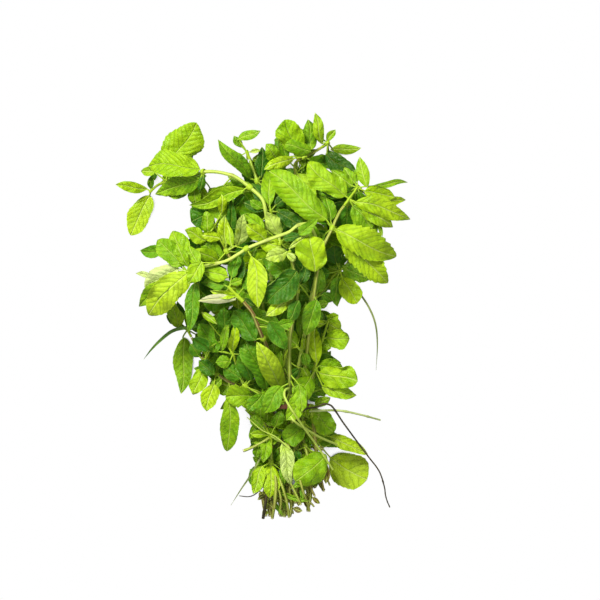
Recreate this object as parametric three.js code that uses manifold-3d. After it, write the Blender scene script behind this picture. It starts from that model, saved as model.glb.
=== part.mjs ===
// A tied bunch of fresh mint lying on its side: 18 cut sprigs, their leaves, some grass blades and dry stalks.
// Units are millimetres. X runs across the bunch, Y along it (leaf tips at +Y, cut ends at -Y), Z is up from the table at z = 0.
import * as THREE from "three";
import Module from "manifold-3d";
import { mergeVertices } from "three/addons/utils/BufferGeometryUtils.js";

// ---- driving dimensions
const LEAF_THICKNESS = 0.8; // a blade is fullest over its midrib and thins to its edges
const FLAT_LEAF_THICKNESS = 1.0; // the leaves that lie flat on the table
const PETIOLE_RADIUS = 0.62;
const JOINT_GAP = 0.3; // clear space between neighbouring pieces
const COLLAR_WALL = 0.95; // the leaf node that wraps round a stem
const COLLAR_LENGTH = 4.6;
const STEM_STEP = 14; // straight runs along a stem
const TIGHT_STEMS = { 14: 7, 10: 10, 16: 10, "05": 11, "07": 7 }; // shorter where a stem bends sharply or has a close neighbour
const CLEAN_UP = {}; // pieces whose joints need a rounder clean-up, mm
const BLADE_THICKNESS = 0.5;
const TIE_Y = -63.5; // where the band goes round the stems
const TIE_WIDTH = 3.2;
const TIE_WALL = 0.9;
const TIE_X = 15.4; // middle of the stems there
const TIE_HALF = 18.9; // half of its width across the bunch
const TIE_LOW = 0;
const TIE_HIGH = 28.9;
const TIE_CORNER = 7.5;
const CENTRE = [0, 0.468]; // takes the middle of the bounding box to the origin

// Outline of a blade: half width over its length, as (t/m)^a ((1-t)/(1-m))^b with its widest place at m.
const OUTLINES = [
  [0.55, 0.85], // ovate
  [0.75, 0.95], // narrow
  [0.5, 0.55], // round
  [0.55, 0.85], // toothed
  [0.5, 0.6], // folded
];

// ---- stems: number, radius over the corners, centre line from the cut end up
const STEMS = [
  ['01', 1.45, [[11.9,-141.75,6.65],[12.52,-133.82,6.64],[13.15,-125.9,6.63],[13.75,-117.97,6.61],[14.31,-110.04,6.6],[14.88,-102.11,6.59],[15.29,-94.17,6.56],[15.43,-86.23,6.28],[15.34,-78.36,5.18],[15.07,-70.44,4.72],[14.66,-62.67,6.18],[14.16,-55.49,9.54],[13.6,-48.77,13.74],[13.0,-42.17,18.14],[12.37,-35.45,22.34],[11.71,-28.45,26.03],[11.0,-21.26,29.36],[10.26,-14.01,32.53],[9.5,-6.71,35.59],[8.76,0.61,38.59],[8.04,7.95,41.56],[7.37,15.3,44.51],[6.74,22.69,47.37],[6.15,30.11,50.16],[5.58,37.56,52.9],[5.02,45.01,55.61],[4.47,52.47,58.3],[3.98,59.98,60.87],[3.38,67.45,63.49],[2.41,74.71,66.55],[-0.02,82.07,65.51],[-8.4,89.95,61.1],[-17.48,96.66,60.5],[-24.88,99.35,59.5],[-32.56,100.76,58.08],[-40.6,100.8,56.69],[-43.17,100.13,50.91],[-45.78,99.26,43.45],[-48.36,98.37,35.98],[-51.27,97.45,28.65],[-55.74,96.47,22.23],[-61.44,95.66,19.67]]],
  ['02', 1.45, [[26.6,-131.25,10.62],[26.42,-123.3,10.63],[26.24,-115.34,10.64],[25.9,-107.39,10.61],[25.18,-99.47,10.53],[24.29,-91.57,10.4],[23.55,-83.66,10.07],[22.73,-75.89,8.57],[22.31,-67.99,8.45],[22.57,-60.6,11.25],[23.2,-54.07,15.75],[23.98,-47.94,20.76],[24.84,-41.89,25.85],[25.78,-35.72,30.78],[26.8,-29.18,35.2],[27.93,-22.36,39.14],[29.17,-15.41,42.8],[30.48,-8.36,46.24],[31.82,-1.22,49.48],[33.17,6.0,52.55],[34.68,13.37,55.14],[36.27,20.85,57.32],[37.72,28.38,59.45],[38.67,35.82,62.07],[39.01,42.98,65.51],[38.53,50.0,69.22],[36.51,57.23,71.66],[32.2,63.83,72.1],[25.37,63.1,73.55],[19.02,58.53,74.79],[11.61,55.71,75.48],[4.14,52.99,75.71],[-3.27,50.12,75.46],[-10.42,46.92,74.93],[-17.14,42.64,73.72],[-23.86,38.83,71.96],[-31.18,36.85,69.57],[-39.61,34.96,66.0]]],
  ['03', 1.2, [[31.5,-130.55,14.5],[30.91,-122.55,14.03],[30.34,-114.55,13.54],[29.83,-106.56,12.87],[29.38,-98.58,11.99],[28.94,-90.58,11.31],[28.4,-82.57,11.02],[27.62,-74.6,10.47],[27.24,-66.74,11.87],[27.5,-59.69,15.66],[28.05,-53.44,20.68],[28.72,-47.51,26.05],[29.44,-41.6,31.46],[30.2,-35.52,36.65],[30.97,-28.99,41.27],[31.75,-22.08,45.3],[32.58,-14.96,48.93],[33.45,-7.7,52.26],[34.36,-0.34,55.36],[35.33,7.06,58.33],[36.34,14.59,60.95],[37.38,22.21,63.3],[38.5,29.85,65.52],[39.77,37.46,67.78],[41.51,44.81,70.49],[44.31,51.97,72.7],[49.0,61.25,70.74],[50.93,66.05,69.12],[54.27,72.78,66.33],[57.13,76.69,64.44]]],
  ['04', 1.25, [[5.6,-140.35,3.06],[6.06,-132.41,3.13],[6.52,-124.46,3.2],[6.91,-116.52,3.31],[7.22,-108.57,3.51],[7.47,-100.62,3.77],[7.65,-92.67,4.06],[7.7,-84.71,4.35],[7.68,-76.76,4.13],[7.38,-68.83,4.45],[6.81,-61.05,5.99],[6.04,-53.48,8.32],[5.2,-46.02,10.95],[4.34,-38.57,13.63],[3.53,-31.08,16.18],[2.8,-23.48,18.42],[2.16,-15.76,20.24],[1.55,-7.98,21.81],[0.99,-0.17,23.23],[0.5,7.65,24.62],[0.12,15.46,26.08],[-0.12,23.25,27.71],[-0.16,31.02,29.39],[-0.09,38.79,31.12],[0.02,46.55,32.88],[0.04,54.3,34.69],[-0.13,62.02,36.59],[-0.42,69.71,38.62],[-0.83,77.38,40.71],[-1.4,85.06,42.7],[-3.5,94.85,44.16],[-5.21,100.24,43.33],[-8.39,109.28,42.49]]],
  ['05', 1.35, [[32.9,-129.15,3.09],[32.22,-121.17,2.77],[31.51,-113.19,2.46],[30.44,-105.25,2.24],[28.83,-97.4,2.15],[27.15,-89.56,2.13],[25.76,-81.67,2.03],[24.43,-73.77,1.75],[23.83,-65.8,2.24],[23.93,-57.91,3.61],[24.38,-50.14,5.53],[24.99,-42.41,7.57],[25.66,-34.65,9.49],[26.33,-26.83,11.08],[26.98,-18.91,12.11],[27.76,-10.95,12.62],[28.57,-2.97,12.83],[29.31,5.01,12.96],[29.87,13.0,13.19],[30.15,20.99,13.71],[30.13,28.97,14.45],[29.93,36.94,15.29],[29.59,44.9,16.2],[29.16,52.85,17.14],[28.68,60.8,18.08],[28.1,68.74,18.99],[27.33,76.67,19.91],[26.4,84.56,20.95],[25.32,92.39,22.25],[23.8,100.08,23.94],[23.33,107.5,26.69],[29.42,111.88,31.21],[34.35,114.3,27.96],[41.58,118.77,25.33]]],
  ['06', 1.5, [[4.2,-141.05,14.06],[4.62,-133.01,14.19],[5.04,-124.97,14.33],[5.47,-116.93,14.49],[5.93,-108.89,14.71],[6.43,-100.86,14.99],[6.87,-92.83,15.25],[7.19,-84.79,15.05],[7.43,-76.8,14.12],[7.61,-68.76,14.07],[7.74,-61.24,16.72],[7.89,-55.11,21.92],[7.98,-49.76,27.93],[7.92,-44.54,34.06],[7.47,-38.77,39.64],[6.42,-32.45,44.51],[4.92,-26.11,49.25],[3.28,-20.55,54.81],[0.85,-14.94,62.58],[-0.99,-10.44,66.39],[-3.78,-3.41,69.12],[-6.84,3.41,72.1],[-12.32,10.1,73.24]]],
  ['07', 1.1, [[8.4,-139.65,6.81],[7.93,-131.53,6.9],[7.44,-123.42,7.0],[6.74,-115.32,7.15],[5.81,-107.25,7.34],[4.82,-99.18,7.56],[3.98,-91.1,7.8],[3.31,-83.01,8.08],[2.68,-74.91,8.38],[1.98,-66.81,8.64],[0.38,-59.44,9.34],[-4.08,-55.64,14.95],[-9.33,-52.42,20.22],[-16.47,-49.31,22.25],[-23.84,-46.13,23.31],[-32.24,-40.1,27.16],[-36.17,-36.75,27.54],[-40.6,-31.85,26.72],[-45.06,-23.65,24.58],[-49.62,-14.85,24.65]]],
  ['08', 1.3, [[17.85,-141.05,6.92],[18.18,-133.09,6.89],[18.51,-125.13,6.86],[18.81,-117.16,6.82],[19.06,-109.2,6.75],[19.29,-101.24,6.65],[19.48,-93.27,6.56],[19.62,-85.3,6.48],[19.82,-77.45,5.2],[19.85,-69.54,4.81],[19.52,-62.01,7.29],[19.0,-55.17,11.34],[18.41,-48.67,15.91],[17.8,-42.3,20.65],[17.19,-35.94,25.41],[16.6,-29.47,30.03],[16.05,-22.75,34.27],[15.55,-15.75,38.05],[15.09,-8.6,41.52],[14.66,-1.32,44.75],[14.27,6.03,47.8],[13.92,13.41,50.76],[13.66,20.91,53.46],[13.49,28.52,55.81],[13.3,36.19,57.95],[13.18,43.87,60.09],[12.6,51.45,61.15],[10.26,58.98,59.01],[7.48,67.76,58.88]]],
  ['09', 1.3, [[0.7,-141.75,3.2],[1.33,-133.82,3.18],[1.97,-125.89,3.17],[2.57,-117.96,3.16],[3.08,-110.02,3.15],[3.57,-102.08,3.13],[3.97,-94.14,3.11],[4.2,-86.18,3.09],[4.33,-78.28,2.29],[4.16,-70.37,1.68],[3.41,-62.67,3.4],[2.33,-55.72,7.09],[1.1,-49.22,11.51],[-0.21,-42.79,16.0],[-1.61,-36.18,20.19],[-3.06,-29.18,23.67],[-4.56,-21.87,26.43],[-6.1,-14.44,28.82],[-7.68,-6.96,30.99],[-9.32,0.55,33.07],[-11.04,8.02,35.17],[-12.91,15.4,37.48],[-15.0,22.68,39.92],[-17.35,29.88,42.35],[-20.01,37.09,44.39],[-24.71,45.59,44.79],[-27.13,50.94,43.21],[-30.73,59.07,43.41]]],
  ['10', 1.35, [[24.5,-131.95,14.78],[24.27,-124.16,16.5],[24.02,-116.36,18.15],[23.68,-108.47,19.24],[23.28,-100.51,19.7],[22.82,-92.55,19.98],[22.26,-84.61,20.42],[21.52,-76.67,20.03],[20.74,-68.77,20.44],[20.21,-61.89,24.22],[19.95,-57.33,30.73],[19.8,-53.63,37.8],[19.69,-49.79,44.79],[19.61,-44.79,50.97],[19.45,-37.93,54.96],[19.29,-30.29,57.23],[19.31,-22.48,58.87],[19.75,-14.81,61.0],[20.84,-7.38,63.69],[22.28,-0.0,66.36],[23.72,7.53,68.54],[24.5,17.85,66.02],[22.79,30.41,63.6],[20.89,39.26,66.63]]],
  ['11', 1.1, [[35.0,-129.15,6.93],[34.26,-121.13,6.58],[33.5,-113.12,6.22],[32.61,-105.12,5.85],[31.47,-97.15,5.44],[30.39,-89.17,5.08],[29.58,-81.17,4.6],[28.93,-73.17,3.91],[28.69,-65.14,4.36],[28.9,-57.31,6.22],[29.37,-49.68,8.77],[29.93,-42.15,11.59],[30.5,-34.65,14.49],[31.02,-27.12,17.31],[31.54,-19.65,20.29],[32.04,-12.18,23.28],[32.29,-4.57,25.9],[32.28,3.14,28.23],[34.78,7.66,28.51]]],
  ['12', 1.25, [[38.5,-121.45,10.56],[36.91,-113.7,10.06],[35.37,-105.93,9.57],[33.93,-98.15,9.04],[32.66,-90.34,8.55],[31.81,-82.47,8.17],[31.19,-74.6,7.4],[30.82,-66.71,7.71],[30.97,-60.03,11.65],[31.56,-55.79,18.3],[32.43,-51.97,25.19],[33.85,-46.63,30.84],[37.1,-36.75,36.45],[39.94,-25.4,35.31],[40.87,-21.89,37.0]]],
  ['13', 1.3, [[20.3,-134.05,13.67],[20.04,-126.14,12.84],[19.76,-118.22,12.13],[19.42,-110.28,11.86],[19.06,-102.33,11.84],[18.67,-94.38,11.94],[18.2,-86.44,12.12],[17.54,-78.51,12.04],[16.75,-70.59,12.03],[16.06,-62.84,13.53],[15.71,-56.34,18.01],[15.51,-50.7,23.62],[15.16,-44.24,28.23],[14.88,-39.19,30.98]]],
  ['14', 1.25, [[14.7,-141.75,10.84],[14.24,-133.62,10.81],[13.78,-125.49,10.78],[13.26,-117.36,10.78],[12.78,-109.23,10.81],[12.26,-101.1,10.85],[11.56,-92.98,10.91],[10.54,-84.91,10.74],[9.37,-76.89,9.96],[7.86,-68.9,9.81],[5.67,-61.8,12.74],[3.28,-58.0,19.47],[0.81,-55.74,26.89],[-2.47,-53.27,33.87],[-11.9,-48.65,37.92],[-16.92,-37.11,37.02],[-18.59,-31.73,39.77]]],
  ['15', 1.2, [[18.9,-141.05,18.65],[19.32,-133.25,17.71],[19.73,-125.44,16.77],[20.33,-117.63,16.04],[21.33,-109.84,15.63],[22.49,-102.05,15.48],[23.35,-94.23,15.64],[23.91,-86.43,16.44],[23.71,-78.59,16.75],[22.2,-71.22,14.52],[19.83,-64.29,15.34],[18.05,-61.28,21.65]]],
  ['16', 1.2, [[33.6,-137.55,18.46],[33.39,-129.41,18.92],[33.17,-121.26,19.39],[32.83,-113.13,19.97],[32.41,-105.07,21.2],[31.51,-97.01,21.55],[30.01,-91.57,19.51],[27.29,-82.79,15.02],[28.76,-75.26,17.41],[26.43,-67.8,19.09],[23.89,-61.89,23.74],[22.06,-57.92,32.8]]],
  ['17', 1.15, [[2.1,-139.65,18.38],[2.53,-131.36,18.49],[3.55,-123.12,18.56],[4.84,-114.92,18.87],[6.28,-102.59,21.71],[6.26,-90.61,22.84]]],
  ['18', 1.2, [[42.7,-122.85,15.85],[40.26,-115.23,15.85],[38.66,-107.4,16.03],[37.98,-99.44,16.45],[37.55,-91.55,17.68],[37.19,-83.86,19.83],[35.94,-75.47,24.58]]]
];

// ---- young shoots that carry the top leaves, one on each stem
const SHOOTS = [
  ['01', 1.45, [[-61.89,95.6,19.47],[-67.2,94.85,17.08],[-73.76,92.98,8.42],[-79.99,87.81,4.22]]],
  ['02', 1.45, [[-40.04,34.86,65.77],[-44.72,33.82,63.27],[-52.87,30.75,58.61]]],
  ['03', 1.2, [[57.4,77.07,64.26],[60.74,81.63,62.05],[67.28,90.88,56.65]]],
  ['04', 1.25, [[-8.56,109.75,42.52],[-10.94,116.37,42.95]]],
  ['05', 1.35, [[41.95,119.01,25.56],[47.16,122.43,28.86]]],
  ['06', 1.5, [[-12.68,10.44,73.16],[-16.8,14.35,72.17],[-23.21,20.76,67.32]]],
  ['07', 1.1, [[-49.85,-14.42,24.75],[-53.1,-8.33,26.16]]],
  ['08', 1.3, [[7.38,68.19,59.11],[6.05,74.27,62.42]]],
  ['09', 1.3, [[-30.9,59.41,43.73],[-33.35,64.24,48.24]]],
  ['10', 1.35, [[20.79,39.67,66.89],[19.33,45.53,70.53]]],
  ['11', 1.1, [[35.02,8.1,28.54],[37.9,13.31,28.86],[45.57,21.1,25.72],[49.43,28.0,27.14],[55.69,32.89,30.31]]],
  ['12', 1.25, [[40.98,-21.45,37.22],[42.32,-16.39,39.66],[43.88,-11.15,39.63],[46.58,-2.65,37.26]]],
  ['13', 1.3, [[14.85,-38.75,31.22],[14.58,-33.85,33.89],[18.07,-23.59,38.5],[25.57,-20.98,43.02]]],
  ['14', 1.25, [[-18.73,-31.3,39.99],[-20.3,-26.25,42.58],[-27.3,-15.36,42.49]]],
  ['15', 1.2, [[17.93,-61.08,22.08],[16.34,-58.87,28.59]]],
  ['16', 1.2, [[21.98,-57.73,33.26],[20.78,-55.18,39.72]]],
  ['17', 1.15, [[6.22,-90.11,22.87],[5.6,-84.35,23.17],[0.08,-74.11,22.88]]],
  ['18', 1.2, [[35.86,-75.06,24.86],[34.8,-69.29,28.76]]]
];

// ---- leaves by piece: outline, lies flat, node x y z, blade base x y z, tip x y z, width, arch, side slope, edge lift
const LEAVES = {
  sprig_01_side_a: [
    [1,0,-8.4,89.95,61.1,-11.9,88.55,61.38,-50.4,77.7,52.42,11.9,-1.77,-0.427,-0.28],
    [1,0,-8.4,89.95,61.1,-11.2,92.05,60.11,-23.8,97.65,49.49,5.6,-3.59,0.306,-2.46],
    [0,0,-8.4,89.95,61.1,-11.98,85.17,56.93,-20.16,77.01,47.11,5.07,0.15,0.13,0.34]
  ],
  sprig_01_side_b: [
    [0,0,-40.6,100.8,56.69,-43.05,102.55,57.05,-79.45,105.0,40.71,18.9,3.96,0.203,-1.87],
    [0,0,-40.6,100.8,56.69,-42.7,95.55,55.84,-74.9,85.75,34.65,13.3,0.23,-0.399,0.73],
    [0,0,-40.6,100.8,56.69,-40.6,97.65,56.58,-43.75,87.15,53.25,5.6,0.76,-0.18,-0.48]
  ],
  sprig_01_top: [
    [0,0,-67.2,94.85,17.08,-67.9,101.85,17.51,-45.85,135.8,33.39,26.6,4.0,0.001,-2.5],
    [0,0,-67.2,94.85,17.08,-75.6,101.85,18.4,-85.75,102.55,13.89,7.0,0.3,0.072,-0.03],
    [1,0,-79.1,88.55,4.82,-81.55,90.3,5.0,-103.6,93.1,12.77,8.4,1.11,0.029,-0.37],
    [0,1,-79.1,88.55,4.82,-79.8,85.75,0.0,-93.45,57.4,0.0,16.8,0.0,0.0,0.0],
    [1,0,-79.1,88.55,4.82,-78.75,89.95,5.17,-79.1,99.05,9.15,4.9,1.79,-0.23,1.46],
    [3,0,-67.2,94.85,17.08,-61.44,95.3,13.84,-39.4,99.21,12.04,11.04,0.82,-0.419,0.9],
    [3,0,-79.1,88.55,4.82,-76.66,96.4,1.6,-76.47,107.03,1.0,4.76,0.76,0.104,0.13],
    [3,0,-67.2,94.85,17.08,-66.28,100.88,12.3,-64.25,110.97,7.77,4.33,0.05,0.269,-0.25],
    [0,0,-67.2,94.85,17.08,-64.18,94.01,15.73,-47.19,90.69,21.29,10.46,0.6,-0.315,-0.16],
    [0,0,-67.2,94.85,17.08,-66.87,103.01,14.93,-48.73,121.09,17.84,15.04,0.0,0.22,0.93],
    [0,0,-79.1,88.55,4.82,-70.64,96.19,1.4,-54.25,110.33,0.9,11.62,2.02,-0.042,0.63]
  ],
  sprig_02_side_a: [
    [1,0,-10.42,46.92,74.93,-7.0,41.65,75.07,-2.1,5.95,74.03,14.7,3.0,0.466,-2.0],
    [1,0,-10.42,46.92,74.93,-20.3,48.3,74.65,-23.8,63.35,72.71,6.3,1.17,-0.079,-0.16],
    [0,0,-10.42,46.92,74.93,-7.49,40.69,70.53,-3.26,29.36,64.67,6.07,0.62,-0.217,0.02]
  ],
  sprig_02_top: [
    [2,0,-44.72,33.82,63.27,-39.9,31.15,63.21,-23.45,28.0,69.63,11.2,0.65,-0.032,-0.11],
    [0,0,-44.72,33.82,63.27,-44.1,36.05,63.08,-50.4,49.35,58.48,9.1,0.24,-0.061,-0.74],
    [0,0,-51.8,31.15,59.22,-51.1,30.45,59.49,-79.1,1.05,43.87,22.4,6.81,-0.013,-1.77],
    [0,0,-51.8,31.15,59.22,-64.4,24.85,58.63,-86.1,7.0,39.92,13.3,1.61,0.026,-0.09],
    [0,0,-51.8,31.15,59.22,-58.1,33.95,58.69,-81.9,20.65,47.43,18.2,0.5,-0.029,-0.08],
    [0,0,-51.8,31.15,59.22,-54.6,35.35,59.36,-72.8,53.55,49.53,16.1,2.9,-0.018,2.32],
    [0,0,-51.8,31.15,59.22,-50.4,36.75,58.08,-62.3,59.85,47.75,15.4,-0.7,-0.063,-1.01],
    [1,0,-51.8,31.15,59.22,-50.4,34.65,60.25,-59.5,51.45,60.07,8.4,2.1,-0.186,0.72],
    [0,0,-51.8,31.15,59.22,-69.3,45.15,52.77,-85.05,46.2,43.2,10.5,0.23,0.087,0.23],
    [1,0,-51.8,31.15,59.22,-76.3,28.0,49.62,-88.2,30.1,43.05,4.2,0.54,-0.185,0.0],
    [0,0,-44.72,33.82,63.27,-41.14,28.47,59.12,-28.82,8.72,47.62,13.79,1.13,-0.497,0.67],
    [0,0,-51.8,31.15,59.22,-44.66,30.38,53.64,-24.94,33.44,37.01,11.9,1.06,0.254,0.81],
    [0,0,-51.8,31.15,59.22,-47.24,30.09,57.92,-25.94,17.06,42.94,11.91,0.9,0.065,-0.86],
    [0,0,-44.72,33.82,63.27,-46.3,23.42,63.56,-51.11,-10.76,62.51,10.31,0.18,-0.001,0.48]
  ],
  sprig_03_side_a: [
    [0,0,49.0,61.25,70.74,45.5,67.2,70.9,5.25,101.15,68.93,21.7,3.49,-0.072,-2.59],
    [3,0,49.0,61.25,70.74,51.8,60.55,71.01,93.8,42.0,57.98,23.1,4.31,0.078,-1.24],
    [3,0,49.0,61.25,70.74,56.0,54.25,68.79,87.85,23.45,53.97,18.9,2.55,0.015,0.11],
    [0,0,49.0,61.25,70.74,45.93,58.22,67.83,20.86,43.13,43.11,15.61,-0.35,-0.392,0.73],
    [3,0,49.0,61.25,70.74,45.46,64.82,67.79,24.91,82.2,45.27,14.86,0.66,0.537,-0.05],
    [0,0,49.0,61.25,70.74,43.92,56.94,68.49,28.03,47.81,52.97,10.83,1.24,-0.294,-0.31],
    [3,0,49.0,61.25,70.74,47.76,66.46,66.66,44.19,83.22,61.76,10.31,0.43,0.426,-0.21]
  ],
  sprig_03_top: [
    [0,0,60.74,81.63,62.05,58.45,83.65,62.54,32.2,107.45,63.17,18.9,3.0,0.145,-2.5],
    [0,0,60.74,81.63,62.05,65.1,79.45,64.01,103.6,67.9,50.06,13.3,4.85,0.01,0.89],
    [0,0,60.74,81.63,62.05,63.0,76.65,61.83,77.0,61.25,55.91,18.9,1.07,0.027,-1.3],
    [0,0,60.74,81.63,62.05,70.0,74.55,63.42,91.35,62.3,53.67,11.9,1.22,-0.017,0.15],
    [1,0,60.74,81.63,62.05,77.7,68.25,51.34,79.1,53.9,52.28,4.2,1.11,-0.133,-0.11],
    [1,0,60.74,81.63,62.05,81.9,66.85,54.77,84.0,55.65,54.1,3.15,0.49,0.084,0.0],
    [3,0,66.6,89.92,57.21,63.0,90.65,57.31,48.3,101.85,58.93,9.1,1.19,0.06,0.58],
    [3,0,66.6,89.92,57.21,65.1,92.75,57.31,57.4,103.95,55.8,7.7,0.57,-0.001,-0.62],
    [3,0,66.6,89.92,57.21,66.5,94.15,57.02,66.5,103.25,52.44,7.0,0.25,-0.137,-0.54],
    [1,0,66.6,89.92,57.21,73.5,89.95,58.27,68.25,111.3,53.86,9.1,2.28,-0.144,-0.13],
    [1,0,66.6,89.92,57.21,78.4,91.35,55.32,101.85,93.8,43.29,4.9,1.75,-0.045,-0.25],
    [0,0,66.6,89.92,57.21,71.4,87.15,57.49,92.75,83.3,50.11,13.3,1.74,-0.086,0.57],
    [0,0,66.6,89.92,57.21,82.6,80.85,54.33,100.45,81.55,44.43,7.0,0.29,-0.018,0.19],
    [0,0,66.6,89.92,57.21,67.71,86.7,57.72,70.86,66.89,45.12,10.75,0.14,-0.076,-0.68],
    [3,0,66.6,89.92,57.21,58.39,86.4,52.89,38.76,68.11,45.37,15.31,1.79,-0.357,-0.4],
    [3,0,60.74,81.63,62.05,57.68,84.05,59.6,35.63,100.76,44.07,14.87,1.05,0.439,-0.51],
    [3,0,66.6,89.92,57.21,72.84,84.17,50.63,90.35,74.79,44.84,9.83,1.07,0.303,0.27],
    [0,0,60.74,81.63,62.05,57.99,79.45,59.47,46.12,60.82,43.52,13.09,0.54,-0.548,0.57],
    [0,0,60.74,81.63,62.05,59.29,76.35,60.39,56.17,52.36,45.07,14.21,0.02,0.038,0.39],
    [0,0,66.6,89.92,57.21,65.2,85.71,54.24,64.69,76.26,47.44,4.12,0.4,-0.23,0.15]
  ],
  sprig_04_side_a: [
    [1,0,-3.5,94.85,44.16,-7.7,95.55,45.4,-30.45,123.2,60.3,11.2,5.76,0.684,0.54],
    [0,0,-3.5,94.85,44.16,-0.7,97.65,44.6,0.0,118.65,41.79,9.8,-0.44,0.467,0.84],
    [0,0,-3.5,94.85,44.16,-2.7,90.83,40.88,-8.89,59.05,28.74,17.01,-0.28,-0.474,-0.22],
    [3,0,-3.5,94.85,44.16,2.01,95.21,42.93,25.32,94.82,35.3,12.98,1.81,-0.465,0.67],
    [3,0,-3.5,94.85,44.16,0.78,90.94,46.02,20.96,70.99,55.08,12.82,2.87,0.361,0.38],
    [0,0,-3.5,94.85,44.16,-0.07,98.82,40.41,17.94,110.21,22.37,12.99,0.62,0.235,1.0]
  ],
  sprig_04_top: [
    [1,0,-10.5,115.15,42.87,-14.0,118.3,42.39,-19.6,126.35,44.51,5.6,-0.2,0.196,-0.44],
    [1,0,-10.5,115.15,42.87,-17.15,123.55,44.9,-1.05,129.5,52.26,7.0,0.53,-0.163,0.15],
    [1,0,-10.5,115.15,42.87,-8.4,115.15,42.84,-1.05,116.2,45.4,3.5,0.98,-0.041,0.39],
    [3,0,-10.5,115.15,42.87,-6.97,108.22,37.1,4.53,92.36,24.19,11.54,-0.34,0.148,-0.66],
    [3,0,-10.5,115.15,42.87,-10.62,107.97,38.73,-2.65,84.42,22.85,13.71,1.4,0.436,-0.38],
    [3,0,-10.5,115.15,42.87,-13.64,112.93,42.37,-22.93,111.2,42.18,5.69,0.02,0.012,-0.18]
  ],
  sprig_05_side_a: [
    [0,0,29.42,111.88,31.21,25.9,114.45,30.93,15.75,137.9,36.85,21.7,1.95,0.071,1.52],
    [0,0,29.42,111.88,31.21,34.3,115.85,32.98,12.6,120.75,37.94,11.2,2.28,-0.055,-1.42],
    [0,0,29.42,111.88,31.21,35.0,117.25,31.85,32.2,138.25,33.59,11.9,-0.95,0.156,-2.0],
    [1,0,29.42,111.88,31.21,22.4,110.95,34.12,1.4,102.55,50.64,9.1,4.19,0.09,1.21],
    [0,0,29.42,111.88,31.21,13.3,108.85,35.96,2.8,120.75,43.97,10.5,2.71,0.079,0.58],
    [0,0,29.42,111.88,31.21,33.07,110.3,31.27,57.45,107.5,12.14,11.38,1.18,0.044,0.69],
    [0,0,29.42,111.88,31.21,36.2,110.11,25.89,51.96,107.11,13.33,8.4,0.15,0.074,-0.24],
    [0,0,29.42,111.88,31.21,28.64,115.37,28.62,25.19,130.6,24.66,8.15,1.45,0.032,-0.59],
    [2,0,29.42,111.88,31.21,21.12,121.74,22.31,8.47,124.36,21.94,8.72,0.57,-0.005,0.19]
  ],
  sprig_05_top: [
    [1,0,46.2,121.8,28.25,42.35,121.1,28.91,37.1,142.8,36.06,8.05,2.65,0.153,-0.14],
    [1,0,46.2,121.8,28.25,45.5,122.85,28.17,51.45,131.25,31.05,5.6,0.6,0.208,0.02],
    [1,1,46.2,121.8,28.25,48.3,118.3,0.0,70.0,119.35,0.0,7.35,0.0,0.0,0.0],
    [0,0,46.2,121.8,28.25,44.8,114.45,28.66,66.5,98.35,38.64,14.0,1.44,-0.099,-0.22],
    [0,0,46.2,121.8,28.25,46.25,116.87,26.85,50.74,102.92,22.05,7.77,0.46,-0.248,0.42],
    [1,0,46.2,121.8,28.25,41.04,126.3,24.59,17.91,132.23,20.61,8.16,1.24,0.156,0.6]
  ],
  sprig_06_top: [
    [1,0,-16.8,14.35,72.17,-17.85,11.9,72.42,-44.1,10.85,67.81,6.65,2.59,-0.221,-0.21],
    [1,0,-16.8,14.35,72.17,-17.5,14.35,72.24,-35.7,17.85,70.27,7.0,1.17,-0.097,0.0],
    [0,0,-22.4,19.95,67.93,-25.2,22.05,67.82,-42.0,23.45,61.26,9.1,0.09,0.119,0.39],
    [1,0,-22.4,19.95,67.93,-21.7,22.75,68.04,-13.3,26.25,68.76,5.6,0.68,0.014,0.1],
    [3,0,-16.8,14.35,72.17,-13.34,19.45,68.63,3.75,32.25,54.81,12.9,1.14,-0.374,-0.53],
    [0,0,-22.4,19.95,67.93,-20.8,23.4,66.44,-14.41,42.46,52.88,12.29,2.04,-0.402,0.12],
    [0,0,-22.4,19.95,67.93,-20.83,26.94,67.59,-16.21,43.05,62.26,9.2,0.5,-0.035,0.23],
    [0,0,-22.4,19.95,67.93,-17.92,19.83,64.86,0.29,11.66,61.5,10.83,1.06,-0.125,0.36],
    [0,0,-22.4,19.95,67.93,-27.79,14.26,65.65,-35.53,9.65,62.32,5.15,0.11,-0.245,0.31],
    [0,0,-16.8,14.35,72.17,-12.2,12.65,69.28,-4.37,6.97,69.96,4.3,0.18,-0.036,0.23]
  ],
  sprig_06_side_c: [
    [0,0,0.85,-14.94,62.58,-4.2,-16.45,61.51,-19.6,4.2,57.0,17.5,-1.4,-0.415,-0.81]
  ],
  sprig_07_top: [
    [0,1,-52.5,-9.45,25.9,-55.3,-15.05,0.0,-57.75,-54.95,0.0,14.0,0.0,0.0,0.0],
    [1,0,-52.5,-9.45,25.9,-52.5,-7.35,25.82,-49.0,17.85,33.0,9.8,1.65,-0.21,2.96],
    [0,0,-52.5,-9.45,25.9,-58.8,-8.05,26.52,-64.4,13.65,33.86,12.6,1.99,-0.205,0.58],
    [0,0,-52.5,-9.45,25.9,-60.9,-5.25,26.03,-67.2,1.05,29.17,6.3,0.3,0.026,-0.33],
    [0,0,-52.5,-9.45,25.9,-47.04,-12.3,21.73,-30.33,-27.55,4.17,9.85,1.04,-0.385,0.1],
    [0,0,-52.5,-9.45,25.9,-48.99,-6.03,22.45,-36.05,6.68,11.32,9.39,1.56,-0.014,0.14],
    [3,0,-52.5,-9.45,25.9,-49.37,-9.1,26.34,-22.47,-4.57,8.75,11.72,0.95,0.47,-0.16],
    [3,0,-52.5,-9.45,25.9,-54.59,-1.32,20.76,-59.75,10.67,22.58,5.5,0.18,-0.24,0.24],
    [2,0,-52.5,-9.45,25.9,-47.87,-0.75,25.78,-44.08,20.86,24.17,15.0,1.71,0.004,-0.14],
    [1,0,-52.5,-9.45,25.9,-54.67,-7.31,23.85,-64.38,-2.46,20.62,4.2,0.77,0.111,-0.21]
  ],
  sprig_07_side_b: [
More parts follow.
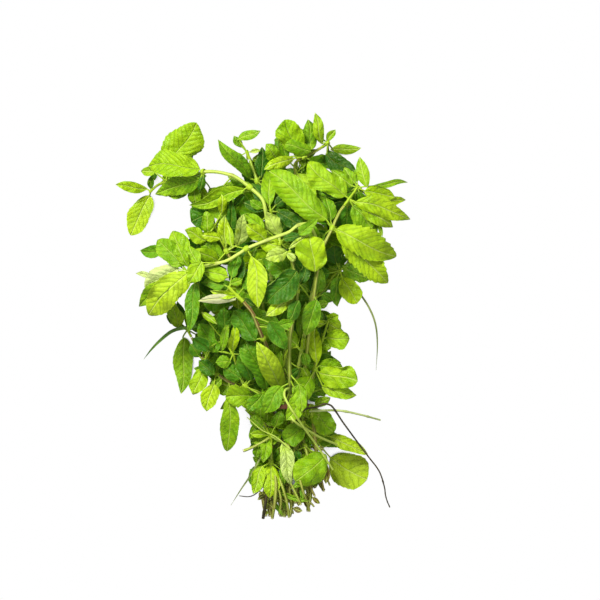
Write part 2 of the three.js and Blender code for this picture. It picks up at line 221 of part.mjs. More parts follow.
    [0,0,-40.6,-31.85,26.72,-41.3,-36.75,26.74,-48.65,-54.95,32.09,13.3,0.8,0.033,-0.25],
    [0,0,-40.6,-31.85,26.72,-44.1,-28.35,28.0,-50.4,-19.25,31.18,8.4,0.91,-0.12,0.15],
    [3,0,-40.6,-31.85,26.72,-37.73,-33.42,25.17,-22.54,-39.2,21.17,7.21,0.37,0.386,-0.38],
    [0,0,-40.6,-31.85,26.72,-37.35,-24.77,29.73,-18.25,-2.64,21.31,14.6,1.97,0.042,0.87],
    [0,0,-40.6,-31.85,26.72,-36.97,-30.5,25.87,-10.49,-15.19,1.91,17.17,-0.13,0.401,-0.1],
    [3,0,-40.6,-31.85,26.72,-39.31,-25.27,28.01,-26.19,-0.67,19.51,12.35,0.96,-0.065,-0.47],
    [0,0,-40.6,-31.85,26.72,-33.76,-41.03,33.54,-44.41,-30.86,33.28,10.58,-0.12,-0.053,0.78]
  ],
  sprig_07_side_c: [
    [0,0,-32.24,-40.1,27.16,-33.6,-47.25,28.88,-38.85,-66.5,35.13,12.6,1.49,-0.156,0.67],
    [0,0,-32.24,-40.1,27.16,-28.7,-43.75,28.0,-35.7,-50.75,28.72,7.0,-0.55,-0.177,-0.29],
    [0,0,-32.24,-40.1,27.16,-29.06,-32.66,27.3,-8.7,-12.06,20.22,13.74,2.56,-0.333,0.46],
    [3,0,-32.24,-40.1,27.16,-38.18,-37.84,22.56,-48.26,-36.68,22.02,4.61,0.76,-0.198,0.15],
    [0,0,-32.24,-40.1,27.16,-31.67,-35.3,29.45,-31.46,-23.89,32.96,5.9,0.1,-0.097,0.09]
  ],
  sprig_08_side_a: [
    [0,0,12.6,51.45,61.15,13.3,48.65,62.27,-2.8,53.55,61.49,11.2,0.26,0.089,1.32],
    [3,0,12.6,51.45,61.15,13.3,57.05,62.58,3.5,72.45,68.89,11.2,1.17,0.114,0.79],
    [0,0,12.6,51.45,61.15,2.8,52.85,64.82,-10.5,64.05,71.68,11.2,1.84,-0.07,0.51],
    [0,0,12.6,51.45,61.15,1.4,59.85,67.27,-11.9,71.4,60.73,9.8,-0.69,-0.224,-1.0],
    [0,0,12.6,51.45,61.15,14.7,53.55,61.13,28.7,56.35,65.47,7.0,0.36,-0.188,0.54],
    [3,0,12.6,51.45,61.15,13.36,55.65,58.05,25.49,84.8,31.37,19.48,-0.52,-0.287,0.21],
    [0,0,12.6,51.45,61.15,13.41,45.53,56.68,14.32,26.9,42.48,9.24,1.68,0.156,-0.34],
    [0,0,12.6,51.45,61.15,17.87,47.38,61.63,30.46,28.17,48.53,12.43,0.16,0.253,-0.35],
    [0,0,12.6,51.45,61.15,20.55,48.0,56.34,28.71,44.02,56.39,4.21,0.12,0.521,-0.34]
  ],
  sprig_08_top: [
    [1,0,6.3,73.15,61.81,5.6,77.35,62.68,4.2,105.35,45.3,11.2,2.93,0.159,0.89],
    [1,0,6.3,73.15,61.81,10.5,73.15,62.02,30.8,59.85,62.9,10.5,0.09,-0.123,0.22],
    [0,0,6.3,73.15,61.81,2.8,74.55,61.6,-12.6,79.45,59.36,9.1,-0.17,0.267,0.07],
    [0,0,6.3,73.15,61.81,4.2,78.05,61.65,-7.0,92.75,56.15,9.1,0.14,0.243,-0.05],
    [3,0,6.3,73.15,61.81,0.7,75.25,62.42,-8.05,80.85,64.54,6.3,0.12,0.043,0.36],
    [0,0,6.3,73.15,61.81,9.1,77.35,61.42,19.6,84.35,59.89,8.4,-0.4,0.046,-0.69],
    [3,0,6.3,73.15,61.81,9.89,73.02,60.38,25.27,68.03,55.2,9.27,0.54,-0.071,0.28],
    [0,0,6.3,73.15,61.81,0.25,67.05,57.62,-13.2,52.44,43.53,11.62,2.01,0.502,0.33]
  ],
  sprig_09_side_a: [
    [0,0,-24.71,45.59,44.79,-27.3,40.25,44.22,-43.4,53.55,47.68,11.2,0.45,0.046,0.27],
    [0,0,-24.71,45.59,44.79,-25.2,49.35,46.22,-25.9,70.35,51.5,10.5,-0.22,0.048,-0.01],
    [1,0,-24.71,45.59,44.79,-28.7,54.25,49.6,-42.0,57.05,52.86,7.7,0.59,0.033,0.23],
    [0,0,-24.71,45.59,44.79,-17.5,49.35,46.12,-12.6,71.05,63.17,9.8,4.02,-0.11,0.37],
    [1,0,-24.71,45.59,44.79,-18.9,50.75,44.21,-21.7,82.25,51.43,7.7,0.93,0.077,-0.15],
    [0,0,-24.71,45.59,44.79,-30.1,38.15,46.21,-48.3,45.85,58.49,9.8,1.71,0.208,-0.09],
    [3,0,-24.71,45.59,44.79,-21.91,47.22,42.27,-4.03,49.62,28.38,7.74,0.71,0.49,0.55],
    [0,0,-24.71,45.59,44.79,-18.99,39.55,39.06,-8.35,12.73,22.44,15.16,-0.48,-0.494,1.12],
    [0,0,-24.71,45.59,44.79,-18.6,45.02,45.05,-1.46,50.29,41.69,10.89,0.32,-0.388,-0.79],
    [0,0,-24.71,45.59,44.79,-24.17,51.22,40.71,-25.37,71.96,29.59,10.77,0.32,-0.47,0.48],
    [0,0,-24.71,45.59,44.79,-31.0,31.32,33.97,-47.71,21.6,31.9,11.57,0.17,-0.011,-0.09]
  ],
  sprig_09_top: [
    [0,0,-32.9,63.35,47.41,-37.1,57.75,47.15,-39.2,73.85,52.29,9.8,0.8,-0.122,-0.09],
    [0,0,-32.9,63.35,47.41,-33.6,73.15,46.57,-49.35,66.15,50.57,19.6,-0.02,-0.176,-1.3],
    [0,0,-32.9,63.35,47.41,-26.6,68.25,47.17,-37.1,83.65,50.94,13.3,0.24,-0.093,0.05],
    [0,0,-32.9,63.35,47.41,-39.2,52.85,49.43,-53.55,60.55,54.46,10.5,0.53,0.018,-0.33],
    [1,0,-32.9,63.35,47.41,-28.0,71.75,49.84,-28.0,85.05,58.31,7.0,1.36,0.028,0.21],
    [3,0,-32.9,63.35,47.41,-29.33,68.47,42.56,-9.12,83.86,24.77,14.27,1.12,0.28,-0.97],
    [3,0,-32.9,63.35,47.41,-37.84,57.32,45.07,-55.21,35.59,29.58,14.68,1.91,0.059,-0.47],
    [0,0,-32.9,63.35,47.41,-29.35,64.17,45.12,-7.18,67.55,34.75,12.49,1.17,-0.2,0.59],
    [0,0,-32.9,63.35,47.41,-34.11,56.25,42.26,-41.79,32.57,26.42,11.96,0.76,0.161,0.79]
  ],
  sprig_10_side_a: [
    [0,0,24.5,17.85,66.02,23.1,21.35,67.29,-1.4,12.25,67.54,18.2,1.51,-0.048,-2.02],
    [1,0,24.5,17.85,66.02,21.7,14.35,66.68,2.8,0.35,77.15,9.8,2.82,0.125,0.35],
    [0,0,24.5,17.85,66.02,26.6,22.75,68.16,32.9,38.15,67.42,8.4,0.36,-0.174,0.32],
    [0,0,24.5,17.85,66.02,21.83,12.01,62.34,11.96,-2.54,48.3,9.03,0.56,-0.469,0.55],
    [3,0,24.5,17.85,66.02,19.9,18.13,63.29,2.02,19.45,63.5,8.56,0.01,-0.24,-0.55],
    [0,0,24.5,17.85,66.02,24.24,31.73,77.5,3.81,9.76,78.0,21.15,-1.36,-0.008,0.29]
  ],
  sprig_10_top: [
    [3,0,19.6,44.45,69.86,17.5,45.15,69.93,2.8,40.25,74.74,10.5,0.46,-0.142,-0.03],
    [2,0,19.6,44.45,69.86,17.5,43.75,69.93,23.45,38.85,72.34,5.6,0.57,-0.158,0.04],
    [1,0,19.6,44.45,69.86,18.9,47.25,69.98,33.25,57.05,75.1,4.2,0.88,0.182,-0.1],
    [0,0,19.6,44.45,69.86,27.99,41.35,67.45,39.03,31.91,55.71,6.83,-0.04,-0.199,-0.03]
  ],
  sprig_11_top: [
    [2,0,54.74,32.15,29.83,56.0,26.95,30.56,66.5,9.1,37.49,14.7,1.65,0.014,1.2],
    [0,0,54.74,32.15,29.83,52.5,27.65,29.69,52.85,7.0,35.63,9.8,0.2,-0.167,-0.74],
    [3,0,54.74,32.15,29.83,56.7,35.35,29.6,76.3,25.9,34.76,12.6,0.49,0.02,-0.41],
    [0,0,54.74,32.15,29.83,52.5,36.75,29.85,50.4,50.05,33.97,14.0,0.91,0.02,-0.81],
    [0,0,37.9,13.31,28.86,42.0,15.75,30.45,49.7,10.85,32.46,7.7,-0.08,0.043,-0.37],
    [1,0,37.9,13.31,28.86,37.8,8.05,29.27,46.55,9.45,32.73,6.3,0.58,-0.137,0.11],
    [0,0,37.9,13.31,28.86,35.0,17.15,28.97,37.8,28.35,32.53,7.0,0.92,0.202,-0.3],
    [0,1,54.74,32.15,29.83,60.9,34.65,0.0,85.4,46.55,0.0,15.4,0.0,0.0,0.0],
    [0,0,37.9,13.31,28.86,32.7,13.83,25.29,9.63,23.59,17.67,15.49,1.86,-0.082,0.19],
    [0,0,54.74,32.15,29.83,47.48,30.46,31.97,20.84,29.4,13.17,14.72,2.39,-0.29,-0.42],
    [0,0,54.74,32.15,29.83,47.3,33.35,25.5,23.92,38.94,16.53,13.61,1.06,-0.125,0.41],
    [0,0,54.74,32.15,29.83,54.33,37.43,27.59,43.51,63.53,5.77,16.54,1.83,-0.234,-1.23],
    [0,0,37.9,13.31,28.86,35.66,10.99,27.21,17.13,-3.44,10.25,10.12,-0.24,0.449,0.47],
    [0,0,37.9,13.31,28.86,38.4,16.28,30.36,41.97,33.13,34.98,9.24,0.91,0.388,-0.54],
    [0,0,54.74,32.15,29.83,60.21,39.13,26.27,75.97,49.84,24.06,10.41,0.83,-0.548,0.49],
    [3,0,37.9,13.31,28.86,33.09,17.48,26.97,22.42,27.18,33.06,8.61,-0.25,-0.122,0.54]
  ],
  sprig_12_top: [
    [0,0,42.32,-16.39,39.66,44.8,-14.35,40.94,61.25,-15.75,46.32,16.1,1.54,0.081,0.71],
    [2,0,42.32,-16.39,39.66,41.3,-18.55,39.62,48.3,-22.05,41.94,7.0,0.42,-0.007,-0.43],
    [3,0,46.2,-3.85,37.59,45.85,-2.1,37.63,53.55,1.05,40.22,7.7,0.25,0.101,-0.35],
    [0,0,46.2,-3.85,37.59,42.0,-3.15,37.79,35.7,3.85,40.74,7.7,0.12,0.043,-0.12],
    [1,0,46.2,-3.85,37.59,44.1,-5.25,37.72,34.3,-3.85,41.11,5.6,0.79,0.178,0.24],
    [0,0,42.32,-16.39,39.66,36.47,-11.09,33.42,12.74,-2.67,14.89,12.4,1.21,-0.326,-1.03],
    [3,0,42.32,-16.39,39.66,33.98,-17.77,33.19,8.49,-13.8,23.09,11.07,1.04,-0.317,0.9],
    [0,0,46.2,-3.85,37.59,38.66,-7.35,37.75,20.05,-23.0,30.68,13.14,1.66,0.239,0.92],
    [0,0,42.32,-16.39,39.66,41.68,-12.69,36.97,44.2,1.69,28.76,8.73,1.3,-0.044,-0.57],
    [3,0,46.2,-3.85,37.59,44.76,-9.89,32.71,41.16,-20.39,25.58,5.58,0.69,0.422,-0.1]
  ],
  sprig_12_side_c: [
    [1,0,37.1,-36.75,36.45,38.5,-33.25,38.48,37.1,-7.0,44.54,9.8,1.92,-0.245,0.58],
    [0,0,37.1,-36.75,36.45,39.9,-33.95,36.5,56.35,-35.35,39.53,12.6,1.04,0.222,0.83],
    [2,0,37.1,-36.75,36.45,39.9,-39.55,36.97,66.85,-45.15,45.57,17.5,1.7,0.085,1.15],
    [0,0,37.1,-36.75,36.45,42.0,-49.35,36.33,66.15,-55.3,36.02,11.2,1.07,0.041,0.64],
    [2,0,37.1,-36.75,36.45,34.3,-42.35,37.86,23.8,-57.75,48.34,15.4,2.75,-0.178,1.05],
    [0,0,37.1,-36.75,36.45,38.54,-41.27,32.69,42.58,-50.14,26.27,5.52,0.74,-0.105,-0.28],
    [0,0,37.1,-36.75,36.45,41.73,-40.46,35.13,56.4,-50.82,26.99,9.48,0.56,0.488,-0.18]
  ],
  sprig_13_top: [
    [2,0,24.5,-21.35,42.38,24.5,-19.95,42.3,14.7,-12.25,45.77,13.3,1.02,0.004,-1.74],
    [1,0,24.5,-21.35,42.38,28.7,-23.45,42.22,30.45,-13.65,47.03,4.9,0.02,0.219,-0.68],
    [0,0,24.5,-21.35,42.38,28.7,-25.55,45.32,32.2,-34.65,48.63,7.0,1.55,0.144,0.47],
    [1,0,24.5,-21.35,42.38,26.6,-15.05,39.32,30.8,10.15,47.6,7.7,1.48,0.031,0.08],
    [1,0,14.58,-33.85,33.89,12.6,-38.15,34.31,13.3,-24.15,39.87,6.3,1.28,0.062,0.32],
    [0,0,14.58,-33.85,33.89,17.5,-42.35,35.0,25.9,-36.75,38.38,7.0,0.4,0.155,0.02],
    [3,0,24.5,-21.35,42.38,21.25,-13.0,38.66,17.67,15.6,36.04,16.35,-0.23,-0.379,-1.05]
  ],
  sprig_14_side_a: [
    [3,0,-11.9,-48.65,37.92,-7.0,-55.65,38.52,-25.55,-56.35,43.24,16.8,3.0,-0.21,0.9],
    [4,0,-11.9,-48.65,37.92,-23.1,-59.15,39.89,-24.85,-94.85,24.28,13.3,2.5,0.085,1.02],
    [0,0,-11.9,-48.65,37.92,-14.7,-43.75,41.34,-26.6,-33.95,42.88,11.9,0.44,0.123,-0.87],
    [0,0,-11.9,-48.65,37.92,-7.7,-45.15,38.57,-15.4,-24.85,46.59,12.6,2.41,0.112,-0.51],
    [0,0,-11.9,-48.65,37.92,-10.76,-44.8,35.94,-2.25,-30.34,33.75,7.98,0.15,-0.123,-0.19],
    [0,0,-11.9,-48.65,37.92,-6.46,-47.06,34.49,12.77,-49.02,18.2,8.58,0.59,0.528,0.06],
    [0,0,-11.9,-48.65,37.92,0.13,-54.46,44.18,-9.42,-66.18,44.98,10.81,0.74,-0.044,0.19]
  ],
  sprig_14_top: [
    [1,0,-20.3,-26.25,42.58,-20.3,-24.85,42.91,-18.55,-5.6,57.47,8.4,5.1,-0.323,0.62],
    [1,0,-20.3,-26.25,42.58,-28.7,-24.85,43.25,-23.1,-3.85,46.99,6.3,1.03,-0.384,-0.21],
    [0,0,-20.3,-26.25,42.58,-30.8,-24.85,46.58,-44.1,-5.25,43.72,14.7,-0.68,-0.05,0.48],
    [3,0,-20.3,-26.25,42.58,-21.7,-31.85,43.44,-32.2,-31.85,46.46,9.1,0.59,0.042,0.28],
    [0,0,-26.6,-16.45,42.5,-27.3,-12.25,42.31,-26.6,6.65,47.49,10.5,1.23,0.112,0.65],
    [1,0,-26.6,-16.45,42.5,-42.0,3.15,55.94,-31.15,-5.25,59.64,4.9,0.85,0.11,-0.21],
    [0,0,-26.6,-16.45,42.5,-25.59,-20.84,39.5,-20.16,-45.49,28.02,14.47,1.32,0.044,0.65],
    [0,0,-26.6,-16.45,42.5,-24.7,-13.51,39.85,-11.75,13.71,21.24,14.62,2.2,-0.181,-1.2],
    [0,0,-20.3,-26.25,42.58,-12.49,-26.53,43.48,1.87,-27.77,40.86,8.42,0.5,0.496,-0.26],
    [0,0,-26.6,-16.45,42.5,-37.0,-23.47,52.26,-48.33,-14.99,53.46,10.74,-0.25,0.025,0.02]
  ],
  sprig_15_top: [
    [1,0,16.63,-59.28,27.39,14.35,-55.3,28.33,-3.5,-17.15,64.93,15.4,4.93,0.139,-1.03],
    [0,0,16.63,-59.28,27.39,2.8,-50.75,34.95,-13.3,-13.65,53.46,17.5,5.07,0.004,0.47],
    [0,0,16.63,-59.28,27.39,9.8,-61.95,34.04,0.0,-50.75,34.8,11.2,-3.12,0.337,-1.0],
    [1,0,16.63,-59.28,27.39,19.6,-53.55,26.83,15.4,-44.45,30.91,6.3,0.52,0.02,0.04]
  ],
  sprig_16_side_a: [
    [2,1,28.76,-75.26,17.41,48.3,-100.45,0.0,74.2,-115.85,0.0,25.9,0.0,0.0,0.0],
    [0,0,28.76,-75.26,17.41,48.3,-84.7,14.63,74.55,-97.65,13.75,10.5,0.76,-0.159,-0.82],
    [2,0,28.76,-75.26,17.41,29.4,-77.35,18.02,15.05,-87.15,26.15,16.1,2.5,-0.126,0.65],
    [3,0,28.76,-75.26,17.41,28.18,-71.41,20.62,27.81,-61.31,23.71,6.39,0.8,0.495,0.09]
  ],
  sprig_16_side_b: [
    [2,0,30.01,-91.57,19.51,45.1,-97.55,23.0,23.1,-115.85,30.23,21.0,3.07,-0.018,-1.94],
    [0,0,30.01,-91.57,19.51,23.8,-94.15,23.17,26.6,-104.65,22.46,7.0,0.44,0.064,0.19],
    [1,0,30.01,-91.57,19.51,45.5,-104.65,21.51,44.8,-117.95,22.16,5.6,0.46,-0.105,-0.28]
  ],
  sprig_16_top: [
    [1,0,21.0,-55.65,38.53,21.7,-61.25,37.17,17.5,-71.75,38.95,7.0,0.57,0.065,-0.22]
  ],
  sprig_17_top: [
    [1,0,5.6,-84.35,23.17,2.8,-83.65,22.93,-8.4,-82.25,26.18,5.6,0.44,-0.058,0.42],
    [0,0,5.6,-84.35,23.17,3.5,-86.45,23.34,0.7,-102.55,28.8,9.8,1.97,0.134,0.4],
    [0,0,5.6,-84.35,23.17,0.0,-78.05,27.66,-8.4,-69.65,30.73,8.4,0.41,-0.199,0.15],
    [0,0,5.6,-84.35,23.17,14.7,-88.55,23.89,20.65,-119.35,28.69,11.2,1.08,-0.115,-0.78],
    [0,0,5.6,-84.35,23.17,9.1,-78.05,23.35,13.3,-66.15,27.28,9.1,0.88,-0.003,0.41],
    [0,0,5.6,-84.35,23.17,-2.1,-89.25,23.59,-4.2,-99.75,23.7,7.0,0.73,-0.159,-0.04],
    [0,0,0.7,-75.25,22.91,-0.7,-72.45,23.45,-2.1,-61.25,29.68,8.4,2.66,-0.134,0.34],
    [0,0,0.7,-75.25,22.91,-3.5,-75.95,23.05,-8.75,-86.45,23.49,6.3,0.78,0.09,-0.39]
  ],
  sprig_17_side_b: [
    [0,0,6.28,-102.59,21.71,6.3,-104.65,21.82,4.9,-127.75,28.65,13.3,1.77,0.176,-0.82],
    [0,0,6.28,-102.59,21.71,0.0,-105.35,22.53,-6.3,-124.6,29.93,10.5,1.4,0.106,0.21],
    [0,0,6.28,-102.59,21.71,13.3,-107.45,22.12,15.4,-118.65,22.88,6.3,0.85,-0.192,0.03]
  ],
  sprig_18_top: [
    [2,0,35.0,-70.35,28.04,36.4,-66.85,27.14,50.4,-81.9,20.92,15.4,0.51,-0.172,0.43],
    [0,0,35.0,-70.35,28.04,33.85,-61.25,34.46,39.2,-72.45,28.09,7.0,-5.09,0.053,0.22],
    [0,0,35.0,-70.35,28.04,37.1,-63.0,26.21,47.95,-57.05,29.15,7.0,0.11,0.089,-0.7],
    [0,0,35.0,-70.35,28.04,27.75,-61.05,30.62,32.2,-71.05,42.6,6.3,-0.8,-0.332,-2.56]
  ],
  sprig_04_stem: [
    [3,0,1.15,-2.34,22.83,2.07,-7.56,19.51,13.3,-28.51,5.9,14.1,-0.36,0.013,-0.06],
    [3,0,7.26,-107.4,3.55,14.98,-112.41,2.79,22.32,-135.03,3.47,13.5,0.9,0.036,-0.79],
    [0,0,1.72,-10.19,21.36,-1.69,-1.44,18.5,-3.42,16.95,18.97,10.99,1.19,0.086,0.51],
    [3,0,-0.35,67.94,38.15,1.5,60.68,32.65,3.19,32.47,14.17,14.78,0.1,-0.037,0.62],
    [2,0,1.72,-10.19,21.36,-2.06,-4.63,16.91,0.88,22.44,8.87,17.29,0.51,-0.219,0.9],
    [3,0,6.12,-131.37,3.14,7.88,-134.54,1.4,15.66,-140.6,0.9,5.18,0.08,0.059,0.18],
    [1,0,-0.01,44.64,32.45,-9.5,39.61,28.59,-33.22,38.97,28.47,8.25,2.0,0.03,-0.1],
    [0,0,4.6,-40.84,12.81,2.04,-47.22,18.24,-6.58,-58.78,19.47,9.12,1.36,-0.228,0.25],
    [3,0,0.04,52.43,34.25,3.81,62.67,41.76,8.1,76.39,41.34,7.53,-0.1,0.08,0.06],
    [0,0,-0.99,79.52,41.26,-4.86,85.79,43.88,-27.07,91.99,43.73,13.38,0.78,-0.03,0.67],
    [2,0,-0.15,29.03,28.96,-11.03,34.04,24.88,-34.44,55.16,22.53,22.59,0.57,0.036,-1.05],
    [0,0,-0.06,21.21,27.28,1.4,25.67,25.46,15.84,49.88,27.38,16.92,0.26,0.141,-0.2],
    [2,0,2.34,-17.99,19.71,-6.36,-9.55,25.97,-20.31,7.9,21.53,14.78,1.04,0.231,1.14],
    [1,0,5.46,-48.33,10.13,4.84,-50.8,11.62,-0.94,-62.63,14.61,4.27,1.21,0.149,0.05],
    [2,0,-0.09,60.21,36.14,-15.54,56.96,30.16,-43.39,54.49,26.54,18.02,-0.05,-0.068,-0.42],
    [2,0,-0.0,56.32,35.19,-2.67,64.84,42.94,-12.58,86.69,52.27,17.74,0.09,-0.413,-1.03],
    [2,0,4.6,-40.84,12.81,-9.78,-46.36,6.1,-27.98,-53.35,7.22,13.18,-0.19,0.094,-0.06]
  ],
  sprig_05_stem: [
    [0,0,26.3,-84.71,2.07,30.1,-82.58,1.4,58.48,-88.52,0.9,14.65,1.76,0.01,-0.63],
    [2,0,24.2,-53.18,4.78,25.83,-48.97,2.96,28.29,-25.6,0.9,15.41,0.79,0.116,0.81],
    [1,0,25.21,92.94,22.37,27.25,101.36,23.78,30.34,109.67,23.9,2.89,0.15,-0.217,-0.19],
    [2,0,29.9,37.62,15.37,24.13,35.15,12.41,0.15,30.86,11.79,19.17,-0.37,-0.356,-0.2],
    [2,0,26.06,-29.94,10.45,20.27,-22.65,6.22,-7.26,-8.11,2.64,23.23,-0.4,0.01,-1.74],
    [2,0,24.2,-53.18,4.78,28.36,-54.09,3.72,44.85,-50.24,2.77,10.83,0.23,0.116,-0.09],
    [3,0,25.78,89.04,21.69,28.94,96.57,21.07,35.6,110.05,21.08,8.38,0.49,0.107,-0.16],
    [2,0,26.8,81.2,20.51,26.65,92.35,17.38,35.12,105.26,17.24,12.52,0.79,-0.118,-0.89],
    [0,0,28.24,-6.19,12.75,31.88,-3.78,13.1,54.04,-2.38,14.91,11.26,0.76,0.014,-0.4],
    [1,0,28.63,61.43,18.15,32.2,53.57,13.01,52.75,31.6,6.34,11.82,0.52,-0.391,-0.1],
    [2,0,27.26,77.26,19.99,21.66,86.8,17.22,6.21,105.01,17.87,18.41,2.11,-0.02,0.26],
    [0,0,25.21,92.94,22.37,27.0,90.55,24.13,48.61,80.55,23.51,13.86,0.4,-0.172,0.92],
    [0,0,28.24,-6.19,12.75,36.54,3.92,10.1,36.78,15.07,10.73,6.14,0.03,-0.14,-0.21],
    [0,0,30.25,-104.32,2.23,25.56,-103.8,1.4,9.36,-96.72,0.9,10.4,1.21,-0.008,-0.05],
    [2,0,30.04,17.72,13.5,35.52,19.69,13.72,47.32,22.73,13.85,10.22,0.69,-0.069,-0.48],
    [0,0,29.55,45.56,16.28,22.89,49.91,17.0,0.45,67.05,17.42,17.4,1.82,-0.007,1.26],
    [3,0,24.45,-49.31,5.75,30.28,-49.79,5.73,60.5,-40.87,0.9,18.29,1.61,0.068,0.39],
    [0,0,30.01,33.65,14.94,38.44,31.99,15.52,57.9,29.12,17.19,9.98,0.4,-0.29,-0.72],
    [1,0,23.77,100.6,24.13,28.56,104.5,26.19,32.71,118.87,24.67,5.37,0.58,0.283,-0.08],
    [1,0,24.95,-76.83,1.86,23.71,-81.39,1.4,8.04,-94.75,0.9,7.01,1.79,-0.014,0.12],
    [0,0,26.06,-29.94,10.45,24.35,-35.07,11.37,1.22,-50.37,0.9,17.85,1.47,0.313,-0.72],
    [0,0,28.24,-6.19,12.75,14.82,-0.35,7.47,-9.58,0.43,6.97,16.05,1.69,0.015,0.01],
    [2,0,27.45,-14.14,12.42,31.57,-15.6,11.92,45.0,-29.24,12.13,13.72,1.5,0.086,-0.37],
    [0,0,30.14,25.69,14.15,40.56,21.77,9.12,64.08,29.06,7.97,13.52,1.6,-0.007,-0.2],
    [0,0,30.11,29.67,14.52,31.2,24.07,10.34,29.95,-5.09,4.28,17.86,1.72,-0.352,-0.94],
    [1,0,23.53,104.35,25.52,17.7,108.99,28.47,13.46,132.47,27.03,7.92,1.04,0.175,0.03],
    [2,0,29.9,13.73,13.24,41.58,4.16,18.35,51.79,-12.53,17.58,12.27,1.57,0.095,-0.5],
    [2,0,23.53,104.35,25.52,24.19,100.42,27.93,33.04,78.15,28.0,18.08,1.85,0.202,-1.17],
    [3,0,23.77,100.6,24.13,25.97,107.3,19.26,38.52,117.78,19.61,7.38,0.6,0.093,-0.2],
    [1,0,28.34,65.39,18.61,40.09,60.1,19.53,70.3,61.96,23.37,9.34,2.28,-0.149,-0.68],
    [2,0,25.78,89.04,21.69,39.37,90.93,21.66,71.07,87.45,16.45,20.01,0.2,-0.039,-1.19],
    [3,0,29.73,41.6,15.82,42.7,38.81,16.93,60.97,41.05,17.54,9.95,0.29,-0.008,-0.0],
    [2,0,25.21,92.94,22.37,12.5,100.47,23.05,-6.77,111.34,24.63,15.56,0.31,-0.085,-0.59],
    [3,0,24.45,96.78,23.21,24.45,110.53,13.55,36.67,130.74,12.44,13.51,-0.36,-0.145,0.64],
    [1,0,23.53,104.35,25.52,16.23,111.14,18.78,8.92,123.35,18.95,5.95,0.73,0.273,0.44],
    [0,0,26.8,81.2,20.51,23.96,79.99,20.8,-3.57,69.57,21.72,15.93,2.54,-0.165,0.22],
    [2,0,26.8,81.2,20.51,27.41,91.05,14.57,40.68,111.33,14.56,18.84,-0.3,-0.215,-0.35],
    [2,0,28.04,69.35,19.06,35.34,73.14,14.61,66.86,70.13,13.8,22.75,0.16,-0.138,0.07],
    [2,0,27.26,77.26,19.99,26.91,83.92,16.22,16.51,104.53,3.16,18.58,0.48,0.22,-1.31],
    [3,0,29.12,53.5,17.22,29.93,57.77,20.77,37.21,77.82,24.84,10.64,1.13,0.248,-0.16],
    [0,0,29.55,45.56,16.28,41.42,51.56,24.94,63.31,56.81,25.81,13.81,1.74,0.152,0.17],
    [2,0,30.15,21.71,13.78,31.57,30.81,7.05,38.39,52.74,6.06,17.38,0.93,0.306,-0.26],
    [0,0,30.14,25.69,14.15,40.65,26.21,6.68,58.4,38.1,0.9,11.02,0.59,-0.338,0.4]
  ],
  sprig_13_stem: [
    [0,0,18.1,-85.18,12.11,13.79,-83.28,16.22,-7.41,-88.91,19.2,13.67,1.4,0.07,0.79],
    [0,0,19.0,-101.16,11.85,12.53,-113.32,18.56,15.27,-136.73,20.17,13.45,-0.31,0.305,0.92],
    [0,0,15.44,-49.43,24.52,7.13,-37.46,27.75,9.03,-17.48,37.41,12.12,1.18,0.326,-0.37],
    [3,0,18.36,-89.18,12.06,18.87,-82.61,15.83,21.42,-74.93,13.25,4.63,0.35,0.326,0.27]
  ],
  sprig_07_stem: [
    [2,0,-9.37,-52.4,20.23,-15.48,-48.51,18.56,-37.22,-47.44,18.79,13.87,1.73,0.286,-0.64],
    [0,0,-16.47,-49.31,22.25,-15.82,-56.93,23.03,-5.75,-67.91,22.26,8.39,-0.18,-0.062,0.39],
    [2,0,-1.96,-57.44,12.29,-3.18,-54.81,11.78,-23.31,-45.35,12.76,17.98,0.53,-0.175,-0.33],
    [0,0,-44.81,-24.12,24.7,-41.86,-24.8,22.84,-29.11,-40.0,9.05,10.84,1.6,0.034,0.19],
    [2,0,7.64,-126.67,6.96,-1.84,-120.4,6.12,-6.17,-106.37,8.23,10.61,-0.18,-0.004,-0.15],
    [1,0,-9.37,-52.4,20.23,-15.01,-55.94,20.39,-29.55,-65.3,22.15,7.04,0.91,-0.062,0.05],
    [1,0,3.3,-82.91,8.08,2.13,-78.01,5.31,-10.19,-67.51,5.76,5.66,0.9,-0.158,0.12],
    [0,0,-23.75,-46.17,23.3,-29.23,-42.63,21.04,-40.87,-39.34,20.21,6.36,-0.07,0.467,-0.37],
    [3,0,-23.75,-46.17,23.3,-20.64,-55.5,25.14,-25.9,-68.02,24.18,8.78,-0.02,-0.028,0.66],
    [2,0,3.96,-90.88,7.81,-1.61,-100.58,4.8,-2.8,-109.33,4.75,6.5,-0.09,-0.117,-0.38],
    [2,0,4.78,-98.83,7.57,3.49,-95.54,9.83,-7.02,-86.21,16.57,9.94,0.55,-0.327,-0.14],
    [3,0,4.37,-94.86,7.69,5.31,-88.49,10.66,13.62,-81.0,3.17,5.83,0.28,0.426,0.24],
    [3,0,-16.47,-49.31,22.25,-11.67,-41.34,28.29,-8.16,-18.12,31.87,14.13,0.89,0.196,0.21]
  ],
  sprig_01_stem: [
    [2,0,-46.02,99.18,42.75,-46.75,91.69,42.93,-46.48,78.35,41.68,9.23,1.05,0.191,-0.48],
    [0,0,14.4,-108.84,6.6,11.97,-107.92,5.45,-6.79,-99.23,16.9,11.86,1.32,0.336,0.39],
    [2,0,4.86,47.18,56.39,16.74,55.25,46.11,45.42,58.87,34.0,23.1,0.13,-0.029,-0.76],
    [0,0,10.45,-15.91,31.7,12.23,-11.53,30.96,8.04,1.94,29.84,8.93,0.65,-0.1,-0.32],
    [1,0,-47.32,98.73,38.99,-45.27,94.93,39.54,-38.67,76.1,39.48,7.78,0.94,-0.034,0.22],
    [1,0,-20.36,97.71,60.11,-26.44,91.33,54.95,-41.32,75.39,42.24,8.33,-0.18,-0.334,0.57],
    [0,0,-46.02,99.18,42.75,-37.14,89.76,33.18,-18.72,71.69,31.21,15.78,0.99,-0.317,-1.18],
    [3,0,-50.12,97.81,31.56,-58.4,90.45,31.82,-70.49,85.29,31.21,8.46,0.99,-0.007,-0.26],
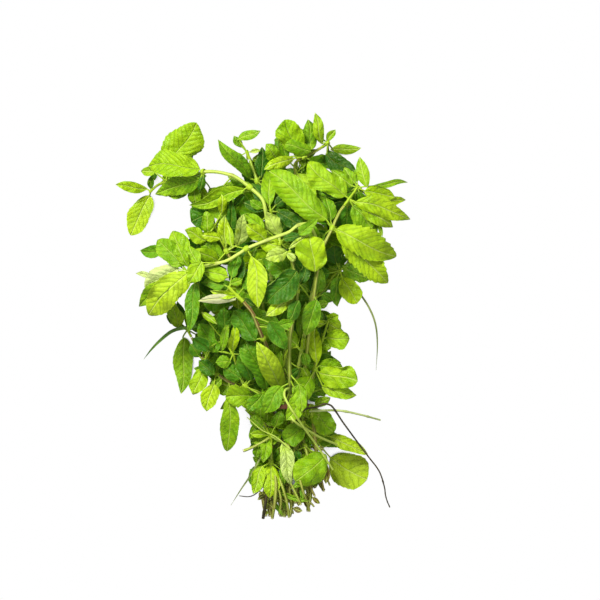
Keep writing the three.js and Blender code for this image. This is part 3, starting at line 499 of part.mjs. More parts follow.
    [3,0,-48.65,98.28,35.25,-46.01,87.9,32.93,-39.81,66.52,31.73,11.27,1.44,-0.101,-0.84],
    [3,0,12.92,-128.79,6.63,9.14,-132.34,9.36,3.09,-140.27,9.46,4.97,0.13,0.032,-0.2],
    [0,0,-46.02,99.18,42.75,-51.13,90.09,37.47,-65.4,84.17,36.71,8.78,-0.04,0.102,-0.61]
  ],
  sprig_09_stem: [
    [2,0,-12.45,13.57,36.91,-14.91,14.13,36.52,-42.66,13.53,37.71,21.46,0.96,0.023,1.55],
    [2,0,-11.51,9.86,35.75,-22.21,9.73,33.53,-36.93,5.12,33.17,10.47,0.71,0.194,-0.47],
    [1,0,-1.92,-34.68,20.94,-15.51,-37.04,12.02,-37.12,-45.1,0.9,9.24,0.61,0.126,0.36],
    [2,0,0.83,-47.92,12.42,-5.05,-55.67,7.17,-9.46,-64.28,7.46,6.28,-0.02,0.08,0.13],
    [0,0,-16.79,28.18,41.78,-30.12,25.18,36.49,-51.28,35.18,36.16,13.68,0.27,-0.237,0.06],
    [0,0,-8.9,-1.4,32.53,-16.28,5.39,39.48,-18.48,27.88,47.22,13.7,0.47,-0.016,0.42],
    [0,0,1.74,-128.79,3.17,-4.53,-121.03,2.94,-8.13,-108.99,1.8,7.3,1.16,-0.111,-0.15],
    [0,0,-6.47,-12.7,29.32,-1.36,-17.68,33.0,18.49,-19.23,32.46,11.4,1.48,0.412,-0.62],
    [0,0,-9.74,2.37,33.58,-18.51,0.5,36.57,-34.36,0.1,38.36,9.02,0.87,0.332,0.45],
    [1,0,4.29,-80.9,2.55,-0.73,-88.41,3.08,-9.14,-92.34,3.11,3.05,0.85,-0.135,0.06],
    [3,0,-13.44,17.26,38.1,-20.89,15.51,32.65,-49.56,12.24,15.07,15.91,0.9,-0.109,-0.63]
  ],
  sprig_16_stem: [
    [0,0,32.37,-104.72,21.22,27.36,-111.22,21.36,27.92,-131.42,24.89,11.44,0.24,0.003,0.32],
    [1,0,33.14,-120.58,19.44,36.11,-119.13,19.31,44.34,-112.3,18.66,3.88,0.17,0.003,-0.03]
  ],
  sprig_08_stem: [
    [0,0,19.82,-76.19,5.14,13.18,-66.56,9.48,13.5,-49.84,16.71,10.59,-0.21,0.101,0.4],
    [3,0,18.6,-50.73,14.46,28.2,-55.88,11.77,40.6,-58.74,6.59,6.76,-0.14,0.358,-0.15],
    [3,0,18.22,-132.06,6.89,21.63,-129.96,7.06,32.12,-120.39,6.64,8.66,-0.02,-0.098,0.13],
    [2,0,13.21,41.84,59.52,8.94,42.74,59.16,-13.51,36.43,43.82,16.52,2.1,-0.331,0.05],
    [3,0,16.49,-28.14,30.87,28.75,-35.71,41.36,33.0,-45.57,34.64,5.89,-0.11,-0.077,-0.03]
  ],
  sprig_11_stem: [
    [2,0,31.8,-15.76,21.85,31.73,-19.81,23.1,16.56,-42.55,14.7,22.33,-0.3,-0.224,1.61],
    [0,0,32.29,-4.49,25.92,37.81,2.55,21.01,37.39,31.74,19.01,14.39,-0.28,-0.271,-0.43],
    [1,0,29.92,-84.5,4.8,28.44,-81.68,7.15,27.34,-70.49,5.89,3.7,0.09,-0.226,0.13],
    [2,0,32.28,-0.66,27.08,38.82,-1.99,26.33,55.11,-10.52,23.97,14.09,0.92,-0.092,-0.89],
    [0,0,30.83,-92.43,5.23,33.24,-90.25,5.14,45.78,-83.03,6.49,6.94,0.04,0.389,-0.01],
    [0,0,29.96,-41.8,11.73,26.52,-47.59,10.15,6.8,-55.12,1.72,13.56,-0.02,-0.077,-0.12],
    [0,0,32.17,-8.27,24.63,36.21,-10.49,23.79,58.18,-11.49,18.24,12.03,1.27,-0.004,0.87]
  ],
  sprig_15_stem: [
    [3,0,23.76,-80.52,16.67,18.73,-78.23,18.37,-0.81,-71.01,19.48,10.17,1.09,0.236,-0.35]
  ],
  sprig_02_stem: [
    [0,0,26.0,-34.34,31.71,30.58,-32.83,30.39,55.25,-32.51,29.71,13.93,0.12,0.036,0.92],
    [0,0,23.8,-86.37,10.18,28.6,-96.09,16.33,45.61,-111.99,6.2,15.14,2.01,-0.439,0.83],
    [0,0,24.58,-43.69,24.34,24.15,-50.15,24.06,20.18,-61.64,16.94,6.99,0.37,0.35,-0.44],
    [1,0,4.53,53.13,75.7,-3.32,48.18,69.52,-8.51,38.8,67.1,4.05,0.72,-0.421,-0.28],
    [3,0,34.3,11.51,54.49,26.12,23.3,54.75,0.02,40.6,61.09,16.04,2.89,-0.078,-0.23],
    [0,0,38.64,48.44,68.39,39.41,51.37,66.9,31.22,65.55,68.92,8.88,0.4,-0.447,0.68],
    [0,0,25.94,63.16,73.43,25.83,56.51,77.5,38.65,67.47,78.0,9.53,0.19,-0.127,-0.41],
    [0,0,-31.04,36.89,69.61,-41.33,38.25,71.42,-50.99,23.0,71.9,11.53,0.76,0.09,0.74]
  ],
  sprig_12_stem: [
    [0,0,34.44,-100.89,9.23,29.15,-95.01,7.69,18.84,-91.05,0.9,5.31,0.2,-0.088,0.05],
    [1,0,35.16,-104.81,9.49,37.79,-111.64,5.33,37.59,-121.9,3.31,3.6,0.55,-0.05,0.09],
    [0,0,35.93,-108.73,9.75,31.76,-106.86,9.25,17.68,-110.44,0.9,7.7,1.29,0.127,0.02],
    [0,0,31.76,-54.9,19.91,43.95,-49.49,19.13,62.37,-54.73,16.73,9.8,-0.14,0.024,-0.42],
    [1,0,31.12,-73.18,7.46,31.49,-83.69,13.63,33.59,-93.83,14.1,4.28,0.35,-0.056,-0.01],
    [3,0,33.1,-93.02,8.72,42.13,-87.93,11.67,47.19,-77.72,11.53,7.45,0.19,0.31,0.33]
  ],
  sprig_03_stem: [
    [3,0,27.39,-69.93,11.3,28.66,-73.33,13.43,36.5,-78.52,10.77,4.26,0.89,0.309,0.08],
    [2,0,28.44,-49.96,23.83,30.15,-56.39,23.28,26.48,-67.06,15.89,7.57,0.19,-0.262,-0.1],
    [3,0,27.39,-69.93,11.3,30.08,-69.0,11.32,43.73,-74.88,10.45,9.01,0.25,0.109,-0.46],
    [2,0,27.94,-77.82,10.69,26.09,-75.57,13.1,20.07,-68.85,10.17,5.68,0.74,-0.19,0.17],
    [1,0,27.83,-55.99,18.63,34.6,-46.74,18.13,48.39,-24.29,22.21,10.26,1.54,-0.043,0.72],
    [2,0,39.82,37.69,67.86,36.95,31.15,72.36,33.23,55.59,76.43,23.03,2.45,-0.013,-0.68],
    [0,0,36.39,14.94,61.06,38.14,11.65,61.61,30.56,-13.12,60.03,13.21,2.2,-0.412,0.21]
  ],
  sprig_06_stem: [
    [2,0,7.9,-54.75,22.32,4.9,-60.97,21.78,3.55,-73.32,22.29,8.07,0.12,0.009,-0.44],
    [0,0,7.21,-84.15,14.98,13.92,-77.8,14.26,16.57,-64.06,15.64,8.91,0.57,-0.097,0.12],
    [0,0,7.94,-52.09,25.31,7.84,-56.29,25.7,14.38,-69.57,22.1,8.82,-0.11,-0.01,-0.05],
    [1,0,7.33,-80.18,14.51,1.78,-72.39,14.48,-12.46,-65.91,15.19,5.02,0.65,-0.213,0.15],
    [0,0,-2.45,-6.77,67.82,10.31,-6.56,76.0,22.44,-3.62,76.28,8.0,0.25,0.04,0.2],
    [1,0,5.98,-108.11,14.74,9.16,-105.97,17.13,21.41,-93.14,21.87,6.16,1.23,0.227,0.31],
    [0,0,-5.36,0.11,70.66,5.12,-3.56,77.5,16.79,-22.85,78.0,13.05,-0.52,0.321,-1.13]
  ],
  sprig_10_stem: [
    [2,0,22.15,-83.48,20.36,10.81,-92.75,16.58,5.37,-101.18,17.81,7.25,0.68,-0.209,0.1],
    [2,0,23.98,-115.33,18.29,31.78,-116.93,16.7,40.15,-115.21,12.08,6.39,0.54,0.123,0.15],
    [2,0,20.52,-9.58,62.89,13.24,-8.56,60.32,-17.75,-1.65,53.77,21.02,-0.42,-0.39,-1.05],
    [0,0,19.64,-46.38,49.01,14.28,-48.64,49.06,1.79,-67.52,48.31,13.6,2.16,0.074,0.28],
    [0,0,19.58,-43.51,51.71,28.61,-54.78,51.05,17.04,-72.27,52.88,12.34,1.53,0.043,0.2],
    [0,0,19.5,-40.06,53.72,26.03,-46.81,56.21,27.94,-66.08,57.19,11.64,-0.36,-0.015,-0.21],
    [0,0,23.3,5.35,67.91,25.89,11.15,73.8,18.15,-3.3,74.05,9.45,0.41,-0.384,-0.01]
  ],
  sprig_14_stem: [
    [0,0,13.73,-124.78,10.78,8.09,-120.72,10.61,-8.81,-108.03,11.49,10.45,0.52,0.059,-0.64],
    [3,0,8.66,-73.11,9.89,3.09,-78.99,10.77,-7.67,-91.55,10.84,10.62,-0.14,0.295,-0.19]
  ],
  sprig_17_stem: [
    [0,0,4.85,-114.83,18.89,8.51,-129.52,25.28,14.47,-140.93,24.63,5.81,0.53,-0.13,0.28],
    [0,0,3.61,-122.73,18.57,6.54,-124.7,20.05,18.43,-131.68,23.66,7.82,0.23,-0.188,0.1],
    [0,0,5.3,-110.96,19.78,8.23,-114.62,21.58,8.39,-132.71,28.05,8.27,1.54,0.291,0.47],
    [0,0,3.61,-122.73,18.57,11.93,-124.22,24.63,32.93,-129.44,32.21,10.05,-0.26,0.338,0.56]
  ],
  sprig_18_stem: [
    [0,0,37.71,-94.5,17.22,47.82,-90.65,11.96,57.18,-88.51,11.21,6.16,0.07,0.038,-0.16],
    [3,0,37.93,-98.45,16.6,34.43,-111.9,25.42,19.99,-121.51,26.54,10.89,0.69,0.231,-0.07]
  ]
};

// ---- side leaf nodes that wrap round a stem: piece, stem, centre
const COLLARS = [
  ['sprig_01_side_a', '01', [-8.4,89.95,61.1]],
  ['sprig_01_side_b', '01', [-40.6,100.8,56.69]],
  ['sprig_02_side_a', '02', [-10.42,46.92,74.93]],
  ['sprig_03_side_a', '03', [49.0,61.25,70.74]],
  ['sprig_04_side_a', '04', [-3.5,94.85,44.16]],
  ['sprig_05_side_a', '05', [29.42,111.88,31.21]],
  ['sprig_06_side_c', '06', [0.85,-14.94,62.58]],
  ['sprig_07_side_b', '07', [-40.6,-31.85,26.72]],
  ['sprig_07_side_c', '07', [-32.24,-40.1,27.16]],
  ['sprig_08_side_a', '08', [12.6,51.45,61.15]],
  ['sprig_09_side_a', '09', [-24.71,45.59,44.79]],
  ['sprig_10_side_a', '10', [24.5,17.85,66.02]],
  ['sprig_12_side_c', '12', [37.1,-36.75,36.45]],
  ['sprig_14_side_a', '14', [-11.9,-48.65,37.92]],
  ['sprig_16_side_a', '16', [28.76,-75.26,17.41]],
  ['sprig_16_side_b', '16', [30.01,-91.57,19.51]],
  ['sprig_17_side_b', '17', [6.28,-102.59,21.71]]
];

// ---- grass blades: name, width, centre line
const BLADES = [
  ['grass_blade_right', 1.82, [[58.1,25.55,29.86],[61.64,23.05,32.28],[65.19,19.9,33.54],[68.45,16.17,33.27],[71.32,12.24,32.36],[73.95,8.23,31.09],[76.18,4.07,29.55],[78.05,-0.19,27.83],[79.44,-4.49,25.79],[80.33,-8.72,23.35],[80.84,-12.85,20.65],[81.1,-16.97,17.9],[81.21,-21.17,15.25],[81.13,-25.4,12.67],[80.94,-29.65,10.11],[80.7,-33.9,7.56],[80.5,-38.15,5.0]]],
  ['grass_blade_left', 3.22, [[-46.2,-6.65,30.34],[-51.03,-7.41,30.62],[-55.82,-8.28,30.34],[-60.5,-9.2,29.28],[-64.49,-11.0,27.15],[-67.75,-13.36,24.38],[-70.78,-15.91,21.5],[-73.76,-18.61,18.71],[-76.59,-21.47,15.93],[-79.24,-24.41,13.05],[-81.65,-27.42,10.04],[-84.0,-30.45,7.0]]],
  ['grass_blade_low', 1.68, [[0.0,-96.95,21.95],[-2.26,-101.13,21.06],[-4.51,-105.21,19.77],[-6.71,-109.14,18.0],[-8.89,-112.94,15.95],[-11.09,-116.46,13.48],[-13.27,-119.66,10.58],[-15.5,-123.0,7.9],[-17.79,-126.63,5.65],[-20.09,-130.34,3.58],[-22.4,-134.05,1.5]]]
];

// ---- dry stalks: name, radius, centre line
const DRY = [
  ['dry_stem', 0.75, [[24.5,-71.05,34.56],[27.24,-67.98,37.41],[30.39,-65.0,39.83],[34.65,-63.95,38.04],[39.14,-63.26,36.35],[43.64,-61.26,37.18],[48.21,-62.31,36.72],[51.28,-65.94,35.19],[53.86,-69.86,33.43],[56.31,-73.69,31.34],[58.76,-77.12,28.65],[60.95,-80.15,25.32],[63.04,-83.08,21.84],[65.29,-86.19,18.63],[68.0,-89.88,16.72],[71.0,-93.87,16.8],[74.0,-97.84,17.33],[77.03,-101.77,16.68],[80.05,-105.58,15.51],[82.6,-109.55,13.86],[84.31,-113.69,11.63],[85.53,-117.84,9.1],[86.6,-122.08,6.68],[87.16,-126.65,4.71],[88.44,-131.13,2.91],[90.3,-135.45,1.2]]],
  ['bent_stalk', 1.0, [[21.7,-70.35,28.08],[25.89,-68.56,29.9],[30.29,-66.97,31.28],[35.01,-66.3,30.38],[39.72,-66.17,29.09],[44.56,-66.01,29.69],[49.3,-65.92,30.95],[54.15,-66.11,31.54],[58.93,-66.77,30.77],[63.49,-67.72,29.22],[67.82,-68.76,27.18],[71.92,-69.82,24.71],[75.76,-70.92,21.87],[79.51,-72.04,18.91],[83.3,-73.15,16.0]]]
];

const wasm = await Module();
wasm.setup();

const solidFrom = (geometry) => {
  const bare = geometry.index ? geometry.toNonIndexed() : geometry.clone();
  bare.deleteAttribute("normal");
  bare.deleteAttribute("uv");
  const merged = mergeVertices(bare, 1e-4);
  return new wasm.Manifold(
    new wasm.Mesh({
      numProp: 3,
      vertProperties: new Float32Array(merged.attributes.position.array),
      triVerts: new Uint32Array(merged.index.array),
    }),
  );
};

const geometryFrom = (solid) => {
  const mesh = solid.getMesh();
  const g = new THREE.BufferGeometry();
  g.setAttribute("position", new THREE.BufferAttribute(new Float32Array(mesh.vertProperties), 3));
  g.setIndex(new THREE.BufferAttribute(new Uint32Array(mesh.triVerts), 1));
  g.computeVertexNormals();
  return g;
};

const vec = (p) => new THREE.Vector3(p[0], p[1], p[2]);

// A centre line through its points, as straight runs that follow each other.
const pathOf = (points) => new THREE.CatmullRomCurve3(points.map(vec), false, "centripetal");

const squareSection = (r) => {
  const s = new THREE.Shape();
  s.moveTo(r, 0);
  s.lineTo(0, r);
  s.lineTo(-r, 0);
  s.lineTo(0, -r);
  s.closePath();
  return s;
};

const stemTube = (points, r, steps) =>
  new THREE.ExtrudeGeometry(squareSection(r), {
    steps,
    bevelEnabled: false,
    curveSegments: 1,
    extrudePath: pathOf(points),
  });

const outlineAt = (t, kind) => {
  const [a, b] = OUTLINES[kind];
  const m = a / (a + b);
  return Math.pow(t / m, a) * Math.pow((1 - t) / (1 - m), b);
};

// One leaf with its stalk as a closed loft: each station has a left edge, an upper rib, a right edge and a lower rib.
const leafGeometry = (row, away, axis) => {
  const [kind, flat, kx, ky, kz, bx, by, bz, tx, ty, tz, width, arch, slope, lift] = row;
  const dx = tx - bx,
    dy = ty - by,
    length = Math.hypot(dx, dy);
  const nx = -dy / length,
    ny = dx / length;
  const stations = [];
  const add = (x, y, z, half, side, edge, up, down, px, py) =>
    stations.push([
      [x + px * half, y + py * half, z + side + edge],
      [x, y, z + up],
      [x - px * half, y - py * half, z - side + edge],
      [x, y, z - down],
    ]);
  const kdx = bx - kx,
    kdy = by - ky,
    kl = Math.hypot(kdx, kdy) || 1;
  const stalk = [(-kdy / kl), (kdx / kl)];
  // the stalk starts just inside the shoot or ring that it grows from
  const reach = Math.hypot(kl, bz - kz),
    f0 = reach > away * 1.5 ? away / reach : 0;
const from = [kx + kdx * f0, ky + kdy * f0, kz + (bz - kz) * f0];
  if (axis) {
    // on the ring's own wall, square to the stem
    const out = new THREE.Vector3(kdx, kdy, bz - kz);
    out.addScaledVector(axis, -out.dot(axis));
    if (out.length() < 0.05) out.set(-axis.y, axis.x, 0);
    out.normalize().multiplyScalar(away);
    from[0] = kx + out.x;
    from[1] = ky + out.y;
    from[2] = kz + out.z;
  }
  const [sx, sy, sz] = from,
    rise = reach > 0.01 ? (bz - kz) / reach : 0, // a steep stalk keeps its thickness
    run = Math.sqrt(1 - rise * rise),
    ux = (-rise * kdx) / kl,
    uy = (-rise * kdy) / kl;
  stations.push([
    [sx + stalk[0] * PETIOLE_RADIUS, sy + stalk[1] * PETIOLE_RADIUS, sz],
    [sx + ux * PETIOLE_RADIUS, sy + uy * PETIOLE_RADIUS, sz + run * PETIOLE_RADIUS],
    [sx - stalk[0] * PETIOLE_RADIUS, sy - stalk[1] * PETIOLE_RADIUS, sz],
    [sx - ux * PETIOLE_RADIUS, sy - uy * PETIOLE_RADIUS, sz - run * PETIOLE_RADIUS],
  ]);
  const cuts = length > 24 ? [0.03, 0.24, 0.52, 0.8] : length > 9 ? [0.05, 0.34, 0.7] : [0.1, 0.5];
  if (reach < 5) cuts.shift(); // hardly any stalk
  for (const t of cuts) {
    const half = Math.max((width / 2) * outlineAt(t, kind), PETIOLE_RADIUS);
    const x = bx + dx * t,
      y = by + dy * t;
    const full = outlineAt(t, kind);
    if (flat) add(x, y, 0, half, 0, 0, FLAT_LEAF_THICKNESS * Math.min(1, 0.75 + full * 0.25), 0, nx, ny);
    else {
      const z = bz + (tz - bz) * t + arch * 4 * t * (1 - t);
      const th = (LEAF_THICKNESS / 2) * (0.8 + 0.2 * full);
      add(x, y, z, half, slope * half, lift * full, th, th, nx, ny);
    }
  }
  const pos = [];
  const tri = (a, b, c) => pos.push(...a, ...c, ...b);
  const quad = (a, b, c, d) => {
    tri(a, b, c);
    tri(a, c, d);
  };
  const first = stations[0];
  tri(first[0], first[1], first[2]);
  tri(first[0], first[2], first[3]);
  for (let i = 0; i + 1 < stations.length; i++) {
    const p = stations[i],
      q = stations[i + 1];
    for (let j = 0; j < 4; j++) {
      const k = (j + 1) % 4;
      quad(p[j], q[j], q[k], p[k]);
    }
  }
  const last = stations[stations.length - 1];
  const tip = [tx, ty, flat ? 0 : tz];
  for (let j = 0; j < 4; j++) tri(last[j], tip, last[(j + 1) % 4]);
  const g = new THREE.BufferGeometry();
  g.setAttribute("position", new THREE.Float32BufferAttribute(pos, 3));
  return g;
};

// Cleans up the joints of a piece and drops the specks that a joint can leave.
const whole = (solid, name) => {
  const parts = solid.simplify(CLEAN_UP[name] || 0.02).decompose();
  return parts.reduce((a, b) => (b.volume() > a.volume() ? b : a));
};

const stemSolids = new Map();
const clearances = new Map();
for (const [name, r, points] of STEMS) {
  const steps = Math.ceil(pathOf(points).getLength() / (TIGHT_STEMS[name] || STEM_STEP));
  stemSolids.set(name, solidFrom(stemTube(points, r, steps)));
  const wide = r + JOINT_GAP * 1.45,
    curve = pathOf(points),
    end = curve.getPointAt(1),
    past = curve.getTangentAt(1).multiplyScalar(JOINT_GAP);
  const cap = new THREE.ExtrudeGeometry(squareSection(wide), {
    steps: 1,
    bevelEnabled: false,
    curveSegments: 1,
    extrudePath: new THREE.LineCurve3(end.clone().sub(past), end.clone().add(past)),
  });
  clearances.set(name, solidFrom(stemTube(points, wide, steps)).add(solidFrom(cap)));
}

const pieces = [];
for (const [name, r] of STEMS) {
  const key = "sprig_" + name + "_stem";
  let solid = stemSolids.get(name);
  for (const row of LEAVES[key] || []) solid = solid.add(solidFrom(leafGeometry(row, r * 0.35)));
  pieces.push([key, LEAVES[key] ? whole(solid, key) : solid, "stem"]);
}

for (const [name, r, points] of SHOOTS) {
  const key = "sprig_" + name + "_top";
  let solid = solidFrom(stemTube(points, r * 0.92, Math.max(2, Math.ceil(pathOf(points).getLength() / 10))));
  for (const row of LEAVES[key] || []) solid = solid.add(solidFrom(leafGeometry(row, r * 0.35)));
  // a leaf that leans back along the stem stays clear of it
  solid = solid.subtract(clearances.get(name));
  for (const [dryName, dryR, dryPoints] of DRY)
    if (name === "18" && dryName === "bent_stalk")
      solid = solid.subtract(solidFrom(stemTube(dryPoints, dryR + JOINT_GAP * 1.45, Math.ceil(pathOf(dryPoints).getLength() / 7))));
  pieces.push([key + "_leaves", whole(solid, key), "leaf"]);
}

for (const [key, stem, centre] of COLLARS) {
  const found = STEMS.find((s) => s[0] === stem);
  const curve = pathOf(found[2]);
  // the place on the stem nearest to the node
  let best = 0,
    gap = Infinity;
  for (let i = 0; i <= 400; i++) {
    const d = curve.getPointAt(i / 400).distanceTo(vec(centre));
    if (d < gap) {
      gap = d;
      best = i / 400;
    }
  }
  const mid = curve.getPointAt(best),
    axis = curve.getTangentAt(best),
    dir = axis.clone().multiplyScalar(COLLAR_LENGTH / 2);
  const a = mid.clone().sub(dir),
    b = mid.clone().add(dir);
  const ring = new THREE.ExtrudeGeometry(squareSection(found[1] + JOINT_GAP * 1.45 + COLLAR_WALL * 1.4), {
    steps: 1,
    bevelEnabled: false,
    curveSegments: 1,
    extrudePath: new THREE.LineCurve3(a, b),
  });
  let solid = solidFrom(ring);
  for (const row of LEAVES[key] || []) solid = solid.add(solidFrom(leafGeometry(row, found[1] + 0.45, axis)));
  solid = solid.subtract(clearances.get(stem));
  pieces.push([key + "_leaves", whole(solid, key), "leaf"]);
}

// A grass blade: a thin ribbon that tapers to both ends.
for (const [name, width, points] of BLADES) {
  const curve = pathOf(points);
  const n = Math.ceil(curve.getLength() / 8);
  const pos = [];
  const st = [];
  for (let i = 0; i < n; i++) {
    const u = i / n;
    const p = curve.getPointAt(u),
      d = curve.getTangentAt(u);
    const l = Math.hypot(d.x, d.y) || 1;
    const half = Math.max(0.35, (width / 2) * (0.55 + 0.9 * u - 1.45 * u * u + 0.1));
    const px = (-d.y / l) * half,
      py = (d.x / l) * half,
      th = BLADE_THICKNESS / 2;
    st.push([
      [p.x + px, p.y + py, p.z],
      [p.x, p.y, p.z + th],
      [p.x - px, p.y - py, p.z],
      [p.x, p.y, p.z - th],
    ]);
  }
  const tri = (a, b, c) => pos.push(...a, ...c, ...b);
  tri(st[0][0], st[0][1], st[0][2]);
  tri(st[0][0], st[0][2], st[0][3]);
  for (let i = 0; i + 1 < n; i++)
    for (let j = 0; j < 4; j++) {
      const k = (j + 1) % 4;
      tri(st[i][j], st[i + 1][j], st[i + 1][k]);
      tri(st[i][j], st[i + 1][k], st[i][k]);
    }
  const e = curve.getPointAt(1);
  for (let j = 0; j < 4; j++) tri(st[n - 1][j], [e.x, e.y, e.z], st[n - 1][(j + 1) % 4]);
  const g = new THREE.BufferGeometry();
  g.setAttribute("position", new THREE.Float32BufferAttribute(pos, 3));
  pieces.push([name, solidFrom(g), "grass"]);
}

for (const [name, r, points] of DRY) pieces.push([name, solidFrom(stemTube(points, r, Math.ceil(pathOf(points).getLength() / 7))), name === "dry_stem" ? "dry" : "stem"]);

// The band: a flat ring round all the stems at the waist, a rounded rectangle on its side.
{
  const ring = (shape, halfWidth, low, high, corner) => {
    const x0 = TIE_X - halfWidth,
      x1 = TIE_X + halfWidth,
      r = corner;
    shape.moveTo(x0 + r, low);
    shape.lineTo(x1 - r, low);
    shape.absarc(x1 - r, low + r, r, -Math.PI / 2, 0, false);
    shape.lineTo(x1, high - r);
    shape.absarc(x1 - r, high - r, r, 0, Math.PI / 2, false);
    shape.lineTo(x0 + r, high);
    shape.absarc(x0 + r, high - r, r, Math.PI / 2, Math.PI, false);
    shape.lineTo(x0, low + r);
    shape.absarc(x0 + r, low + r, r, Math.PI, Math.PI * 1.5, false);
    return shape;
  };
  const outer = ring(new THREE.Shape(), TIE_HALF, TIE_LOW, TIE_HIGH, TIE_CORNER);
  outer.holes.push(ring(new THREE.Path(), TIE_HALF - TIE_WALL, TIE_LOW + TIE_WALL, TIE_HIGH - TIE_WALL, TIE_CORNER - TIE_WALL));
  const band = new THREE.ExtrudeGeometry(outer, { depth: TIE_WIDTH, bevelEnabled: false, curveSegments: 3 });
  band.rotateX(Math.PI / 2);
  band.translate(0, TIE_Y + TIE_WIDTH / 2, 0);
  pieces.push(["tie_band", solidFrom(band), "tie"]);
}


const LOOKS = {
  stem: { color: 0xb9cf72, roughness: 0.55 },
  leaf: { color: 0x7fae1c, roughness: 0.6 },
  grass: { color: 0xa2b065, roughness: 0.6 },
  dry: { color: 0x4a4220, roughness: 0.8 },
  tie: { color: 0x7a3a2c, roughness: 0.7 },
};

const bunch = new THREE.Group();
bunch.name = "mint_bunch";
for (const [name, solid, look] of pieces) {
  const geometry = geometryFrom(solid);
  geometry.translate(-CENTRE[0], -CENTRE[1], 0);
  const material = new THREE.MeshStandardMaterial({ color: LOOKS[look].color, roughness: LOOKS[look].roughness, metalness: 0 });
  const mesh = new THREE.Mesh(geometry, material);
  mesh.name = name;
  bunch.add(mesh);
}

export default bunch;
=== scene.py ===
import math
import random

import bpy
import numpy as np
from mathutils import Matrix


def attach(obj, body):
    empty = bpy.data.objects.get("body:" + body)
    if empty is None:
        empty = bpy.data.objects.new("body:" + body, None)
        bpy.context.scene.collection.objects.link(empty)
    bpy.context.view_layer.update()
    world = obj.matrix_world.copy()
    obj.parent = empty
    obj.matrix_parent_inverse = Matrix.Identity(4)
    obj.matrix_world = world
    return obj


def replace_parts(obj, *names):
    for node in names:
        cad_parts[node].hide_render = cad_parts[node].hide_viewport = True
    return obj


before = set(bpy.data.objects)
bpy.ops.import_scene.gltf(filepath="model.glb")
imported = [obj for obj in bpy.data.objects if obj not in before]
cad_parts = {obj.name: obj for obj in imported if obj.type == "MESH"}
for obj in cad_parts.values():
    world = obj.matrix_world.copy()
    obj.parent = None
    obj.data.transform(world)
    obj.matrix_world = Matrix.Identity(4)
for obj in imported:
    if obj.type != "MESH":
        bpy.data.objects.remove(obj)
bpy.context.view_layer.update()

# A tied bunch of fresh mint lying on its side, seen from straight above. Lengths below are millimetres.
CENTRE_Y = 0.468  # the same shift as in the solids
SHEET = 0.17  # half the thickness of a blade

# widest place and roundness of each outline: (t/m)^a ((1-t)/(1-m))^b
OUTLINES = [(0.55, 0.85), (0.75, 0.95), (0.5, 0.55), (0.55, 0.85), (0.5, 0.6)]
TEETH = [0.068, 0.04, 0.05, 0.19, 0.05]
ROLLED = [0.55, 0.55, 0.2, 0.4, 0.35]

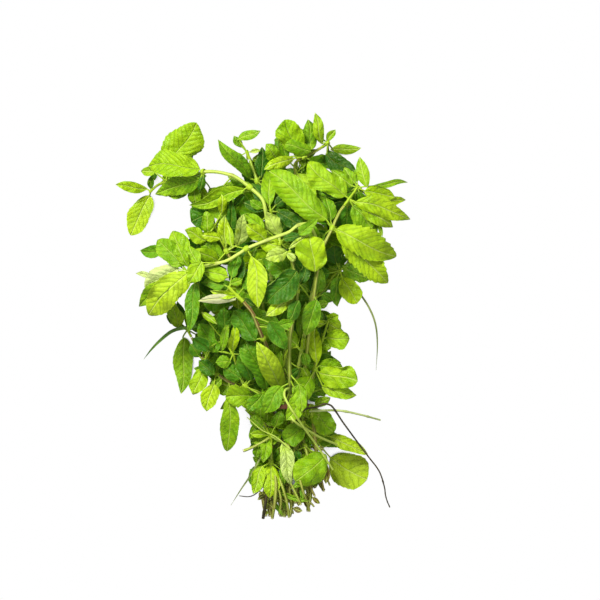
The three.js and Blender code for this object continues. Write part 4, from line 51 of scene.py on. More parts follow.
# number: radius, look, centre line of the whole stem
STEMS = {
    "01": (1.45, 1, [[11.9,-141.75,6.65],[12.52,-133.82,6.64],[13.15,-125.9,6.63],[13.75,-117.97,6.61],[14.31,-110.04,6.6],[14.88,-102.11,6.59],[15.29,-94.17,6.56],[15.43,-86.23,6.28],[15.34,-78.36,5.18],[15.07,-70.44,4.72],[14.66,-62.67,6.18],[14.16,-55.49,9.54],[13.6,-48.77,13.74],[13.0,-42.17,18.14],[12.37,-35.45,22.34],[11.71,-28.45,26.03],[11.0,-21.26,29.36],[10.26,-14.01,32.53],[9.5,-6.71,35.59],[8.76,0.61,38.59],[8.04,7.95,41.56],[7.37,15.3,44.51],[6.74,22.69,47.37],[6.15,30.11,50.16],[5.58,37.56,52.9],[5.02,45.01,55.61],[4.47,52.47,58.3],[3.98,59.98,60.87],[3.38,67.45,63.49],[2.41,74.71,66.55],[-0.02,82.07,65.51],[-8.4,89.95,61.1],[-17.48,96.66,60.5],[-24.88,99.35,59.5],[-32.56,100.76,58.08],[-40.6,100.8,56.69],[-43.17,100.13,50.91],[-45.78,99.26,43.45],[-48.36,98.37,35.98],[-51.27,97.45,28.65],[-55.74,96.47,22.23],[-61.44,95.66,19.67]], [[-8.4,89.95,61.1],[-40.6,100.8,56.69]]),
    "02": (1.45, 1, [[26.6,-131.25,10.62],[26.42,-123.3,10.63],[26.24,-115.34,10.64],[25.9,-107.39,10.61],[25.18,-99.47,10.53],[24.29,-91.57,10.4],[23.55,-83.66,10.07],[22.73,-75.89,8.57],[22.31,-67.99,8.45],[22.57,-60.6,11.25],[23.2,-54.07,15.75],[23.98,-47.94,20.76],[24.84,-41.89,25.85],[25.78,-35.72,30.78],[26.8,-29.18,35.2],[27.93,-22.36,39.14],[29.17,-15.41,42.8],[30.48,-8.36,46.24],[31.82,-1.22,49.48],[33.17,6.0,52.55],[34.68,13.37,55.14],[36.27,20.85,57.32],[37.72,28.38,59.45],[38.67,35.82,62.07],[39.01,42.98,65.51],[38.53,50.0,69.22],[36.51,57.23,71.66],[32.2,63.83,72.1],[25.37,63.1,73.55],[19.02,58.53,74.79],[11.61,55.71,75.48],[4.14,52.99,75.71],[-3.27,50.12,75.46],[-10.42,46.92,74.93],[-17.14,42.64,73.72],[-23.86,38.83,71.96],[-31.18,36.85,69.57],[-39.61,34.96,66.0]], [[-10.42,46.92,74.93]]),
    "03": (1.2, 5, [[31.5,-130.55,14.5],[30.91,-122.55,14.03],[30.34,-114.55,13.54],[29.83,-106.56,12.87],[29.38,-98.58,11.99],[28.94,-90.58,11.31],[28.4,-82.57,11.02],[27.62,-74.6,10.47],[27.24,-66.74,11.87],[27.5,-59.69,15.66],[28.05,-53.44,20.68],[28.72,-47.51,26.05],[29.44,-41.6,31.46],[30.2,-35.52,36.65],[30.97,-28.99,41.27],[31.75,-22.08,45.3],[32.58,-14.96,48.93],[33.45,-7.7,52.26],[34.36,-0.34,55.36],[35.33,7.06,58.33],[36.34,14.59,60.95],[37.38,22.21,63.3],[38.5,29.85,65.52],[39.77,37.46,67.78],[41.51,44.81,70.49],[44.31,51.97,72.7],[49.0,61.25,70.74],[50.93,66.05,69.12],[54.27,72.78,66.33],[57.13,76.69,64.44]], [[49.0,61.25,70.74]]),
    "04": (1.25, 0, [[5.6,-140.35,3.06],[6.06,-132.41,3.13],[6.52,-124.46,3.2],[6.91,-116.52,3.31],[7.22,-108.57,3.51],[7.47,-100.62,3.77],[7.65,-92.67,4.06],[7.7,-84.71,4.35],[7.68,-76.76,4.13],[7.38,-68.83,4.45],[6.81,-61.05,5.99],[6.04,-53.48,8.32],[5.2,-46.02,10.95],[4.34,-38.57,13.63],[3.53,-31.08,16.18],[2.8,-23.48,18.42],[2.16,-15.76,20.24],[1.55,-7.98,21.81],[0.99,-0.17,23.23],[0.5,7.65,24.62],[0.12,15.46,26.08],[-0.12,23.25,27.71],[-0.16,31.02,29.39],[-0.09,38.79,31.12],[0.02,46.55,32.88],[0.04,54.3,34.69],[-0.13,62.02,36.59],[-0.42,69.71,38.62],[-0.83,77.38,40.71],[-1.4,85.06,42.7],[-3.5,94.85,44.16],[-5.21,100.24,43.33],[-8.39,109.28,42.49]], [[-3.5,94.85,44.16]]),
    "05": (1.35, 5, [[32.9,-129.15,3.09],[32.22,-121.17,2.77],[31.51,-113.19,2.46],[30.44,-105.25,2.24],[28.83,-97.4,2.15],[27.15,-89.56,2.13],[25.76,-81.67,2.03],[24.43,-73.77,1.75],[23.83,-65.8,2.24],[23.93,-57.91,3.61],[24.38,-50.14,5.53],[24.99,-42.41,7.57],[25.66,-34.65,9.49],[26.33,-26.83,11.08],[26.98,-18.91,12.11],[27.76,-10.95,12.62],[28.57,-2.97,12.83],[29.31,5.01,12.96],[29.87,13.0,13.19],[30.15,20.99,13.71],[30.13,28.97,14.45],[29.93,36.94,15.29],[29.59,44.9,16.2],[29.16,52.85,17.14],[28.68,60.8,18.08],[28.1,68.74,18.99],[27.33,76.67,19.91],[26.4,84.56,20.95],[25.32,92.39,22.25],[23.8,100.08,23.94],[23.33,107.5,26.69],[29.42,111.88,31.21],[34.35,114.3,27.96],[41.58,118.77,25.33]], [[29.42,111.88,31.21]]),
    "06": (1.5, 3, [[4.2,-141.05,14.06],[4.62,-133.01,14.19],[5.04,-124.97,14.33],[5.47,-116.93,14.49],[5.93,-108.89,14.71],[6.43,-100.86,14.99],[6.87,-92.83,15.25],[7.19,-84.79,15.05],[7.43,-76.8,14.12],[7.61,-68.76,14.07],[7.74,-61.24,16.72],[7.89,-55.11,21.92],[7.98,-49.76,27.93],[7.92,-44.54,34.06],[7.47,-38.77,39.64],[6.42,-32.45,44.51],[4.92,-26.11,49.25],[3.28,-20.55,54.81],[0.85,-14.94,62.58],[-0.99,-10.44,66.39],[-3.78,-3.41,69.12],[-6.84,3.41,72.1],[-12.32,10.1,73.24]], [[0.85,-14.94,62.58]]),
    "07": (1.1, 4, [[8.4,-139.65,6.81],[7.93,-131.53,6.9],[7.44,-123.42,7.0],[6.74,-115.32,7.15],[5.81,-107.25,7.34],[4.82,-99.18,7.56],[3.98,-91.1,7.8],[3.31,-83.01,8.08],[2.68,-74.91,8.38],[1.98,-66.81,8.64],[0.38,-59.44,9.34],[-4.08,-55.64,14.95],[-9.33,-52.42,20.22],[-16.47,-49.31,22.25],[-23.84,-46.13,23.31],[-32.24,-40.1,27.16],[-36.17,-36.75,27.54],[-40.6,-31.85,26.72],[-45.06,-23.65,24.58],[-49.62,-14.85,24.65]], [[-40.6,-31.85,26.72],[-32.24,-40.1,27.16]]),
    "08": (1.3, 0, [[17.85,-141.05,6.92],[18.18,-133.09,6.89],[18.51,-125.13,6.86],[18.81,-117.16,6.82],[19.06,-109.2,6.75],[19.29,-101.24,6.65],[19.48,-93.27,6.56],[19.62,-85.3,6.48],[19.82,-77.45,5.2],[19.85,-69.54,4.81],[19.52,-62.01,7.29],[19.0,-55.17,11.34],[18.41,-48.67,15.91],[17.8,-42.3,20.65],[17.19,-35.94,25.41],[16.6,-29.47,30.03],[16.05,-22.75,34.27],[15.55,-15.75,38.05],[15.09,-8.6,41.52],[14.66,-1.32,44.75],[14.27,6.03,47.8],[13.92,13.41,50.76],[13.66,20.91,53.46],[13.49,28.52,55.81],[13.3,36.19,57.95],[13.18,43.87,60.09],[12.6,51.45,61.15],[10.26,58.98,59.01],[7.48,67.76,58.88]], [[12.6,51.45,61.15]]),
    "09": (1.3, 3, [[0.7,-141.75,3.2],[1.33,-133.82,3.18],[1.97,-125.89,3.17],[2.57,-117.96,3.16],[3.08,-110.02,3.15],[3.57,-102.08,3.13],[3.97,-94.14,3.11],[4.2,-86.18,3.09],[4.33,-78.28,2.29],[4.16,-70.37,1.68],[3.41,-62.67,3.4],[2.33,-55.72,7.09],[1.1,-49.22,11.51],[-0.21,-42.79,16.0],[-1.61,-36.18,20.19],[-3.06,-29.18,23.67],[-4.56,-21.87,26.43],[-6.1,-14.44,28.82],[-7.68,-6.96,30.99],[-9.32,0.55,33.07],[-11.04,8.02,35.17],[-12.91,15.4,37.48],[-15.0,22.68,39.92],[-17.35,29.88,42.35],[-20.01,37.09,44.39],[-24.71,45.59,44.79],[-27.13,50.94,43.21],[-30.73,59.07,43.41]], [[-24.71,45.59,44.79]]),
    "10": (1.35, 6, [[24.5,-131.95,14.78],[24.27,-124.16,16.5],[24.02,-116.36,18.15],[23.68,-108.47,19.24],[23.28,-100.51,19.7],[22.82,-92.55,19.98],[22.26,-84.61,20.42],[21.52,-76.67,20.03],[20.74,-68.77,20.44],[20.21,-61.89,24.22],[19.95,-57.33,30.73],[19.8,-53.63,37.8],[19.69,-49.79,44.79],[19.61,-44.79,50.97],[19.45,-37.93,54.96],[19.29,-30.29,57.23],[19.31,-22.48,58.87],[19.75,-14.81,61.0],[20.84,-7.38,63.69],[22.28,-0.0,66.36],[23.72,7.53,68.54],[24.5,17.85,66.02],[22.79,30.41,63.6],[20.89,39.26,66.63]], [[24.5,17.85,66.02]]),
    "11": (1.1, 0, [[35.0,-129.15,6.93],[34.26,-121.13,6.58],[33.5,-113.12,6.22],[32.61,-105.12,5.85],[31.47,-97.15,5.44],[30.39,-89.17,5.08],[29.58,-81.17,4.6],[28.93,-73.17,3.91],[28.69,-65.14,4.36],[28.9,-57.31,6.22],[29.37,-49.68,8.77],[29.93,-42.15,11.59],[30.5,-34.65,14.49],[31.02,-27.12,17.31],[31.54,-19.65,20.29],[32.04,-12.18,23.28],[32.29,-4.57,25.9],[32.28,3.14,28.23],[34.78,7.66,28.51]], []),
    "12": (1.25, 5, [[38.5,-121.45,10.56],[36.91,-113.7,10.06],[35.37,-105.93,9.57],[33.93,-98.15,9.04],[32.66,-90.34,8.55],[31.81,-82.47,8.17],[31.19,-74.6,7.4],[30.82,-66.71,7.71],[30.97,-60.03,11.65],[31.56,-55.79,18.3],[32.43,-51.97,25.19],[33.85,-46.63,30.84],[37.1,-36.75,36.45],[39.94,-25.4,35.31],[40.87,-21.89,37.0]], [[37.1,-36.75,36.45]]),
    "13": (1.3, 2, [[20.3,-134.05,13.67],[20.04,-126.14,12.84],[19.76,-118.22,12.13],[19.42,-110.28,11.86],[19.06,-102.33,11.84],[18.67,-94.38,11.94],[18.2,-86.44,12.12],[17.54,-78.51,12.04],[16.75,-70.59,12.03],[16.06,-62.84,13.53],[15.71,-56.34,18.01],[15.51,-50.7,23.62],[15.16,-44.24,28.23],[14.88,-39.19,30.98]], []),
    "14": (1.25, 0, [[14.7,-141.75,10.84],[14.24,-133.62,10.81],[13.78,-125.49,10.78],[13.26,-117.36,10.78],[12.78,-109.23,10.81],[12.26,-101.1,10.85],[11.56,-92.98,10.91],[10.54,-84.91,10.74],[9.37,-76.89,9.96],[7.86,-68.9,9.81],[5.67,-61.8,12.74],[3.28,-58.0,19.47],[0.81,-55.74,26.89],[-2.47,-53.27,33.87],[-11.9,-48.65,37.92],[-16.92,-37.11,37.02],[-18.59,-31.73,39.77]], [[-11.9,-48.65,37.92]]),
    "15": (1.2, 5, [[18.9,-141.05,18.65],[19.32,-133.25,17.71],[19.73,-125.44,16.77],[20.33,-117.63,16.04],[21.33,-109.84,15.63],[22.49,-102.05,15.48],[23.35,-94.23,15.64],[23.91,-86.43,16.44],[23.71,-78.59,16.75],[22.2,-71.22,14.52],[19.83,-64.29,15.34],[18.05,-61.28,21.65]], []),
    "16": (1.2, 6, [[33.6,-137.55,18.46],[33.39,-129.41,18.92],[33.17,-121.26,19.39],[32.83,-113.13,19.97],[32.41,-105.07,21.2],[31.51,-97.01,21.55],[30.01,-91.57,19.51],[27.29,-82.79,15.02],[28.76,-75.26,17.41],[26.43,-67.8,19.09],[23.89,-61.89,23.74],[22.06,-57.92,32.8]], [[28.76,-75.26,17.41],[30.01,-91.57,19.51]]),
    "17": (1.15, 0, [[2.1,-139.65,18.38],[2.53,-131.36,18.49],[3.55,-123.12,18.56],[4.84,-114.92,18.87],[6.28,-102.59,21.71],[6.26,-90.61,22.84]], [[6.28,-102.59,21.71]]),
    "18": (1.2, 2, [[42.7,-122.85,15.85],[40.26,-115.23,15.85],[38.66,-107.4,16.03],[37.98,-99.44,16.45],[37.55,-91.55,17.68],[37.19,-83.86,19.83],[35.94,-75.47,24.58]], []),
}
SHOOTS = {
    "01": (1.45, 1, [[-61.89,95.6,19.47],[-67.2,94.85,17.08],[-73.76,92.98,8.42],[-79.99,87.81,4.22]], [[-67.2,94.85,17.08],[-79.1,88.55,4.82]]),
    "02": (1.45, 1, [[-40.04,34.86,65.77],[-44.72,33.82,63.27],[-52.87,30.75,58.61]], [[-44.72,33.82,63.27],[-51.8,31.15,59.22]]),
    "03": (1.2, 5, [[57.4,77.07,64.26],[60.74,81.63,62.05],[67.28,90.88,56.65]], [[60.74,81.63,62.05],[66.6,89.92,57.21]]),
    "04": (1.25, 0, [[-8.56,109.75,42.52],[-10.94,116.37,42.95]], [[-10.5,115.15,42.87]]),
    "05": (1.35, 5, [[41.95,119.01,25.56],[47.16,122.43,28.86]], [[46.2,121.8,28.25]]),
    "06": (1.5, 3, [[-12.68,10.44,73.16],[-16.8,14.35,72.17],[-23.21,20.76,67.32]], [[-16.8,14.35,72.17],[-22.4,19.95,67.93]]),
    "07": (1.1, 4, [[-49.85,-14.42,24.75],[-53.1,-8.33,26.16]], [[-52.5,-9.45,25.9]]),
    "08": (1.3, 0, [[7.38,68.19,59.11],[6.05,74.27,62.42]], [[6.3,73.15,61.81]]),
    "09": (1.3, 3, [[-30.9,59.41,43.73],[-33.35,64.24,48.24]], [[-32.9,63.35,47.41]]),
    "10": (1.35, 6, [[20.79,39.67,66.89],[19.33,45.53,70.53]], [[19.6,44.45,69.86]]),
    "11": (1.1, 0, [[35.02,8.1,28.54],[37.9,13.31,28.86],[45.57,21.1,25.72],[49.43,28.0,27.14],[55.69,32.89,30.31]], [[54.74,32.15,29.83],[37.9,13.31,28.86]]),
    "12": (1.25, 5, [[40.98,-21.45,37.22],[42.32,-16.39,39.66],[43.88,-11.15,39.63],[46.58,-2.65,37.26]], [[42.32,-16.39,39.66],[46.2,-3.85,37.59]]),
    "13": (1.3, 2, [[14.85,-38.75,31.22],[14.58,-33.85,33.89],[18.07,-23.59,38.5],[25.57,-20.98,43.02]], [[24.5,-21.35,42.38],[14.58,-33.85,33.89]]),
    "14": (1.25, 0, [[-18.73,-31.3,39.99],[-20.3,-26.25,42.58],[-27.3,-15.36,42.49]], [[-20.3,-26.25,42.58],[-26.6,-16.45,42.5]]),
    "15": (1.2, 5, [[17.93,-61.08,22.08],[16.34,-58.87,28.59]], [[16.63,-59.28,27.39]]),
    "16": (1.2, 6, [[21.98,-57.73,33.26],[20.78,-55.18,39.72]], [[21.0,-55.65,38.53]]),
    "17": (1.15, 0, [[6.22,-90.11,22.87],[5.6,-84.35,23.17],[0.08,-74.11,22.88]], [[5.6,-84.35,23.17],[0.7,-75.25,22.91]]),
    "18": (1.2, 2, [[35.86,-75.06,24.86],[34.8,-69.29,28.76]], [[35.0,-70.35,28.04]]),
}
# stem: (tint, low radius, far radius, cut end first, centre line)
SIDE = {
    "02": [(1, 0.95, 0.8, 0, [[19.25,-49.82,45.5],[16.1,-51.57,50.5],[15.75,-55.42,54.0],[18.2,-60.67,56.2],[22.4,-67.32,56.6],[29.4,-77.82,47.5],[37.8,-89.72,35],[44.8,-100.22,28.6],[49.7,-107.92,24]]), (1, 0.85, 0.9, 0, [[18.9,-68.02,50.0],[21.7,-71.87,55.2],[25.2,-75.02,52.0],[29.4,-77.82,45.6],[40.6,-84.82,32],[52.5,-90.42,19]]), (1, 0.35, 0.6, 0, [[-10.5,-70.82,32.0],[0.0,-79.92,30.4],[9.8,-84.82,28],[19.6,-93.22,27.2]]), (1, 1.1, 0.8, 1, [[-13.3,-94.62,25.5],[-6.3,-91.82,27],[1.4,-87.62,27.4],[4.9,-85.52,25.5]])],
    "10": [(5, 0.95, 0.85, 1, [[33.25,-137.32,22],[31.5,-130.32,26.5],[28.7,-122.62,31.5],[26.6,-114.92,31]]), (0, 0.8, 0.75, 1, [[27.3,-132.42,30.5],[24.5,-126.12,32],[20.3,-117.72,31.2]]), (3, 0.8, 0.7, 1, [[37.1,-126.82,21.5],[34.3,-120.52,23.5],[30.8,-113.52,22]])],
    "17": [(5, 1.1, 1.0, 1, [[7.0,-142.22,24],[8.75,-132.42,29.5],[9.8,-119.12,30.2],[9.1,-112.12,27]]), (0, 1.0, 0.9, 1, [[18.9,-141.52,22],[17.5,-131.02,27.6],[14.7,-121.22,29],[11.9,-113.52,26]]), (5, 0.9, 0.8, 1, [[11.9,-139.42,23],[13.3,-130.32,27.5],[11.9,-121.92,29.2]]), (9, 1.2, 0.9, 1, [[0.56,-142.43,19],[2.1,-133.12,23],[3.5,-123.32,24],[4.2,-116.32,20]])],
    "09": [(9, 0.3, 0.5, 0, [[-16.45,-127.17,4.5],[-9.8,-127.73,5.5],[-4.9,-125.77,8],[-0.7,-121.57,12]])],
    "18": [(3, 0.8, 0.7, 1, [[43.4,-123.32,17.5],[42.0,-116.32,20.5],[38.5,-107.92,20]]), (5, 0.7, 0.6, 1, [[47.6,-119.12,18],[44.8,-112.12,22.6],[41.3,-105.12,22]])],
}
# piece: [outline, flat, node x y z, base x y z, tip x y z, width, arch, slope, lift, tone, underside up]
LEAVES = {
    "sprig_01_side_a": [
        [1,0,-8.4,89.95,61.1,-11.9,88.55,61.38,-50.4,77.7,52.42,11.9,-1.77,-0.427,-0.28,3.0,0,1],
        [1,0,-8.4,89.95,61.1,-11.2,92.05,60.11,-23.8,97.65,49.49,5.6,-3.59,0.306,-2.46,1.6,0,1],
        [0,0,-8.4,89.95,61.1,-11.98,85.17,56.93,-20.16,77.01,47.11,5.07,0.15,0.13,0.34,1.1,0,0],
    ],
    "sprig_01_side_b": [
        [0,0,-40.6,100.8,56.69,-43.05,102.55,57.05,-79.45,105.0,40.71,23.5,3.96,0.203,-1.87,3.35,0,1],
        [0,0,-40.6,100.8,56.69,-42.7,95.55,55.84,-74.9,85.75,34.65,13.3,0.23,-0.399,0.73,2.6,0,1],
        [0,0,-40.6,100.8,56.69,-40.6,97.65,56.58,-43.75,87.15,53.25,5.6,0.76,-0.18,-0.48,1.2,0,1],
    ],
    "sprig_01_top": [
        [0,0,-67.2,94.85,17.08,-67.9,101.85,17.51,-45.85,135.8,33.39,26.6,4.0,0.001,-2.5,3.25,0,1],
        [0,0,-67.2,94.85,17.08,-75.6,101.85,18.4,-85.75,102.55,13.89,7.0,0.3,0.072,-0.03,3.0,0,1],
        [1,0,-79.1,88.55,4.82,-81.55,90.3,5.0,-103.6,93.1,12.77,8.4,1.11,0.029,-0.37,3.6,0,1],
        [0,1,-79.1,88.55,4.82,-79.8,85.75,0.0,-93.45,57.4,0.0,16.8,0.0,0.0,0.0,3.8,0,1],
        [1,0,-79.1,88.55,4.82,-78.75,89.95,5.17,-79.1,99.05,9.15,4.9,1.79,-0.23,1.46,1.8,0,1],
        [3,0,-67.2,94.85,17.08,-61.44,95.3,13.84,-39.4,99.21,12.04,11.04,0.82,-0.419,0.9,0.78,0,0],
        [3,0,-79.1,88.55,4.82,-76.66,96.4,1.6,-76.47,107.03,1.0,4.76,0.76,0.104,0.13,1.14,0,0],
        [3,0,-67.2,94.85,17.08,-66.28,100.88,12.3,-64.25,110.97,7.77,4.33,0.05,0.269,-0.25,1.55,0,0],
        [0,0,-67.2,94.85,17.08,-64.18,94.01,15.73,-47.19,90.69,21.29,10.46,0.6,-0.315,-0.16,1.09,0,0],
        [0,0,-67.2,94.85,17.08,-66.87,103.01,14.93,-48.73,121.09,17.84,15.04,0.0,0.22,0.93,1.91,0,0],
        [0,0,-79.1,88.55,4.82,-70.64,96.19,1.4,-54.25,110.33,0.9,11.62,2.02,-0.042,0.63,2.76,0,0],
    ],
    "sprig_02_side_a": [
        [1,0,-10.42,46.92,74.93,-7.0,41.65,75.07,-2.1,5.95,74.03,14.7,3.0,0.466,-2.0,3.9,0,1],
        [1,0,-10.42,46.92,74.93,-20.3,48.3,74.65,-23.8,63.35,72.71,6.3,1.17,-0.079,-0.16,3.4,0,1],
        [0,0,-10.42,46.92,74.93,-7.49,40.69,70.53,-3.26,29.36,64.67,6.07,0.62,-0.217,0.02,1.11,0,0],
    ],
    "sprig_02_top": [
        [2,0,-44.72,33.82,63.27,-39.9,31.15,63.21,-23.45,28.0,69.63,11.2,0.65,-0.032,-0.11,3.1,0,1],
        [0,0,-44.72,33.82,63.27,-44.1,36.05,63.08,-50.4,49.35,58.48,9.1,0.24,-0.061,-0.74,2.9,0,1],
        [0,0,-51.8,31.15,59.22,-51.1,30.45,59.49,-79.1,1.05,43.87,22.4,6.81,-0.013,-1.77,4.0,0,1],
        [0,0,-51.8,31.15,59.22,-64.4,24.85,58.63,-86.1,7.0,39.92,13.3,1.61,0.026,-0.09,2.9,0,1],
        [0,0,-51.8,31.15,59.22,-58.1,33.95,58.69,-81.9,20.65,47.43,18.2,0.5,-0.029,-0.08,4.8,1,1],
        [0,0,-51.8,31.15,59.22,-54.6,35.35,59.36,-72.8,53.55,49.53,16.1,2.9,-0.018,2.32,2.5,0,1],
        [0,0,-51.8,31.15,59.22,-50.4,36.75,58.08,-62.3,59.85,47.75,15.4,-0.7,-0.063,-1.01,3.2,0,1],
        [1,0,-51.8,31.15,59.22,-50.4,34.65,60.25,-59.5,51.45,60.07,8.4,2.1,-0.186,0.72,3.2,0,1],
        [0,0,-51.8,31.15,59.22,-69.3,45.15,52.77,-85.05,46.2,43.2,10.5,0.23,0.087,0.23,2.0,0,1],
        [1,0,-51.8,31.15,59.22,-76.3,28.0,49.62,-88.2,30.1,43.05,4.2,0.54,-0.185,0.0,4.6,0,1],
        [0,0,-44.72,33.82,63.27,-41.14,28.47,59.12,-28.82,8.72,47.62,13.79,1.13,-0.497,0.67,0.63,0,0],
        [0,0,-51.8,31.15,59.22,-44.66,30.38,53.64,-24.94,33.44,37.01,11.9,1.06,0.254,0.81,1.42,0,0],
        [0,0,-51.8,31.15,59.22,-47.24,30.09,57.92,-25.94,17.06,42.94,11.91,0.9,0.065,-0.86,1.65,0,0],
        [0,0,-44.72,33.82,63.27,-46.3,23.42,63.56,-51.11,-10.76,62.51,10.31,0.18,-0.001,0.48,1.9,0,1],
    ],
    "sprig_03_side_a": [
        [0,0,49.0,61.25,70.74,45.5,67.2,70.9,5.25,101.15,68.93,21.7,3.49,-0.072,-2.59,2.95,0,1],
        [3,0,49.0,61.25,70.74,51.8,60.55,71.01,93.8,42.0,57.98,23.1,4.31,0.078,-1.24,3.7,0,1],
        [3,0,49.0,61.25,70.74,56.0,54.25,68.79,87.85,23.45,53.97,18.9,2.55,0.015,0.11,3.4,0,1],
        [0,0,49.0,61.25,70.74,45.93,58.22,67.83,20.86,43.13,43.11,15.61,-0.35,-0.392,0.73,0.94,0,0],
        [3,0,49.0,61.25,70.74,45.46,64.82,67.79,24.91,82.2,45.27,14.86,0.66,0.537,-0.05,1.28,0,0],
        [0,0,49.0,61.25,70.74,43.92,56.94,68.49,28.03,47.81,52.97,10.83,1.24,-0.294,-0.31,2.08,0,0],
        [3,0,49.0,61.25,70.74,47.76,66.46,66.66,44.19,83.22,61.76,10.31,0.43,0.426,-0.21,2.19,0,0],
    ],
    "sprig_03_top": [
        [0,0,60.74,81.63,62.05,58.45,83.65,62.54,32.2,107.45,63.17,18.9,3.0,0.145,-2.5,3.05,0,1],
        [0,0,60.74,81.63,62.05,65.1,79.45,64.01,103.6,67.9,50.06,13.3,4.85,0.01,0.89,3.8,0,1],
        [0,0,60.74,81.63,62.05,63.0,76.65,61.83,77.0,61.25,55.91,18.9,1.07,0.027,-1.3,2.6,0,1],
        [0,0,60.74,81.63,62.05,70.0,74.55,63.42,91.35,62.3,53.67,11.9,1.22,-0.017,0.15,3.4,0,1],
        [1,0,60.74,81.63,62.05,77.7,68.25,51.34,79.1,53.9,52.28,4.2,1.11,-0.133,-0.11,2.8,0,1],
        [1,0,60.74,81.63,62.05,81.9,66.85,54.77,84.0,55.65,54.1,3.15,0.49,0.084,0.0,2.8,0,1],
        [3,0,66.6,89.92,57.21,63.0,90.65,57.31,48.3,101.85,58.93,9.1,1.19,0.06,0.58,3.0,0,1],
        [3,0,66.6,89.92,57.21,65.1,92.75,57.31,57.4,103.95,55.8,7.7,0.57,-0.001,-0.62,2.8,0,1],
        [3,0,66.6,89.92,57.21,66.5,94.15,57.02,66.5,103.25,52.44,7.0,0.25,-0.137,-0.54,3.0,0,1],
        [1,0,66.6,89.92,57.21,73.5,89.95,58.27,68.25,111.3,53.86,9.1,2.28,-0.144,-0.13,3.2,0,1],
        [1,0,66.6,89.92,57.21,78.4,91.35,55.32,101.85,93.8,43.29,4.9,1.75,-0.045,-0.25,2.9,0,1],
        [0,0,66.6,89.92,57.21,71.4,87.15,57.49,92.75,83.3,50.11,13.3,1.74,-0.086,0.57,3.6,0,1],
        [0,0,66.6,89.92,57.21,82.6,80.85,54.33,100.45,81.55,44.43,7.0,0.29,-0.018,0.19,3.5,0,1],
        [0,0,66.6,89.92,57.21,67.71,86.7,57.72,70.86,66.89,45.12,10.75,0.14,-0.076,-0.68,1.95,0,0],
        [3,0,66.6,89.92,57.21,58.39,86.4,52.89,38.76,68.11,45.37,15.31,1.79,-0.357,-0.4,1.22,0,0],
        [3,0,60.74,81.63,62.05,57.68,84.05,59.6,35.63,100.76,44.07,14.87,1.05,0.439,-0.51,1.4,0,0],
        [3,0,66.6,89.92,57.21,72.84,84.17,50.63,90.35,74.79,44.84,9.83,1.07,0.303,0.27,1.24,0,0],
        [0,0,60.74,81.63,62.05,57.99,79.45,59.47,46.12,60.82,43.52,13.09,0.54,-0.548,0.57,0.67,0,0],
        [0,0,60.74,81.63,62.05,59.29,76.35,60.39,56.17,52.36,45.07,14.21,0.02,0.038,0.39,1.1,0,0],
        [0,0,66.6,89.92,57.21,65.2,85.71,54.24,64.69,76.26,47.44,4.12,0.4,-0.23,0.15,1.96,0,0],
    ],
    "sprig_04_side_a": [
        [1,0,-3.5,94.85,44.16,-7.7,95.55,45.4,-30.45,123.2,60.3,11.2,5.76,0.684,0.54,2.3,0,1],
        [0,0,-3.5,94.85,44.16,-0.7,97.65,44.6,0.0,118.65,41.79,9.8,-0.44,0.467,0.84,0.6,0,1],
        [0,0,-3.5,94.85,44.16,-2.7,90.83,40.88,-8.89,59.05,28.74,17.01,-0.28,-0.474,-0.22,2.15,0,0],
        [3,0,-3.5,94.85,44.16,2.01,95.21,42.93,25.32,94.82,35.3,12.98,1.81,-0.465,0.67,0.6,0,0],
        [3,0,-3.5,94.85,44.16,0.78,90.94,46.02,20.96,70.99,55.08,12.82,2.87,0.361,0.38,1.79,0,0],
        [0,0,-3.5,94.85,44.16,-0.07,98.82,40.41,17.94,110.21,22.37,12.99,0.62,0.235,1.0,2.39,0,0],
    ],
    "sprig_04_top": [
        [1,0,-10.5,115.15,42.87,-14.0,118.3,42.39,-19.6,126.35,44.51,5.6,-0.2,0.196,-0.44,2.4,0,1],
        [1,0,-10.5,115.15,42.87,-17.15,123.55,44.9,-1.05,129.5,52.26,7.0,0.53,-0.163,0.15,2.8,0,1],
        [1,0,-10.5,115.15,42.87,-8.4,115.15,42.84,-1.05,116.2,45.4,3.5,0.98,-0.041,0.39,4.6,0,1],
        [3,0,-10.5,115.15,42.87,-6.97,108.22,37.1,4.53,92.36,24.19,11.54,-0.34,0.148,-0.66,1.48,0,0],
        [3,0,-10.5,115.15,42.87,-10.62,107.97,38.73,-2.65,84.42,22.85,13.71,1.4,0.436,-0.38,1.26,0,0],
        [3,0,-10.5,115.15,42.87,-13.64,112.93,42.37,-22.93,111.2,42.18,5.69,0.02,0.012,-0.18,2.51,0,0],
    ],
    "sprig_05_side_a": [
        [0,0,29.42,111.88,31.21,25.9,114.45,30.93,15.75,137.9,36.85,21.7,1.95,0.071,1.52,3.2,0,1],
        [0,0,29.42,111.88,31.21,34.3,115.85,32.98,12.6,120.75,37.94,11.2,2.28,-0.055,-1.42,2.4,0,1],
        [0,0,29.42,111.88,31.21,35.0,117.25,31.85,32.2,138.25,33.59,11.9,-0.95,0.156,-2.0,2.2,0,1],
        [1,0,29.42,111.88,31.21,22.4,110.95,34.12,1.4,102.55,50.64,9.1,4.19,0.09,1.21,3.9,0,1],
        [0,0,29.42,111.88,31.21,13.3,108.85,35.96,2.8,120.75,43.97,10.5,2.71,0.079,0.58,2.8,0,1],
        [0,0,29.42,111.88,31.21,33.07,110.3,31.27,57.45,107.5,12.14,11.38,1.18,0.044,0.69,2.05,0,0],
        [0,0,29.42,111.88,31.21,36.2,110.11,25.89,51.96,107.11,13.33,8.4,0.15,0.074,-0.24,1.29,0,0],
        [0,0,29.42,111.88,31.21,28.64,115.37,28.62,25.19,130.6,24.66,8.15,1.45,0.032,-0.59,0.57,0,0],
        [2,0,29.42,111.88,31.21,21.12,121.74,22.31,8.47,124.36,21.94,8.72,0.57,-0.005,0.19,1.72,0,0],
    ],
    "sprig_05_top": [
        [1,0,46.2,121.8,28.25,42.35,121.1,28.91,37.1,142.8,36.06,8.05,2.65,0.153,-0.14,3.3,0,1],
